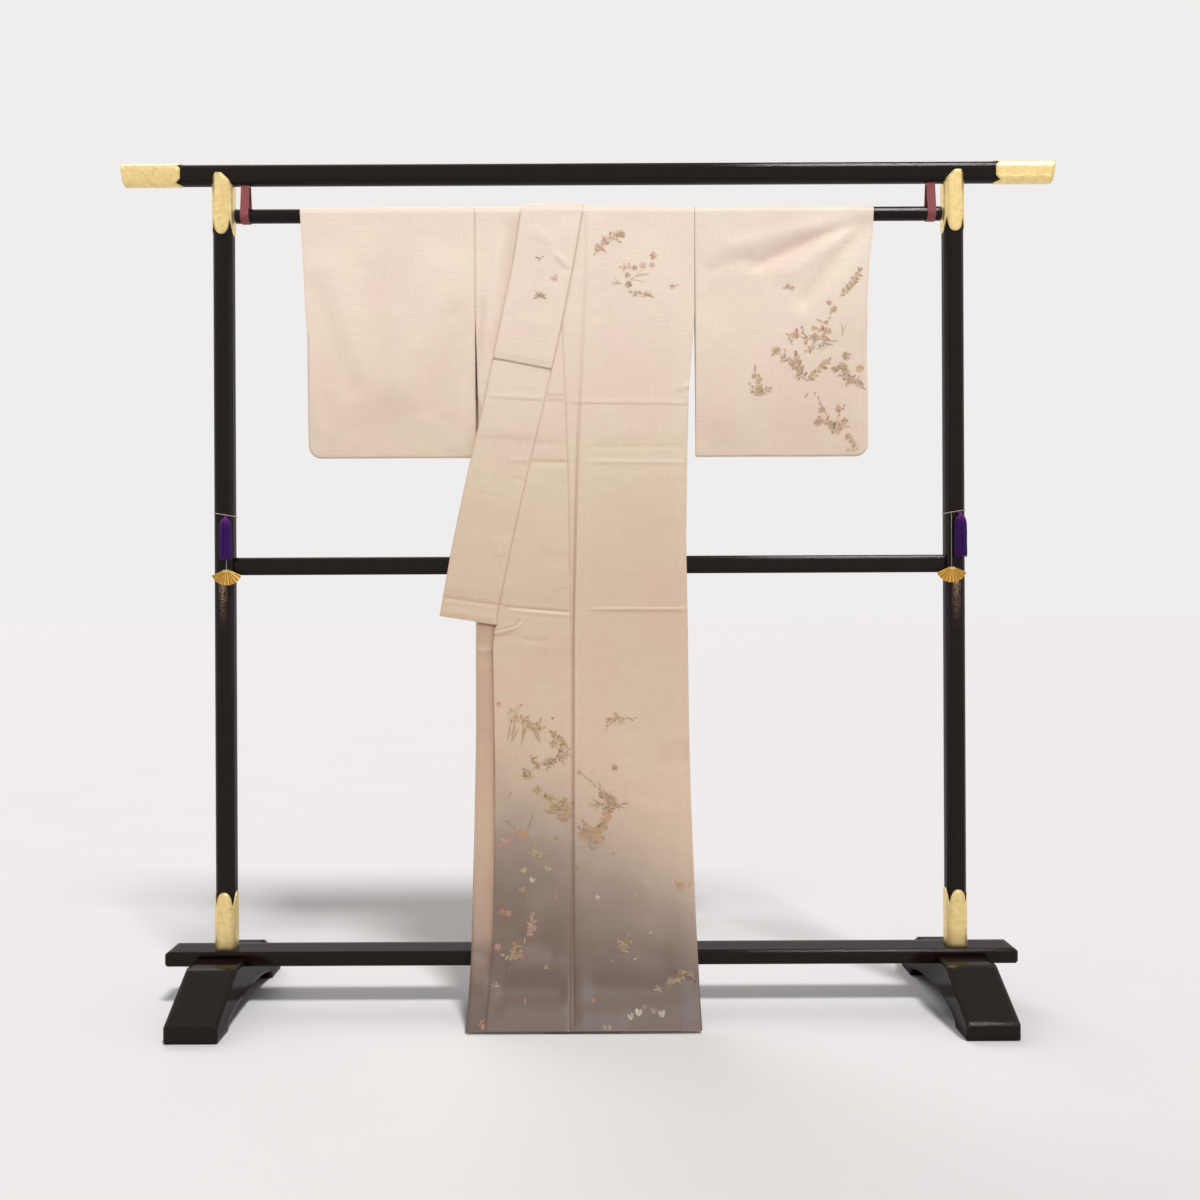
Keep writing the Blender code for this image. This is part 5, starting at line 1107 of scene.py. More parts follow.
# The sprigs of each panel: the kind of plant, its place, its length in mm, its turn in degrees and its two
# dyes. Turn 0 grows upwards, a positive one leans to the viewer's left. A sprig's random spread depends on
# its number in the whole list, so new rows go at the end.
#  kind, x, z, length, turn, first dye, second dye
SPRIGS = (
    ("left_front", (
        ("spray", 0.014, 1.449, 66, -55, "rust", "blush"), ("plum", 0.131, 1.449, 12, 10, "rust", "straw"),
        ("plum", 0.128, 1.431, 10, 40, "blush", "straw"), ("plum", 0.110, 1.431, 11, 0, "blush", "rust"),
        ("leaves", 0.087, 1.428, 18, 80, "blush", "rose"), ("plum", 0.094, 1.425, 9, 20, "olive", "straw"),
        ("plum", 0.080, 1.410, 10, 0, "slate", "sage"), ("plum", 0.082, 1.393, 11, 30, "bark", "rust"),
        ("arcs", 0.083, 1.401, 52, -66, "sage", "slate"), ("arcs", 0.070, 1.393, 26, 62, "slate", "sage"),
        ("tuft", 0.118, 1.371, 16, 0, "sage", "olive"), ("leaves", 0.110, 1.375, 20, 96, "sage", "slate"),
        ("plum", 0.167, 1.389, 9, 0, "rose", "bark"), ("leaf", 0.172, 1.390, 8, -60, "rust", "rust"),
    )),
    ("over_collar", (
        ("leaf", -0.089, 1.443, 10, 70, "bark", "sage"), ("leaf", -0.089, 1.443, 9, -66, "sage", "bark"),
        ("leaf", -0.089, 1.445, 8, 176, "sage", "slate"), ("heart", -0.058, 1.399, 13, 24, "blush", "rust"),
        ("tuft", -0.090, 1.368, 17, 0, "bark", "sage"), ("tuft", -0.090, 1.369, 12, 10, "sage", "bark"),
    )),
    ("left_sleeve", (
        ("plum", 0.399, 1.384, 8, 0, "ochre", "straw"), ("bud twig", 0.391, 1.386, 10, 90, "olive", "bark"),
        ("leaves", 0.488, 1.366, 68, -51, "olive", "sage"),
        ("bud twig", 0.464, 1.317, 34, -34, "rust", "bark"), ("plum", 0.480, 1.344, 9, 10, "rust", "straw"),
        ("bud twig", 0.458, 1.317, 13, 50, "bark", "bark"), ("plum", 0.464, 1.317, 8, 10, "rust", "bark"),
        ("spray", 0.487, 1.282, 82, 72, "olive", "rust"), ("leaves", 0.476, 1.298, 30, 70, "rust", "olive"),
        ("arcs", 0.479, 1.276, 44, 84, "sage", "slate"), ("arcs", 0.495, 1.290, 34, -16, "slate", "sage"),
        ("spray", 0.429, 1.205, 84, 39, "sage", "olive"), ("leaves", 0.425, 1.210, 46, 36, "olive", "bark"),
        ("bud twig", 0.398, 1.273, 22, 6, "olive", "bark"), ("leaves", 0.443, 1.269, 16, 90, "rust", "olive"),
        ("leaves", 0.427, 1.205, 56, -48, "sage", "olive"), ("plum", 0.504, 1.253, 14, 10, "olive", "sage"),
        ("plum", 0.500, 1.233, 11, 0, "olive", "straw"), ("plum", 0.483, 1.228, 10, 30, "bark", "rust"),
        ("spray", 0.541, 1.189, 62, 42, "bark", "olive"), ("plum", 0.531, 1.229, 12, 0, "rust", "olive"),
        ("plum", 0.514, 1.210, 10, 20, "olive", "straw"), ("plum", 0.531, 1.198, 9, 40, "olive", "sage"),
        ("bud twig", 0.430, 1.183, 10, 150, "olive", "bark"), ("spray", 0.511, 1.117, 60, 75, "rust", "bark"),
        ("plum", 0.457, 1.150, 10, 0, "rust", "bark"), ("plum", 0.488, 1.151, 10, 20, "rust", "straw"),
        ("plum", 0.500, 1.127, 11, 0, "olive", "rust"), ("bud twig", 0.467, 1.137, 48, 23, "sage", "bark"),
        ("bud twig", 0.486, 1.129, 30, -8, "rust", "bark"),
        ("leaves", 0.474, 1.109, 11, -90, "olive", "bark"),
        ("leaves", 0.503, 1.105, 34, -145, "sage", "olive"), ("plum", 0.507, 1.072, 7, 0, "straw", "ochre"),
        ("plum", 0.517, 1.072, 6, 30, "straw", "olive"), ("plum", 0.326, 1.215, 9, 0, "rust", "ochre"),
        ("leaf", 0.326, 1.221, 16, 4, "sage", "sage"), ("bush", 0.332, 1.176, 34, 0, "sage", "olive"),
    )),
    ("left_okumi", (
        ("plum", -0.172, 0.583, 8, 0, "rust", "bark"), ("leaves", -0.158, 0.564, 26, -80, "straw", "olive"),
        ("leaves", -0.154, 0.554, 34, -96, "olive", "sage"), ("leaf", -0.149, 0.546, 36, 168, "sage", "sage"),
        ("leaf", -0.133, 0.537, 32, 150, "slate", "sage"), ("leaf", -0.125, 0.544, 42, 186, "sage", "slate"),
        ("leaf", -0.097, 0.533, 24, 182, "sage", "sage"), ("leaf", -0.141, 0.549, 30, 178, "sage", "slate"),
        ("leaf", -0.116, 0.547, 26, 164, "olive", "sage"), ("leaf", -0.105, 0.540, 26, 190, "slate", "sage"),
        ("leaves", -0.130, 0.554, 34, -112, "sage", "olive"),
        ("arcs", -0.120, 0.550, 44, -118, "sage", "slate"), ("bush", -0.102, 0.529, 20, -20, "sage", "olive"),
        ("leaf", -0.069, 0.552, 7, -40, "bark", "bark"), ("leaf", -0.066, 0.554, 7, 60, "bark", "rust"),
        ("plum", -0.066, 0.506, 13, 10, "olive", "straw"),
        ("bud twig", -0.066, 0.511, 18, 8, "olive", "bark"),
        ("spray", -0.033, 0.498, 96, 112, "sage", "bark"), ("leaves", -0.038, 0.497, 44, 44, "olive", "bark"),
        ("plum", -0.053, 0.494, 10, 0, "bark", "straw"), ("leaf", -0.097, 0.481, 14, 108, "bark", "sage"),
        ("plum", -0.047, 0.484, 10, 0, "sage", "olive"), ("plum", -0.066, 0.473, 10, 30, "bark", "rose"),
        ("plum", -0.074, 0.465, 7, 0, "straw", "cream"), ("arcs", -0.043, 0.494, 26, 196, "sage", "slate"),
        ("leaves", -0.139, 0.441, 26, -70, "straw", "ochre"),
        ("spray", -0.051, 0.378, 58, 40, "straw", "olive"), ("plum", -0.066, 0.400, 12, 0, "straw", "olive"),
        ("bush", -0.060, 0.376, 30, 20, "olive", "straw"), ("bush", -0.043, 0.372, 26, 10, "sage", "olive"),
        ("bush", -0.049, 0.357, 20, 0, "olive", "sage"), ("bud twig", -0.153, 0.401, 11, 0, "slate", "sage"),
        ("plum", -0.133, 0.334, 15, 0, "rust", "rose"), ("plum", -0.122, 0.332, 12, 20, "rust", "straw"),
        ("bud twig", -0.139, 0.340, 26, 30, "sage", "bark"),
        ("bud twig", -0.118, 0.340, 28, -26, "rust", "bark"),
        ("leaves", -0.143, 0.327, 34, 118, "rose", "blush"), ("plum", -0.061, 0.326, 8, 0, "olive", "straw"),
        ("bush", -0.099, 0.290, 20, 0, "straw", "ochre"), ("heart", -0.122, 0.262, 11, 20, "straw", "cream"),
        ("heart", -0.080, 0.264, 11, -20, "straw", "ochre"),
        ("heart", -0.109, 0.244, 10, -16, "cream", "slate"),
        ("heart", -0.125, 0.226, 12, 14, "slate", "cream"), ("arcs", -0.055, 0.235, 18, 70, "rose", "slate"),
        ("leaf", -0.061, 0.211, 16, 4, "rose", "rust"), ("plum", -0.164, 0.191, 11, 0, "rust", "blush"),
        ("plum", -0.152, 0.189, 10, 30, "blush", "rust"), ("leaf", -0.109, 0.178, 13, 0, "blush", "cream"),
        ("leaves", -0.117, 0.147, 38, -32, "blush", "straw"),
        ("plum", -0.106, 0.163, 11, 0, "blush", "straw"), ("leaf", -0.121, 0.137, 12, 6, "blush", "cream"),
        ("leaf", -0.124, 0.131, 12, 70, "straw", "ochre"), ("bush", -0.142, 0.111, 22, 6, "straw", "rust"),
        ("plum", -0.127, 0.117, 10, 0, "rust", "cream"), ("plum", -0.171, 0.131, 11, 40, "blush", "cream"),
        ("dots", -0.146, 0.104, 34, 0, "straw", "ochre"), ("plum", -0.080, 0.098, 7, 0, "straw", "straw"),
        ("tuft", -0.172, 0.067, 12, 0, "cream", "slate"), ("leaf", -0.118, 0.039, 13, -10, "rose", "rust"),
    )),
    ("left_front", (
        ("bud twig", 0.060, 0.559, 34, 118, "sage", "bark"),
        ("leaves", 0.060, 0.559, 22, 104, "sage", "olive"),
        ("bud twig", 0.058, 0.559, 32, -118, "sage", "bark"),
        ("arcs", 0.060, 0.557, 22, -140, "sage", "slate"), ("plum", 0.052, 0.459, 8, 0, "rust", "bark"),
        ("plum", -0.018, 0.452, 8, 0, "rust", "bark"), ("bud twig", -0.016, 0.451, 46, -126, "blush", "bark"),
        ("plum", 0.028, 0.409, 13, 10, "rose", "rust"), ("bud twig", 0.026, 0.406, 22, 12, "rose", "bark"),
        ("plum", 0.045, 0.400, 12, 0, "sage", "straw"), ("leaves", 0.052, 0.380, 30, 24, "bark", "olive"),
        ("spray", 0.057, 0.383, 36, 48, "bark", "sage"), ("bush", 0.040, 0.375, 20, 0, "bark", "olive"),
        ("arcs", 0.034, 0.390, 44, 88, "sage", "slate"), ("arcs", 0.028, 0.392, 28, 108, "slate", "sage"),
        ("arcs", 0.059, 0.387, 26, -60, "slate", "sage"), ("arcs", 0.053, 0.392, 24, -140, "sage", "slate"),
        ("leaf", 0.027, 0.349, 16, -6, "rust", "rust"), ("spray", 0.014, 0.326, 48, -28, "rust", "ochre"),
        ("leaves", -0.008, 0.322, 40, -50, "rust", "bark"), ("bush", 0.008, 0.318, 28, -10, "ochre", "bark"),
        ("plum", 0.019, 0.343, 12, 0, "rust", "straw"), ("plum", -0.014, 0.332, 12, 0, "rust", "rose"),
        ("plum", 0.005, 0.324, 9, 0, "bark", "rust"), ("plum", 0.026, 0.326, 10, 20, "rust", "bark"),
        ("arcs", 0.007, 0.302, 34, 36, "sage", "slate"), ("arcs", 0.005, 0.302, 26, -30, "slate", "sage"),
        ("leaf", 0.043, 0.295, 9, -60, "rust", "olive"), ("plum", -0.022, 0.271, 6, 0, "olive", "straw"),
        ("plum", 0.175, 0.236, 13, 10, "rust", "ochre"), ("leaf", 0.168, 0.241, 8, 40, "rust", "bark"),
        ("plum", 0.016, 0.217, 8, 0, "cream", "cream"), ("plum", 0.090, 0.221, 6, 0, "straw", "olive"),
        ("dots", 0.066, 0.164, 16, 0, "straw", "ochre"), ("plum", 0.116, 0.155, 5, 0, "cream", "cream"),
        ("bush", 0.065, 0.123, 24, 0, "straw", "ochre"), ("leaf", 0.051, 0.138, 9, -70, "cream", "straw"),
        ("leaf", 0.062, 0.133, 9, -70, "cream", "straw"), ("dots", 0.065, 0.108, 52, 90, "straw", "cream"),
        ("leaf", 0.082, 0.110, 9, -80, "cream", "cream"), ("leaf", 0.043, 0.105, 7, 30, "cream", "straw"),
        ("leaves", 0.139, 0.066, 26, -62, "straw", "olive"),
        ("leaves", 0.158, 0.079, 26, -66, "straw", "slate"),
        ("tuft", 0.189, 0.084, 13, -20, "straw", "cream"), ("leaf", 0.183, 0.088, 11, 66, "straw", "olive"),
        ("heart", 0.171, 0.084, 10, -10, "straw", "cream"), ("heart", 0.153, 0.073, 10, 20, "straw", "cream"),
        ("tuft", 0.127, 0.062, 13, -12, "straw", "cream"), ("heart", 0.077, 0.019, 10, 20, "cream", "straw"),
        ("heart", 0.089, 0.024, 11.5, -8, "cream", "blush"), ("heart", 0.101, 0.033, 8, 10, "slate", "cream"),
        ("heart", 0.116, 0.027, 10, -16, "slate", "cream"), ("heart", 0.133, 0.022, 11, 10, "cream", "rose"),
        ("plum", 0.007, 0.047, 8, 0, "rust", "ochre"), ("plum", 0.028, 0.009, 6, 0, "straw", "ochre"),
        ("plum", 0.037, 0.009, 6, 30, "straw", "ochre"),
    )),
    ("right_strip", (
        ("bud twig", -0.201, 0.013, 12, -50, "rust", "ochre"), ("plum", -0.192, 0.011, 7, 0, "rose", "bark"),
    )),
    ("left_sleeve", (
        ("plum", 0.391, 1.388, 9, 0, "ochre", "bark"), ("plum", 0.470, 1.355, 9, 0, "rust", "bark"),
        ("plum", 0.477, 1.342, 9, 0, "ochre", "bark"), ("plum", 0.440, 1.306, 9, 0, "ochre", "bark"),
        ("plum", 0.459, 1.304, 8, 0, "olive", "bark"), ("plum", 0.408, 1.232, 8, 0, "olive", "bark"),
        ("plum", 0.501, 1.256, 8, 0, "olive", "bark"), ("plum", 0.479, 1.229, 9, 0, "ochre", "bark"),
        ("plum", 0.527, 1.230, 9, 0, "ochre", "bark"), ("plum", 0.454, 1.150, 9, 0, "ochre", "bark"),
        ("plum", 0.488, 1.154, 9, 0, "rust", "rust"), ("plum", 0.324, 1.215, 9, 0, "rust", "ochre"),
        ("plum", 0.333, 1.192, 8, 0, "olive", "bark"),
    )),
    ("left_front", (
        ("leaf", 0.184, 0.238, 15, 60, "rust", "rust"), ("leaf", 0.188, 0.234, 13, -40, "ochre", "rust"),
        ("plum", 0.050, 0.461, 9, 0, "bark", "rust"), ("bush", 0.004, 0.328, 30, 10, "bark", "olive"),
    )),
)

STROKE = ("x", "z", "turn", "length", "width", "bend", "round", "dye", "strength")


def stroke(x, z, turn, length, width, bend=0.0, roundness=0.5, dye=0, strength=1.0):
    """One brush stroke: its root, turn from upwards in radians, length, width, bend, dye and strength."""
    return (x, z, turn, length, width, bend, roundness, dye, strength)


def wash(x, z, reach, dye):
    """A faint wash of dye round a place: two broad crossed strokes."""
    return [
        stroke(x, z - reach / 2, 0.0, reach, reach * 0.8, 0.0, 0.6, dye, 0.30),
        stroke(x + reach / 2, z, math.pi / 2, reach, reach * 0.8, 0.0, 0.6, dye, 0.30),
    ]


def along_bend(x, z, size, turn, bend, shares):
    """Places and directions along a bent stem, an arc of a circle."""
    found = []
    for share in shares:
        way = turn + bend * share * 0.5
        reach = share * size
        found.append((x - reach * math.sin(way), z + reach * math.cos(way), turn + bend * share))
    return found


def leaf(x, z, size, turn, first, second, rng):
    """One leaf with its midrib."""
    bend = rng.uniform(-0.5, 0.5)
    return [
        stroke(x, z, turn, size, min(max(size * 0.34, 0.0030), 0.0056), bend, 0.5, first),
        stroke(x, z, turn, size * 0.8, 0.0008, bend, 0.3, second),
    ]


WASHED_PLUM = 0.0128        # blossoms larger than this lie on a wash


def plum(x, z, size, turn, first, second, rng):
    """A five-petalled blossom with a light heart, its petals a little uneven; a large one on a faint wash."""
    size = 1.25 * size
    petals = (wash(x, z, size * 1.2, first) if size > WASHED_PLUM else []) + [
        stroke(
            x, z, turn + 2 * math.pi * k / 5, size * rng.uniform(0.44, 0.58), size * 0.42, 0.0, 0.62, first
        )
        for k in range(5)
    ]
    heart_strokes = [
        stroke(x, z, turn + 0.6 + 2 * math.pi * k / 5, size * 0.24, size * 0.10, 0.0, 0.5, second)
        for k in range(5)
    ]
    return petals + heart_strokes


def bud(x, z, size, turn, first, second):
    """A bud: a round petal in a small calyx."""
    return [
        stroke(x, z, turn, size, size * 0.72, 0.0, 0.6, first),
        stroke(x, z, turn + 0.5, size * 0.45, size * 0.22, 0.2, 0.4, second),
        stroke(x, z, turn - 0.5, size * 0.45, size * 0.22, -0.2, 0.4, second),
    ]


def bud_twig(x, z, size, turn, first, second, rng):
    """A short twig with three or four buds."""
    bend = rng.uniform(-0.7, 0.7)
    strokes = [stroke(x, z, turn, size, 0.0010, bend, 0.2, second)]
    for i, (px, pz, way) in enumerate(along_bend(x, z, size, turn, bend, (0.3, 0.55, 0.8, 1.0))):
        side = 0.8 if i % 2 else -0.8
        reach = min(0.26 * size, 0.0052) * rng.uniform(0.8, 1.2)
        strokes += bud(px, pz, reach, way + side * (i < 3), first, second)
    return strokes


def leaves(x, z, size, turn, first, second, rng):
    """A thin stem with small leaves on both sides, smaller towards its tip."""
    bend = rng.uniform(-0.6, 0.6)
    count = max(3, int(size / 0.0052))
    strokes = [
        stroke(x, z, turn, size, min(0.014, 0.6 * size), bend, 0.4, first, 0.28),
        stroke(x, z, turn, size, 0.0009, bend, 0.2, second),
    ]
    for i, (px, pz, way) in enumerate(along_bend(x, z, size, turn, bend, np.linspace(0.1, 1.0, count))):
        side = (1 if i % 2 else -1) * rng.uniform(0.5, 1.0) * (i < count - 1)
        reach = min(0.0100, 0.55 * size) * rng.uniform(0.7, 1.2)
        dye = first if rng.random() < 0.65 else second
        strokes.append(stroke(px, pz, way + side, reach, reach * 0.66, side * 0.4, 0.5, dye))
        if rng.random() < 0.7:
            strokes.append(stroke(px, pz, way - side, reach * 0.75, reach * 0.5, -side * 0.4, 0.5, first))
    return strokes


def spray(x, z, size, turn, first, second, rng):
    """A crooked branch: four straight lengths with a knot of leaves, buds or a blossom at each joint."""
    bark = DYE_NAMES.index("bark")
    strokes = []
    way, step = turn + 0.25, size / 4
    for joint in range(4):
        strokes.append(stroke(x, z, way, step * 1.05, 0.0017 - 0.0003 * joint, 0.12, 0.15, bark))
        x, z = x - step * math.sin(way), z + step * math.cos(way)
        strokes = wash(x, z, 0.015, second if joint in (1, 3) else first) + strokes
        for side in (-1.0, 1.0):
            for _ in range(int(rng.integers(3, 6))):
                reach = rng.uniform(0.0054, 0.0104)
                dye = first if rng.random() < 0.7 else second
                strokes.append(stroke(
                    x + rng.uniform(-0.005, 0.005), z + rng.uniform(-0.005, 0.005),
                    way + side * rng.uniform(0.2, 1.6), reach, reach * rng.uniform(0.45, 0.75),
                    side * 0.4, 0.5, dye,
                ))
        if joint in (1, 3):
            off = rng.uniform(-0.5, 0.5)
            strokes += plum(
                x - 0.005 * math.sin(way + off), z + 0.005 * math.cos(way + off), rng.uniform(0.010, 0.014),
                way, second, first, rng,
            )
        if joint < 3:
            side = 1.0 if rng.random() < 0.5 else -1.0
            strokes += bud_twig(x, z, size * rng.uniform(0.16, 0.26), way + side * 0.9, first, bark, rng)
        way = turn + rng.uniform(-0.45, 0.45)
    return strokes


def arcs(x, z, size, turn, first, second, rng):
    """Thin arching blades of grass."""
    return [
        stroke(
            x, z, turn + rng.uniform(-0.35, 0.35), size * rng.uniform(0.6, 1.0), 0.0009,
            rng.choice([-1.0, 1.0]) * rng.uniform(0.5, 1.2), 0.3, first if i % 2 else second,
        )
        for i in range(4)
    ]


def tuft(x, z, size, turn, first, second, rng):
    """A fan of short leaves from one root."""
    return [
        stroke(
            x, z, turn + way, size * rng.uniform(0.6, 0.9), size * 0.15, way * 0.5, 0.4,
            first if i % 2 else second,
        )
        for i, way in enumerate(np.linspace(-1.5, 1.5, 7))
    ]


def bush(x, z, size, turn, first, second, rng):
    """A small plant: leaves all along three stems from one root."""
    strokes = []
    for way, reach in ((-0.75, 0.7), (0.0, 1.0), (0.8, 0.75)):
        strokes += leaves(x, z, size * reach, turn + way, first, second, rng)
    return strokes


def dots(x, z, size, turn, first, second, rng):
    """Loose small dabs, strewn along a line."""
    strokes = []
    for _ in range(max(5, int(size / 0.0028))):
        share, off = rng.uniform(-0.5, 0.5), rng.uniform(-0.14, 0.14)
        px = x - size * (share * math.sin(turn) + off * math.cos(turn))
        pz = z + size * (share * math.cos(turn) - off * math.sin(turn))
        reach = rng.uniform(0.0014, 0.0028)
        dye = first if rng.random() < 0.6 else second
        strokes.append(stroke(px, pz, rng.uniform(0, 6.28), reach, reach * 0.8, 0.0, 0.6, dye))
    return strokes


def heart(x, z, size, turn, first, second, rng):
    """A heart-shaped leaf: two round lobes that share a point."""
    return [
        stroke(x, z, turn + 0.55, size * 1.05, size * 0.74, -0.35, 0.6, first),
        stroke(x, z, turn - 0.55, size * 1.05, size * 0.74, 0.35, 0.6, first),
        stroke(x, z, turn, size * 0.7, size * 0.10, 0.0, 0.3, second),
    ]


PLANTS = {
    "plum": plum, "spray": spray, "bud twig": bud_twig, "leaves": leaves, "leaf": leaf, "arcs": arcs,
    "tuft": tuft, "bush": bush, "dots": dots, "heart": heart,
}


def stroke_grids(strokes):
    """Flat places of all strokes as a grid each, [stroke, step along, step across, (x, z)].

    A stroke's middle line is an arc of a circle. Its half width rises as t to the roundness and falls
    to its tip as 1 - t to the half, so petals are round-ended and leaves are pointed at their root.
    """
    s = {name: np.array(strokes)[:, i][:, None, None] for i, name in enumerate(STROKE)}
    t = np.linspace(0.0, 1.0, 7)[None, :, None]
    side = np.linspace(-1.0, 1.0, 4)[None, None, :]
    way = s["turn"] + s["bend"] * t * 0.5
    x = s["x"] - t * s["length"] * np.sin(way)
    z = s["z"] + t * s["length"] * np.cos(way)
    along_way = s["turn"] + s["bend"] * t
    eased = np.clip(t, 0.001, 0.999)
    half = 0.5 * s["width"] * (eased ** s["round"]) * np.sqrt(1 - eased) * 1.6
    half = half * (1 + 0.6 * (s["round"] > 0.55) * (t - 0.5))
    x = x + side * half * np.cos(along_way)
    z = z + side * half * np.sin(along_way)
    return x, z, t + 0 * side, side + 0 * t


def hung_face(out_at):
    """A function that gives points on a hung panel's face, from the one that gives its stand-off."""
    def face(x, z, extra):
        return hang(x, z, out_at(x, z) + extra)
    return face


def over_collar_front(x, z, extra):
    """Points on the over collar's face."""
    free, seam = along(LEFT_FRONT, COLLAR_EDGE, z), along(LEFT_FRONT, COLLAR_SEAM, z)
    u = np.clip((x - free) / (seam - free), 0.001, 1.0)
    lift = 2 * COLLAR_FOLD + COLLAR_PUFF * (1 - np.abs(2 * u - 1) ** 5)
    own = creased(OVER_COLLAR_CREASES, x, z)
    raised = (OVER_COLLAR_BASE + lift) * pressed(z)
    return hang(x, z, 2 * LAYER + raised + front_lift(x, z) + own + extra)


# Where each panel's face lies, its painted shade and its hem shading.
FACES = {
    "left_front": (hung_face(left_front_out), left_front_shading, SHADE_OVER),
    "left_okumi": (hung_face(left_okumi_out), left_okumi_shading, SHADE_OVER),
    "over_collar": (over_collar_front, front_shading, None),
    "left_sleeve": (partial(sleeve_front, "left"), partial(sleeve_shading, "left"), None),
    "right_strip": (hung_face(front_lift), right_front_shading, SHADE_UNDER),
}


def flat_ground(panel, x, z, cloth):
    """The ground's linear colour at a place, mixed as the silk's material mixes it, without its clouds."""
    low = ease((1.52 - z) / 0.78)[..., None]
    middle = (np.array(cloth.ground) + np.array(cloth.ground_pink)) / 2
    tone = (1 - low) * middle + low * np.array(cloth.ground_low)
    if FACES[panel][2] is not None:
        share = hem_shade(FACES[panel][2], x, z)[..., None]
        tone = tone + (np.array(cloth.shade_middle) - tone) * np.clip(share / MIDDLE_REACHED, 0, 1)
        below = np.clip((share - HEM_BEGINS) / (1 - HEM_BEGINS), 0, 1)
        tone = tone + (np.array(cloth.shade_hem) - tone) * below
        # Painted shade over the hem's forward flare, as in the silk's material.
        tone = tone + (np.array(cloth.shade_deep) - tone) * ease((0.17 - z) / 0.12)[..., None] * share
    return tone


def make_sprigs(panel, cloth, material):
    """All dyed sprigs of one panel, as thin strokes laid on its face, with their dye as a colour."""
    strokes = []
    rows = [(where, *row) for where, group in SPRIGS for row in group]
    for number, (where, kind, x, z, size, turn, first, second) in enumerate(rows):
        if where == panel:
            strokes += PLANTS[kind](
                x, z, size * MM * cloth.sprig_scale, math.radians(turn),
                DYE_NAMES.index(first), DYE_NAMES.index(second), np.random.default_rng(100 + number),
            )
    x, z, t, side = stroke_grids(strokes)
    count, rows, columns = x.shape
    # Washes lie lowest, and overlapping strokes are a few hundredths of a millimetre apart.
    strength = np.array(strokes)[:, STROKE.index("strength")][:, None, None]
    each = np.arange(count)[:, None, None]
    order = 0.00003 * np.where(strength < 0.5, each % 2, 2 + each % 6)
    z = np.maximum(z, HEM + 0.001)
    points = FACES[panel][0](x, z, cloth.wall / 2 + cloth.dye_lift + order)
    faces = np.concatenate([grid_faces(rows, columns, k * rows * columns) for k in range(count)])
    obj = add_piece("dyed_sprigs_" + panel, points, faces.tolist(), [material])
    palette = np.array([linear(DYES[name])[:3] for name in DYE_NAMES])
    dye = palette[np.array(strokes)[:, STROKE.index("dye")].astype(int)][:, None, None, :]
    # The dye is strongest along the middle of a stroke and fades into the ground at its edges.
    hold = (1.00 - 0.40 * side**2) * (0.80 + 0.20 * np.sin(2.9 * t + 1.3 * each))
    hold = hold * (0.86 + 0.14 * np.sin(1.7 * each))
    tone = flat_ground(panel, x, z, cloth)
    hold = np.minimum(cloth.dye_strength * hold, 1.0) * strength
    light = tone.sum(axis=-1, keepdims=True) / tone.sum(axis=-1).max()
    tone = tone + (dye * (0.50 + 0.50 * np.sqrt(light)) - tone) * hold[..., None] * (0.78 + 0.22 * light)
    dye = np.ones(tone.shape[:3] + (4,))
    # The sprigs take the same painted shade and highlights as the silk under them.
    dye[..., :3] = tone * painted_shading_tone(FACES[panel][1](x, z))[..., :3]
    mesh = obj.data
    mesh.attributes.new("dye", "FLOAT_COLOR", "POINT").data.foreach_set("color", dye.reshape(-1))
    lay_flat(mesh, np.stack([x, z], axis=-1).reshape(-1, 2))


# ---------------------------------------------------------------- materials
def linear(hex_colour):
    """Linear RGBA of an sRGB hex value."""
    channels = [int(hex_colour[i:i + 2], 16) / 255 for i in (0, 2, 4)]
    return [c / 12.92 if c <= 0.04045 else ((c + 0.055) / 1.055) ** 2.4 for c in channels] + [1.0]


def add(tree, kind, inputs=None, **settings):
    """A shader node with its settings and inputs.

    An input is linked to a socket, or to the first output that a node has in use; any other value is
    set, and a colour gets an alpha of 1.
    """
    node = tree.nodes.new("ShaderNode" + kind)
    for name, value in settings.items():
        setattr(node, name, value)
    for name, value in (inputs or {}).items():
        if isinstance(value, bpy.types.Node):
            value = next(socket for socket in value.outputs if socket.enabled)
        if isinstance(value, bpy.types.NodeSocket):
            tree.links.new(value, node.inputs[name])
        else:
            node.inputs[name].default_value = (*value, 1.0) if isinstance(value, Color) else value
    return node


def new_material(name):
    """An empty node material and its tree."""
    made = bpy.data.materials.new(name)
    made.use_nodes = True
    made.node_tree.nodes.clear()
    return made, made.node_tree


MIX_FACTOR, MIX_A, MIX_B = 0, 6, 7    # inputs of a Mix node for colours


def slub_weave(tree):
    """Silk pongee: hand-spun threads make slubs along warp and weft, drawn 2.5 mm wide so that they show.

    Returns the node of the slubs' height, from 0 to 1.
    """
    cloth = add(tree, "UVMap", uv_map="cloth")
    threads = []
    #  across the thread, along it: cycles a metre
    for across, along_it, spin in ((420.0, 30.0, 0.0), (360.0, 17.0, math.pi / 2)):
        turned = add(tree, "Mapping", {"Vector": cloth, "Rotation": (0.0, 0.0, spin)})
        drawn = add(tree, "Mapping", {"Vector": turned, "Scale": (across, along_it, 1.0)})
        threads.append(add(tree, "TexNoise", {
            "Vector": drawn, "Scale": 1.0, "Detail": 3.0, "Roughness": 0.62,
        }))
    # The weft is slubbier than the warp.
    weft = add(tree, "Math", {0: threads[1], 1: 0.55}, operation="MULTIPLY")
    return add(tree, "Math", {0: threads[0], 1: 0.45, 2: weft}, operation="MULTIPLY_ADD")


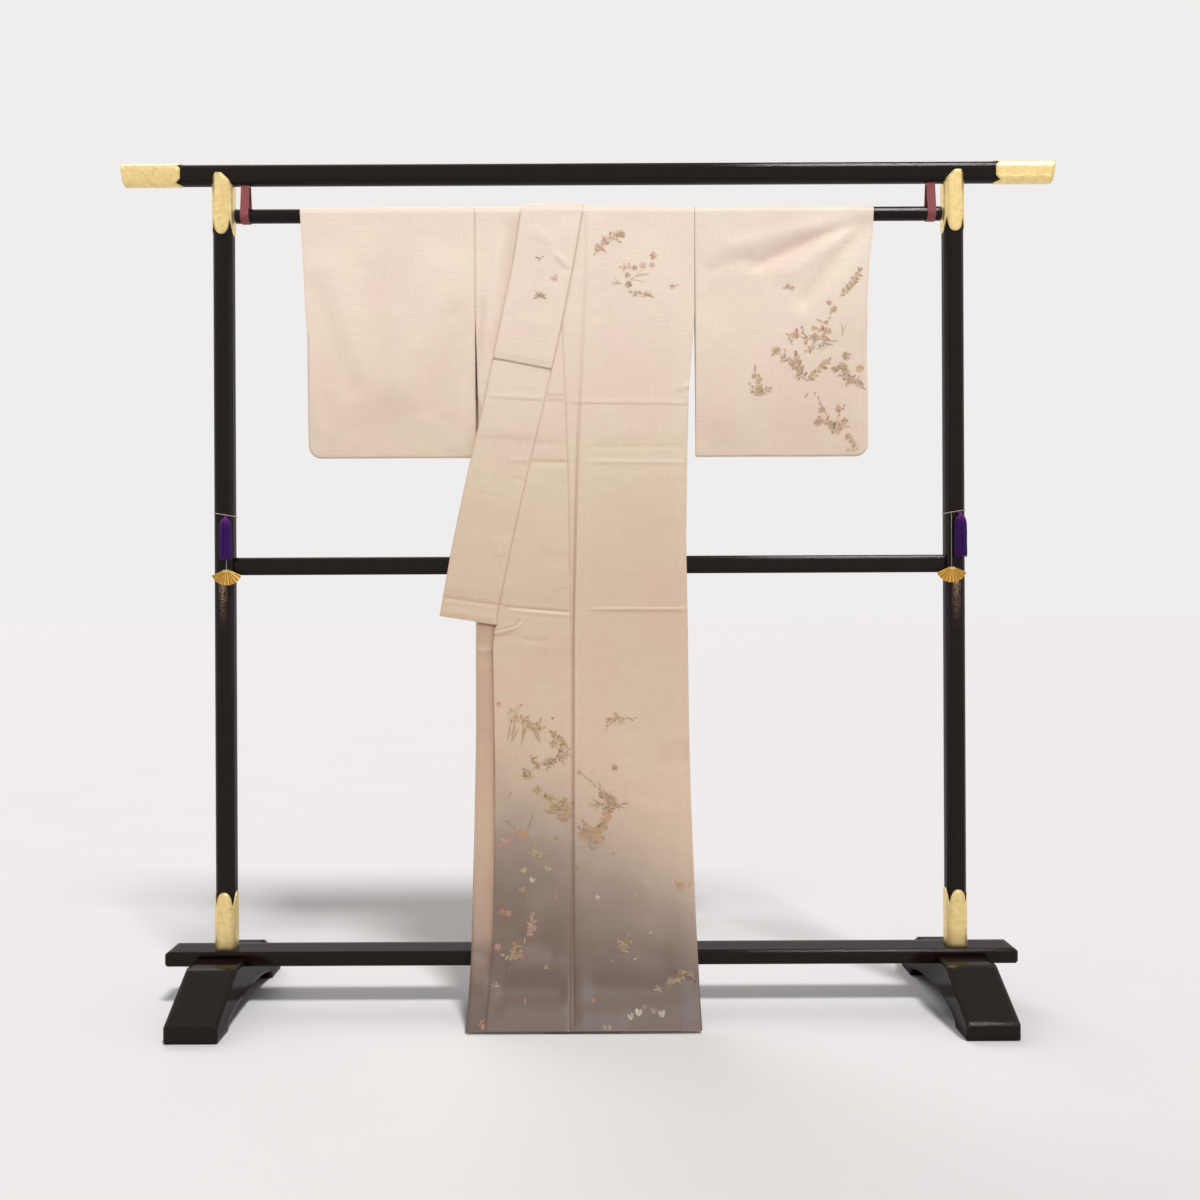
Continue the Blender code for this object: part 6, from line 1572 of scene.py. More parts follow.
def silk_finish(made, colour, roughness, sheen):
    """Dyed silk over a node's colour: slubs lighten and darken it and raise it; a soft nap catches light."""
    tree = made.node_tree
    weave = slub_weave(tree)
    tone = add(tree, "MapRange", {
        "Value": weave, "From Min": 0.34, "From Max": 0.66, "To Min": 0.945, "To Max": 1.055,
    })
    toned = add(tree, "VectorMath", {0: colour, "Scale": tone}, operation="SCALE")
    bump = add(tree, "Bump", {"Height": weave, "Strength": 0.35, "Distance": 0.0009})
    shader = add(tree, "BsdfPrincipled", {
        "Base Color": toned, "Roughness": roughness, "Specular IOR Level": 0.32,
        "Sheen Weight": sheen, "Sheen Roughness": 0.4, "Normal": bump,
    })
    add(tree, "OutputMaterial", {"Surface": shader})
    return made


def silk_ground(cloth):
    """Slubbed silk dyed beige, deeper towards the knees, brushed to a warm grey at the hem, soft sheen."""
    made, tree = new_material("slub_silk_shaded_hem")
    place = add(tree, "TexCoord").outputs["Object"]
    share = add(tree, "Attribute", attribute_name="hem_shade")
    # The brushed shading has a faintly cloudy edge, 60 to 90 mm across.
    cloud = add(tree, "TexNoise", {"Vector": place, "Scale": 11.0, "Detail": 3.0, "Roughness": 0.5})
    drift = add(tree, "MapRange", {
        "Value": cloud, "From Min": 0.3, "From Max": 0.7, "To Min": -0.06, "To Max": 0.06,
    })
    edge = add(tree, "MapRange", {"Value": share.outputs["Fac"], "From Max": 0.25})
    moved = add(tree, "Math", {
        0: drift, 1: edge, 2: share.outputs["Fac"],
    }, operation="MULTIPLY_ADD", use_clamp=True)
    early = add(tree, "MapRange", {"Value": moved, "From Max": MIDDLE_REACHED})
    late = add(tree, "MapRange", {"Value": moved, "From Min": HEM_BEGINS})
    split = add(tree, "SeparateXYZ", {"Vector": place})
    low = add(tree, "MapRange", {
        "Value": split.outputs["Z"], "From Min": 1.52, "From Max": 0.74,
    }, interpolation_type="SMOOTHSTEP")
    # Old silk is a little pinker in some places and yellower in others.
    patches = add(tree, "TexNoise", {"Vector": place, "Scale": 7.0, "Detail": 3.0, "Roughness": 0.6})
    away = add(tree, "VectorMath", {0: place, 1: (-0.14, -0.03, 0.96)}, operation="DISTANCE")
    aired = add(tree, "MapRange", {
        "Value": away, "From Min": 0.10, "From Max": 0.30, "To Min": -0.16, "To Max": 0.02,
    })
    leaning = add(tree, "Math", {0: patches, 1: aired}, operation="ADD")
    warmth = add(tree, "MapRange", {"Value": leaning, "From Min": 0.36, "From Max": 0.64})
    upper = add(tree, "Mix", {
        MIX_FACTOR: warmth, MIX_A: cloth.ground, MIX_B: cloth.ground_pink,
    }, data_type="RGBA")
    lower = add(tree, "Mix", {
        MIX_FACTOR: warmth, MIX_A: cloth.ground_low, MIX_B: linear("D4B9A2"),
    }, data_type="RGBA")
    ground = add(tree, "Mix", {MIX_FACTOR: low, MIX_A: upper, MIX_B: lower}, data_type="RGBA")
    middle = add(tree, "Mix", {
        MIX_FACTOR: early, MIX_A: ground, MIX_B: cloth.shade_middle,
    }, data_type="RGBA")
    hem = add(tree, "Mix", {
        MIX_FACTOR: late, MIX_A: middle, MIX_B: cloth.shade_hem,
    }, data_type="RGBA")
    # Painted shade over the lowest 0.17 m, deepest at the hem's edge, where the skirt flares forward to the
    # light.
    flare_shade = add(tree, "MapRange", {
        "Value": split.outputs["Z"], "From Min": 0.17, "From Max": 0.05,
    }, interpolation_type="SMOOTHSTEP")
    deep = add(tree, "Math", {0: flare_shade, 1: moved}, operation="MULTIPLY")
    deepest = add(tree, "Mix", {MIX_FACTOR: deep, MIX_A: hem, MIX_B: cloth.shade_deep}, data_type="RGBA")
    # The painted shade and highlights multiply the silk's colour.
    painted_shading = add(tree, "Attribute", attribute_name="painted_shading")
    shaded_silk = add(tree, "VectorMath", {0: deepest, 1: painted_shading}, operation="MULTIPLY")
    return silk_finish(made, shaded_silk, 0.50, 0.12)


def silk_lining(cloth):
    """Plain-woven lining silk that is rolled out under the hem, dusty rose and a little shinier."""
    made, tree = new_material("lining_silk_rose")
    place = add(tree, "TexCoord").outputs["Object"]
    cloud = add(tree, "TexNoise", {"Vector": place, "Scale": 40.0})
    tone = add(tree, "Mix", {
        MIX_FACTOR: cloud, MIX_A: cloth.lining, MIX_B: linear("5E433B"),
    }, data_type="RGBA")
    return silk_finish(made, tone, 0.42, 0.1)


def painted_dye():
    """Paste-resist painting on the same silk: the dye soaks in, so the cloth's weave and sheen stay."""
    made, tree = new_material("resist_painted_silk")
    dye = add(tree, "Attribute", attribute_name="dye")
    return silk_finish(made, dye, 0.50, 0.12)


def lacquer_finish(stand, sprinkled):
    """Polished black lacquer on wood: deep and clear, with faint ripples and fine dust.

    On the posts gold powder is sprinkled between two heights.
    """
    made, tree = new_material("black_lacquer_sprinkled" if sprinkled else "black_lacquer")
    place = add(tree, "TexCoord").outputs["Object"]
    dust_and_shade = add(tree, "TexNoise", {"Vector": place, "Scale": 140.0, "Detail": 5.0, "Roughness": 0.7})
    rough = add(tree, "MapRange", {
        "Value": dust_and_shade, "From Min": 0.35, "From Max": 0.75, "To Min": 0.06, "To Max": 0.15,
    })
    ripple = add(tree, "TexNoise", {"Vector": place, "Scale": 22.0, "Detail": 2.0})
    rounded = add(tree, "Bevel", {"Radius": 0.0120}, samples=6)
    bump = add(tree, "Bump", {
        "Height": ripple, "Strength": 0.10, "Distance": 0.0010,
        "Normal": rounded,
    })
    tone = add(tree, "Mix", {
        MIX_FACTOR: dust_and_shade, MIX_A: stand.lacquer, MIX_B: linear("1D1310"),
    }, data_type="RGBA")
    # Years of wiping dull the lacquer, so that it mirrors less than new at low angles.
    facing = add(tree, "LayerWeight", {"Blend": 0.5})
    mirror = add(tree, "MapRange", {
        "Value": facing.outputs["Facing"], "From Min": 0.30, "From Max": 0.80, "To Min": 0.16, "To Max": 0.0,
    })
    shader = add(tree, "BsdfPrincipled", {
        "Base Color": tone, "Roughness": rough,
        "Specular IOR Level": mirror,
        "Normal": bump,
    })
    if sprinkled:
        # Grains of 0.3 mm, drawn at 1 mm to show, along the middle of the face and thinner downwards.
        split = add(tree, "SeparateXYZ", {"Vector": place})
        rise = add(tree, "MapRange", {"Value": split.outputs["Z"], "From Min": 0.71, "From Max": 0.82})
        fall = add(tree, "MapRange", {
            "Value": split.outputs["Z"], "From Min": 0.825, "From Max": 0.845, "To Min": 1.0, "To Max": 0.0,
        })
        thick = add(tree, "Math", {0: rise, 1: 2.2}, operation="POWER")
        height = add(tree, "Math", {0: thick, 1: fall}, operation="MULTIPLY")
        out = add(tree, "Math", {0: split.outputs["X"]}, operation="ABSOLUTE")
        off = add(tree, "Math", {0: out, 1: POST_X}, operation="SUBTRACT")
        aside = add(tree, "Math", {0: off}, operation="ABSOLUTE")
        middle = add(tree, "MapRange", {
            "Value": aside, "From Min": 0.002, "From Max": 0.010, "To Min": 1.0, "To Max": 0.0,
        })
        zone = add(tree, "Math", {0: height, 1: middle}, operation="MULTIPLY")
        grains = add(tree, "TexNoise", {
            "Vector": place, "Scale": 420.0, "Detail": 3.0, "Roughness": 0.6,
        })
        shown = add(tree, "MapRange", {
            "Value": grains, "From Min": 0.44, "From Max": 0.58, "To Max": 0.9,
        })
        mask = add(tree, "Math", {0: shown, 1: zone}, operation="MULTIPLY")
        powder = add(tree, "BsdfPrincipled", {
            "Base Color": linear("C2A288"), "Metallic": 1.0, "Roughness": 0.40,
        })
        shader = add(tree, "MixShader", {0: mask, 1: shader, 2: powder})
    add(tree, "OutputMaterial", {"Surface": shader})
    return made


def gilt_finish(stand):
    """Gilt brass sheet with a fish-roe ground: rings punched 1.2 mm apart, drawn at 2 mm so that they show.

    The gold varies at random between pale and deeper tones and keeps a little dirt in scattered pits.
    """
    made, tree = new_material("gilt_brass_punched")
    place = add(tree, "TexCoord").outputs["Object"]
    punched = add(tree, "TexVoronoi", {"Vector": place, "Scale": 500.0})
    rounded = add(tree, "Bevel", {"Radius": 0.0080}, samples=6)
    bump = add(tree, "Bump", {
        "Height": punched, "Strength": 0.28, "Distance": 0.0005,
        "Normal": rounded,
    })
    tarnish = add(tree, "TexNoise", {"Vector": place, "Scale": 90.0, "Detail": 6.0, "Roughness": 0.7})
    share = add(tree, "MapRange", {"Value": tarnish, "From Min": 0.34, "From Max": 0.80})
    tone = add(tree, "Mix", {
        MIX_FACTOR: share, MIX_A: stand.gilt, MIX_B: linear("E2BA72"),
    }, data_type="RGBA")
    pits = add(tree, "TexVoronoi", {"Vector": place, "Scale": 130.0})
    pit = add(tree, "MapRange", {
        "Value": pits, "From Min": 0.06, "From Max": 0.14, "To Min": 0.7, "To Max": 0.0,
    })
    dirt = add(tree, "Mix", {MIX_FACTOR: pit, MIX_A: tone, MIX_B: linear("7A5526")}, data_type="RGBA")
    rough = add(tree, "MapRange", {
        "Value": tarnish, "From Min": 0.3, "From Max": 0.7, "To Min": 0.28, "To Max": 0.42,
    })
    shader = add(tree, "BsdfPrincipled", {
        "Base Color": dirt, "Metallic": 1.0, "Roughness": rough, "Normal": bump,
    })
    add(tree, "OutputMaterial", {"Surface": shader})
    return made


def fan_finish(stand):
    """Stamped brass, gilt: warm and satin, with a fine grain of deeper gilt."""
    made, tree = new_material("gilt_brass_stamped")
    place = add(tree, "TexCoord").outputs["Object"]
    grain = add(tree, "TexNoise", {"Vector": place, "Scale": 300.0, "Detail": 3.0})
    tone = add(tree, "Mix", {
        MIX_FACTOR: grain, MIX_A: stand.fan_gilt, MIX_B: linear("CDA860"),
    }, data_type="RGBA")
    bump = add(tree, "Bump", {"Height": grain, "Strength": 0.15, "Distance": 0.0003})
    shader = add(tree, "BsdfPrincipled", {
        "Base Color": tone, "Metallic": 1.0, "Roughness": 0.34, "Normal": bump,
    })
    add(tree, "OutputMaterial", {"Surface": shader})
    return made


def woven_tape(stand):
    """Cotton tape woven in a plain weave of 0.8 mm threads, brick red, with a painted highlight where its
    threads cross highest.
    """
    made, tree = new_material("cotton_tape_brick_red")
    place = add(tree, "TexCoord").outputs["Object"]
    threads = [
        add(tree, "TexWave", {"Vector": place, "Scale": 200.0, "Distortion": 0.6},
            wave_type="BANDS", bands_direction=way)
        for way in ("X", "Z")
    ]
    weave = add(tree, "Math", {0: threads[0].outputs["Fac"], 1: threads[1].outputs["Fac"]},
                operation="MULTIPLY")
    tone = add(tree, "Mix", {
        MIX_FACTOR: weave, MIX_A: stand.band, MIX_B: linear("A9615C"),
    }, data_type="RGBA")
    bump = add(tree, "Bump", {"Height": weave, "Strength": 0.5, "Distance": 0.0004})
    shader = add(tree, "BsdfPrincipled", {
        "Base Color": tone, "Roughness": 0.8, "Sheen Weight": 0.3, "Normal": bump,
    })
    add(tree, "OutputMaterial", {"Surface": shader})
    return made


def silk_floss(stand):
    """Untwisted silk floss, purple, with a painted highlight of magenta near the knot and along single
    strands.
    """
    made, tree = new_material("silk_floss_purple")
    place = add(tree, "TexCoord").outputs["Object"]
    thin = add(tree, "Mapping", {"Vector": place, "Scale": (600.0, 600.0, 12.0)})
    strand = add(tree, "TexNoise", {"Vector": thin, "Scale": 1.0, "Detail": 2.0})
    split = add(tree, "SeparateXYZ", {"Vector": place})
    height = add(tree, "MapRange", {
        "Value": split.outputs["Z"], "From Min": TASSEL_TOP - 0.020, "From Max": TASSEL_TOP,
        "To Min": 0.10, "To Max": 0.85,
    })
    # Painted highlight: single strands turn magenta towards the knot.
    light = add(tree, "Math", {0: strand, 1: height}, operation="MULTIPLY", use_clamp=True)
    tone = add(tree, "Mix", {
        MIX_FACTOR: light, MIX_A: stand.floss, MIX_B: linear("A23C94"),
    }, data_type="RGBA")
    shader = add(tree, "BsdfPrincipled", {
        "Base Color": tone, "Roughness": 0.42, "Specular IOR Level": 0.22,
        "Sheen Weight": 0.04, "Sheen Roughness": 0.3,
    })
    add(tree, "OutputMaterial", {"Surface": shader})
    return made


def twisted_cord():
    """Thin cord of two plies, pale grey silk, twisted at 45 degrees."""
    made, tree = new_material("silk_cord_grey")
    place = add(tree, "TexCoord").outputs["Object"]
    twist = add(tree, "TexWave", {"Vector": place, "Scale": 260.0, "Distortion": 0.5},
                wave_type="BANDS", bands_direction="DIAGONAL")
    # Painted shade: the grooves between the plies, low in the bump, are darker.
    tone = add(tree, "Mix", {
        MIX_FACTOR: twist.outputs["Fac"], MIX_A: linear("8A7C76"), MIX_B: linear("C9BCB2"),
    }, data_type="RGBA")
    bump = add(tree, "Bump", {"Height": twist.outputs["Fac"], "Strength": 0.5, "Distance": 0.0003})
    shader = add(tree, "BsdfPrincipled", {
        "Base Color": tone, "Roughness": 0.6, "Sheen Weight": 0.3, "Normal": bump,
    })
    add(tree, "OutputMaterial", {"Surface": shader})
    return made


def studio_floor(stage):
    """Matt pale floor paint, with just enough unevenness to take a soft shadow."""
    made, tree = new_material("matt_floor_paint")
    place = add(tree, "TexCoord").outputs["Object"]
    cloud = add(tree, "TexNoise", {"Vector": place, "Scale": 3.0, "Detail": 3.0})
    tone = add(tree, "Mix", {
        MIX_FACTOR: cloud, MIX_A: stage.floor, MIX_B: linear("DAD8D8"),
    }, data_type="RGBA")
    shader = add(tree, "BsdfPrincipled", {
        "Base Color": tone, "Roughness": 0.8, "Specular IOR Level": 0.1,
    })
    add(tree, "OutputMaterial", {"Surface": shader})
    return made


def dress_nodes(names, material):
    """Give CAD nodes a material."""
    for name in names:
        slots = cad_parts[name].data.materials
        slots.clear()
        slots.append(material)


# ---------------------------------------------------------------- tassels, knots and pins
STRAND_RADIUS, STRAND_SIDES = 0.00062, 4
SHOULDER = 0.0055           # drop over which a tassel's strands spread from the knot
GOLDEN_ANGLE = 2.39996      # turn from one strand to the next, which spreads them evenly
KNOT_SIZE, KNOT_CORD, KNOT_SIDES = 0.00105, 0.0010, 8
PIN_INSET = 0.0150          # from a gilt sleeve's inner end to its pins
PIN_DOME, PIN_LIFT = 0.6, 0.0002    # a dome's height as a share of its radius, and how far it stands off


def tubes(paths, radii):
    """Closed tubes along strands' paths [tube, point, 3]: each ring lies level, for paths that run down."""
    count, length = paths.shape[:2]
    turn = np.linspace(0.0, 2 * math.pi, STRAND_SIDES, endpoint=False)
    ring = np.stack([np.cos(turn), np.sin(turn), 0 * turn], axis=-1)
    points = paths[:, :, None, :] + radii[:, :, None, None] * ring[None, None]
    ids = np.arange(count * length * STRAND_SIDES).reshape(count, length, STRAND_SIDES)
    around = np.roll(ids, -1, axis=2)
    walls = np.stack([ids[:, :-1], ids[:, 1:], around[:, 1:], around[:, :-1]], axis=-1).reshape(-1, 4)
    ends = np.concatenate([ids[:, 0], ids[:, -1][:, ::-1]])
    return points, walls.tolist() + ends.tolist()


def make_floss(word, stand, material):
    """A tassel's strands: each springs from the knot, rounds the shoulder and hangs to the foot.

    A strand's distance from the middle grows as 1 - exp(-drop / SHOULDER), and its wobble is a slow sine.
    """
    rng = np.random.default_rng(7 if word == "left" else 11)
    low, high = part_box(word + "_tassel")
    x_mid, y_mid = (low[0] + high[0]) / 2, -(POST_DEPTH / 2 + 0.0003 + TASSEL_RADIUS)
    count = stand.strands
    share = np.sqrt((np.arange(count) + 0.5) / count)[:, None]
    turn = (np.arange(count) * GOLDEN_ANGLE)[:, None]
    drop = np.linspace(0.0, 1.0, 15)[None, :]
    length = (TASSEL_TOP - 0.002 - TASSEL_BOTTOM) * rng.uniform(0.94, 1.0, (count, 1))
    fallen = drop * length
    reach = share * 0.97 * TASSEL_RADIUS * (1 - np.exp(-fallen / SHOULDER)) * (1 + 0.10 * drop)
    sway = 0.0006 * np.sin(5.0 * drop + rng.uniform(0, 6.28, (count, 1))) * drop
    x = x_mid + (reach + sway) * np.cos(turn)
    y = y_mid + np.minimum((reach + sway) * np.sin(turn), 0.92 * TASSEL_RADIUS)
    z = TASSEL_TOP - 0.001 - fallen
    radii = np.full(x.shape, STRAND_RADIUS) * (1 - 0.35 * drop**4) * (0.55 + 0.45 * ease(fallen / 0.006))
    points, faces = tubes(np.stack([x, y, z], axis=-1), radii)
    obj = add_ornament("silk_floss_" + word + "_tassel", points, faces, material)
    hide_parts(word + "_tassel")


def add_ornament(name, points, faces, material):
    """A piece from points and a list of faces of any size."""
    return add_piece(name, points, faces, [material], ORNAMENT_ANGLE, turned=True)


def make_knot(word, material):
    """The knot over a tassel: a cord laid along a trefoil, (sin t + 2 sin 2t, cos t - 2 cos 2t, -sin 3t)."""
    low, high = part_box(word + "_tassel")
    centre = np.array([(low[0] + high[0]) / 2, -(POST_DEPTH / 2 + 0.0062), TASSEL_TOP - 0.0005])
    t = np.linspace(0.0, 2 * math.pi, 60, endpoint=False)
    across = np.sin(t) + 2 * np.sin(2 * t)
    up = np.cos(t) - 2 * np.cos(2 * t)
    path = centre + KNOT_SIZE * np.stack([across, -0.8 * np.sin(3 * t), up], axis=-1)
    tangent = np.roll(path, -1, axis=0) - np.roll(path, 1, axis=0)
    tangent /= np.linalg.norm(tangent, axis=1)[:, None]
    away = np.cross(tangent, [0.0, 1.0, 0.0])
    away /= np.linalg.norm(away, axis=1)[:, None]
    over = np.cross(tangent, away)
    turn = np.linspace(0.0, 2 * math.pi, KNOT_SIDES, endpoint=False)[None, :, None]
    points = path[:, None] + KNOT_CORD * (np.cos(turn) * away[:, None] + np.sin(turn) * over[:, None])
    ids = np.arange(len(path) * KNOT_SIDES).reshape(len(path), KNOT_SIDES)
    after, around = np.roll(ids, -1, axis=0), np.roll(ids, -1, axis=1)
    faces = np.stack([ids, after, np.roll(after, -1, axis=1), around], axis=-1).reshape(-1, 4)
    add_ornament("knot_over_" + word + "_tassel", points, faces.tolist(), material)


def make_pins(stand, material):
    """Domed pins through the tongues of the posts' gilt sleeves: each a half sphere of rings."""
    rings, sides = 5, 14
    lat = np.linspace(0.0, math.pi / 2, rings)[:, None]
    lon = np.linspace(0.0, 2 * math.pi, sides, endpoint=False)[None, :]
    dome = np.stack(np.broadcast_arrays(
        stand.pin_radius * np.cos(lat) * np.cos(lon),
        -PIN_DOME * stand.pin_radius * np.sin(lat) - PIN_LIFT,
        stand.pin_radius * np.cos(lat) * np.sin(lon),
    ), axis=-1)
    tip = np.array([[0.0, -PIN_DOME * stand.pin_radius - PIN_LIFT, 0.0]])
    dome = np.concatenate([dome[:-1].reshape(-1, 3), tip])
    domes = []
    for word, side in (("right", -1), ("left", 1)):
        for sleeve in ("top", "foot"):
            low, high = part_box(word + "_post_" + sleeve + "_sleeve")
            height = low[2] + PIN_INSET if sleeve == "top" else high[2] - PIN_INSET
            for quarter in range(4):
                around = quarter * math.pi / 2
                depth = (high[1] - low[1]) / 2 if quarter % 2 == 0 else (high[0] - low[0]) / 2
                spin = np.array([
                    [math.cos(around), -math.sin(around), 0.0], [math.sin(around), math.cos(around), 0.0],
                    [0.0, 0.0, 1.0],
                ])
                domes.append((dome + [0.0, -depth, 0.0]) @ spin.T + [side * POST_X, 0.0, height])
    each = (rings - 1) * sides + 1
    faces = []
    for number in range(len(domes)):
        first = number * each
        faces += grid_ring_faces(rings - 1, sides, first)
        last = first + (rings - 2) * sides
        faces += [[last + k, last + (k + 1) % sides, first + each - 1] for k in range(sides)]
        faces.append([first + k for k in range(sides)][::-1])
    add_ornament("gilt_pins", np.concatenate(domes), faces, material)


def grid_ring_faces(rings, sides, first):
    """Faces of a tube of rings."""
    ids = first + np.arange(rings * sides).reshape(rings, sides)
    around = np.roll(ids, -1, axis=1)
    return np.stack([ids[:-1], around[:-1], around[1:], ids[1:]], axis=-1).reshape(-1, 4).tolist()


# ---------------------------------------------------------------- properties


def colour(name, description, hex_colour):
    """A colour property."""
    return FloatVectorProperty(
        name=name, description=description, subtype="COLOR", size=3, min=0.0, max=1.0,
        default=linear(hex_colour)[:3],
    )


class KimonoCloth(bpy.types.PropertyGroup):
    """Sizes and colours of the garment."""
    wall: FloatProperty(
        name="Cloth thickness", description="Silk and lining together", default=0.0012,
        min=0.0008, max=0.0016, subtype="DISTANCE", unit="LENGTH",
    )
    dye_lift: FloatProperty(
        name="Dye lift", description="How far the painted sprigs lie above the silk", default=0.00032,
        min=0.0001, max=0.0006, subtype="DISTANCE", unit="LENGTH",
    )
    dye_strength: FloatProperty(
        name="Dye strength", description="How strongly the sprigs stand out from the ground", default=1.1,
        min=0.0, max=1.5,
    )
    sprig_scale: FloatProperty(
        name="Sprig scale", description="Size of the painted sprigs", default=1.0, min=0.5, max=1.5,
        subtype="FACTOR",
    )
    ground: colour("Ground", "Beige ground of the silk", "EFE0CC")
    ground_pink: colour("Ground, pinker", "Where the ground leans to pink", "EFDACA")
    ground_low: colour("Ground, low", "Deeper ground below the hips", "D3BDA3")
    shade_deep: colour("Shading, edge", "Deepest grey along the hem's edge", "604F47")
    shade_middle: colour("Shading, middle", "Half way to the hem", "A18F80")
    shade_hem: colour("Shading, hem", "Warm grey of the hem", "705E54")
    lining: colour("Lining", "Rolled lining at the hem", "6E4E46")


class KimonoStand(bpy.types.PropertyGroup):
    """Sizes and colours of the stand and its fittings."""
    lacquer: colour("Lacquer", "Black lacquer", "150C0A")
    gilt: colour("Gilt", "Gilt sleeves and caps", "F9E4A6")
    fan_gilt: colour("Fan", "Gilt of the small fans", "E6C87E")
    band: colour("Tape", "Tape that holds the rod", "7C3236")
    floss: colour("Floss", "Tassel silk", "300B60")
    strands: IntProperty(
        name="Strands", description="Strands in a tassel", default=120, min=20, max=125,
    )
    pin_radius: FloatProperty(
        name="Pin radius", description="Domed pins of the gilt sleeves", default=0.0013,
        min=0.0005, max=0.003, subtype="DISTANCE", unit="LENGTH",
    )


class KimonoStage(bpy.types.PropertyGroup):
    """Camera and light."""
    distance: FloatProperty(
        name="Camera distance", description="From the stand's middle", default=2.37, min=1.0, max=10.0,
        subtype="DISTANCE", unit="LENGTH",
    )
    eye_height: FloatProperty(
        name="Eye height", description="Height of the camera", default=0.7827, min=0.0, max=3.0,
        subtype="DISTANCE", unit="LENGTH",
    )
    lens: FloatProperty(
        name="Lens", description="Focal length in millimetres on a 36 mm sensor", default=36.45,
        min=10.0, max=200.0,
    )
    floor: colour("Floor", "Pale floor", "DDDADA")
    key_power: FloatProperty(
        name="Key light", description="Strength of the sun above the front", default=2.58, min=0.0, max=20.0,
    )
    panel_power: FloatProperty(
        name="Panels", description="Power of the narrow panels that the lacquer mirrors", default=6.0,
        min=0.0, max=500.0, subtype="POWER", unit="POWER",
    )
    room_light: FloatProperty(
        name="Room light", description="How much light the pale room gives", default=0.33, min=0.0, max=3.0,
    )
    room_seen: FloatProperty(
        name="Room seen", description="How light the pale room looks", default=0.90, min=0.0, max=3.0,
    )


# ---------------------------------------------------------------- operators
LENS_SHIFT, CAMERA_TILT = 0.0104, 0.0044
FLOOR_HALF, FLOOR_DROP = 40.0, 0.0003    # the floor lies a little below the feet


def add_light(context, name, kind, location, turn, **settings):
    """A light at a place, turned by Euler angles."""
    lamp = bpy.data.lights.new(name, kind)
    for setting, value in settings.items():
        setattr(lamp, setting, value)
    obj = bpy.data.objects.new(name, lamp)
    obj.location = location
    obj.rotation_euler = turn
    context.collection.objects.link(obj)
    return obj


class KIMONO_OT_stage(bpy.types.Operator):
    """Camera, pale floor and soft lights"""
    bl_idname = "kimono.stage"
    bl_label = "Stage"

    def execute(self, context):
        stage = context.scene.kimono_stage
        lens = bpy.data.cameras.new("camera")
        lens.lens = stage.lens
        lens.sensor_width = 36.0
        lens.shift_x = LENS_SHIFT
        camera = bpy.data.objects.new("camera", lens)
        camera.location = (HANG_X, -stage.distance, stage.eye_height)
        camera.rotation_euler = (math.pi / 2, CAMERA_TILT, 0.0)
        context.collection.objects.link(camera)
        context.scene.camera = camera

        signs = ((-1, -1), (1, -1), (1, 1), (-1, 1))
        corners = [(x * FLOOR_HALF, y * FLOOR_HALF, -FLOOR_DROP) for x, y in signs]
        mesh = bpy.data.meshes.new("floor")
        mesh.from_pydata(corners, [], [(0, 1, 2, 3)])
        mesh.materials.append(studio_floor(stage))
        floor = bpy.data.objects.new("floor", mesh)
        context.collection.objects.link(floor)

        # Two soft suns: the key comes steeply from above the front, so that creases show.
        #  name, turn round the stand, height, width of its disc (degrees), power share
        for name, turn, height, disc, share in (("key", 24, 57, 11, 1.0), ("rear", 205, 42, 40, 0.34)):
            add_light(
                context, name, "SUN", (0.0, 0.0, 4.0), (math.radians(90 - height), 0.0, math.radians(turn)),
                energy=stage.key_power * share, angle=math.radians(disc),
            )

        # Narrow panels, seen only by what is polished, draw bright lines down the posts.
        for name, x, y in (("left_panel", -3.3, -1.0), ("right_panel", 3.3, -1.0)):
            panel = add_light(
                context, name, "AREA", (x, y, 1.45), (math.pi / 2, 0.0, math.atan2(x, -y)),
                shape="RECTANGLE", size=0.15, size_y=2.2, energy=stage.panel_power * 1.2,
            )
            panel.visible_camera = False
            panel.visible_diffuse = False

        # The room is seen, and mirrored, lighter than the light that it gives to matt surfaces.
        world = bpy.data.worlds.new("pale_room")
        world.use_nodes = True
        tree = world.node_tree
        tree.nodes.clear()
        seen = add(tree, "LightPath")
        strength = add(tree, "MapRange", {
            "Value": seen.outputs["Is Diffuse Ray"], "To Min": stage.room_seen, "To Max": stage.room_light,
        })
        ground = add(tree, "Background", {"Color": linear("FBF9F8"), "Strength": strength})
        add(tree, "OutputWorld", {"Surface": ground})
        context.scene.world = world
        # Colours are shown as they are given, without a film curve.
        context.scene.view_settings.view_transform = "Standard"
        return {"FINISHED"}


def silks(context):
    """The garment's two materials, made once."""
    found = [bpy.data.materials.get(name) for name in ("slub_silk_shaded_hem", "lining_silk_rose")]
    cloth = context.scene.kimono_cloth
    return [found[0] or silk_ground(cloth), found[1] or silk_lining(cloth)]


class KIMONO_OT_body(bpy.types.Operator):
    """Left and right body panels, each in one length over the shoulder"""
    bl_idname = "kimono.body"
    bl_label = "Body panels"

    def execute(self, context):
        cloth = context.scene.kimono_cloth
        right = make_right_body(cloth, silks(context))
        left = make_left_body(cloth, silks(context))
        return {"FINISHED"}


class KIMONO_OT_okumi(bpy.types.Operator):
    """The two narrow front panels beside the open edges"""
    bl_idname = "kimono.okumi"
    bl_label = "Okumi"

    def execute(self, context):
        cloth = context.scene.kimono_cloth
        under = make_okumi(
            "silk_right_okumi", "right_okumi", RIGHT_FRONT, -1, front_lift, right_front_shading,
            SHADE_UNDER, (18, 0.012),
            cloth, silks(context),
        )
        over = make_okumi(
            "silk_left_okumi", "left_okumi", LEFT_FRONT, 1, left_okumi_out, left_okumi_shading,
            SHADE_OVER, (36, 0.0050),
            cloth, silks(context),
        )
        return {"FINISHED"}


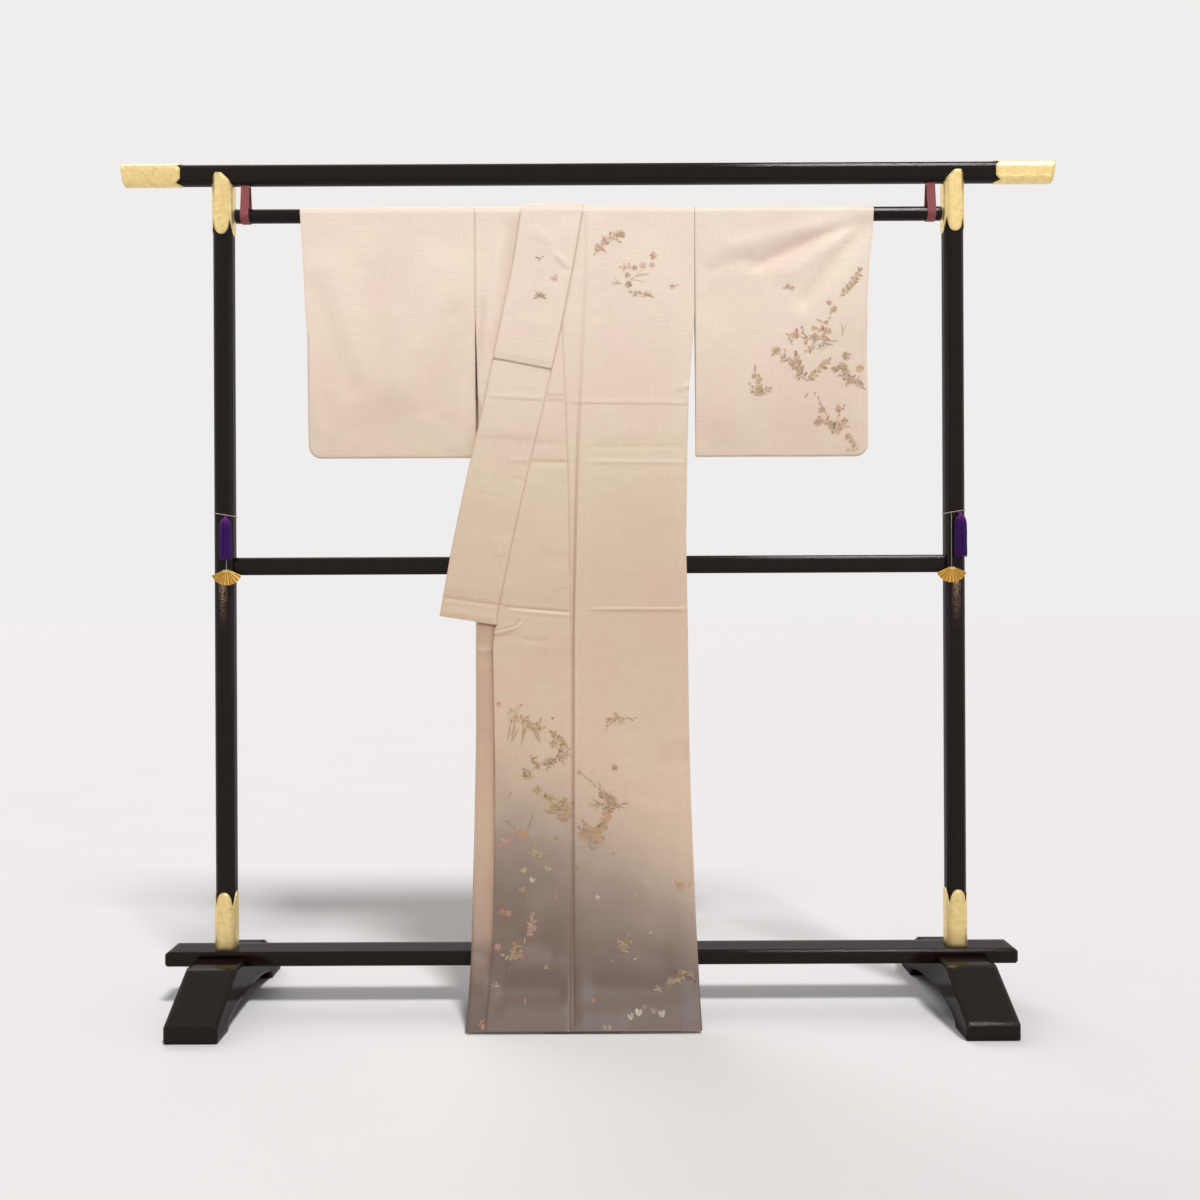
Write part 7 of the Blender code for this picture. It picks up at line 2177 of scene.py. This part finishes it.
class KIMONO_OT_collars(bpy.types.Operator):
    """The collar's two halves and the over collar of the left front"""
    bl_idname = "kimono.collars"
    bl_label = "Collars"

    def execute(self, context):
        cloth, materials = context.scene.kimono_cloth, silks(context)
        right = make_collar(
            "silk_right_collar", "right_collar", RIGHT_FRONT, (0.0, 0.0), -1, COLLAR_END, -0.0016, (),
            (10, 90), no_shade, cloth, materials,
        )
        left = make_collar(
            "silk_left_collar", "left_collar", LEFT_FRONT, (LAYER, 3 * LAYER), 1, COLLAR_END, 0.0, (),
            (30, 230), under_over_collar, cloth, materials,
        )
        over = make_collar(
            "silk_over_collar", "over_collar", LEFT_FRONT, (2 * LAYER, 4 * LAYER), 1, OVER_COLLAR_END,
            OVER_COLLAR_BASE, OVER_COLLAR_CREASES, (30, 105), no_shade, cloth, materials,
        )
        return {"FINISHED"}


class KIMONO_OT_sleeves(bpy.types.Operator):
    """The two sleeves, folded over the rod"""
    bl_idname = "kimono.sleeves"
    bl_label = "Sleeves"

    def execute(self, context):
        for word in ("right", "left"):
            sleeve = make_sleeve(word, context.scene.kimono_cloth, silks(context))
        return {"FINISHED"}


class KIMONO_OT_sprigs(bpy.types.Operator):
    """The dyed sprigs on every panel"""
    bl_idname = "kimono.sprigs"
    bl_label = "Dyed sprigs"

    def execute(self, context):
        material = painted_dye()
        for panel in FACES:
            make_sprigs(panel, context.scene.kimono_cloth, material)
        return {"FINISHED"}


class KIMONO_OT_lacquer(bpy.types.Operator):
    """Black lacquer on the stand's woodwork"""
    bl_idname = "kimono.lacquer"
    bl_label = "Lacquered wood"

    def execute(self, context):
        stand = context.scene.kimono_stand
        dress_nodes(["left_post", "right_post"], lacquer_finish(stand, sprinkled=True))
        dress_nodes(
            ["top_bar", "hanging_rod", "mid_bar", "bottom_plank", "left_foot", "right_foot"],
            lacquer_finish(stand, sprinkled=False),
        )
        return {"FINISHED"}


class KIMONO_OT_gilt(bpy.types.Operator):
    """Gilt sleeves, caps and pins"""
    bl_idname = "kimono.gilt"
    bl_label = "Gilt fittings"

    def execute(self, context):
        stand = context.scene.kimono_stand
        gilt = gilt_finish(stand)
        dress_nodes(
            [side + part for side in ("left", "right")
             for part in ("_bar_cap", "_post_top_sleeve", "_post_foot_sleeve")],
            gilt,
        )
        make_pins(stand, gilt)
        return {"FINISHED"}


class KIMONO_OT_ornaments(bpy.types.Operator):
    """Tapes round the rod, tassels, cords and small fans"""
    bl_idname = "kimono.ornaments"
    bl_label = "Tapes, tassels and fans"

    def execute(self, context):
        stand = context.scene.kimono_stand
        dress_nodes(["left_rod_band", "right_rod_band"], woven_tape(stand))
        dress_nodes(["left_fan", "right_fan"], fan_finish(stand))
        cord = twisted_cord()
        dress_nodes(["left_post_tie", "right_post_tie", "left_fan_string", "right_fan_string"], cord)
        floss = silk_floss(stand)
        for word in ("left", "right"):
            make_floss(word, stand, floss)
            make_knot(word, floss)
        return {"FINISHED"}


class KIMONO_PT_panel(bpy.types.Panel):
    """Lists the pieces in the 3D view's sidebar"""
    bl_idname = "KIMONO_PT_panel"
    bl_label = "Silk kimono"
    bl_space_type = "VIEW_3D"
    bl_region_type = "UI"
    bl_category = "Kimono"

    def draw(self, context):
        for operator in STEPS:
            self.layout.operator(operator.bl_idname, text=operator.bl_label)
        for group in ("kimono_cloth", "kimono_stand", "kimono_stage"):
            box = self.layout.box()
            values = getattr(context.scene, group)
            for name in values.__annotations__:
                box.prop(values, name)


GROUPS = (("kimono_cloth", KimonoCloth), ("kimono_stand", KimonoStand), ("kimono_stage", KimonoStage))
STEPS = (
    KIMONO_OT_stage, KIMONO_OT_body, KIMONO_OT_okumi, KIMONO_OT_collars, KIMONO_OT_sleeves,
    KIMONO_OT_sprigs, KIMONO_OT_lacquer, KIMONO_OT_gilt, KIMONO_OT_ornaments,
)


def register():
    """Register the classes and hang the property groups on the scene."""
    for name, group in GROUPS:
        bpy.utils.register_class(group)
        setattr(bpy.types.Scene, name, PointerProperty(type=group))
    for found in STEPS + (KIMONO_PT_panel,):
        bpy.utils.register_class(found)


def unregister():
    """Undo register."""
    for found in (KIMONO_PT_panel,) + STEPS[::-1]:
        bpy.utils.unregister_class(found)
    for name, group in GROUPS[::-1]:
        delattr(bpy.types.Scene, name)
        bpy.utils.unregister_class(group)


def main():
    """Build every piece in order."""
    register()
    for operator in STEPS:
        group, name = operator.bl_idname.split(".")
        getattr(getattr(bpy.ops, group), name)()


if __name__ == "__main__":
    main()
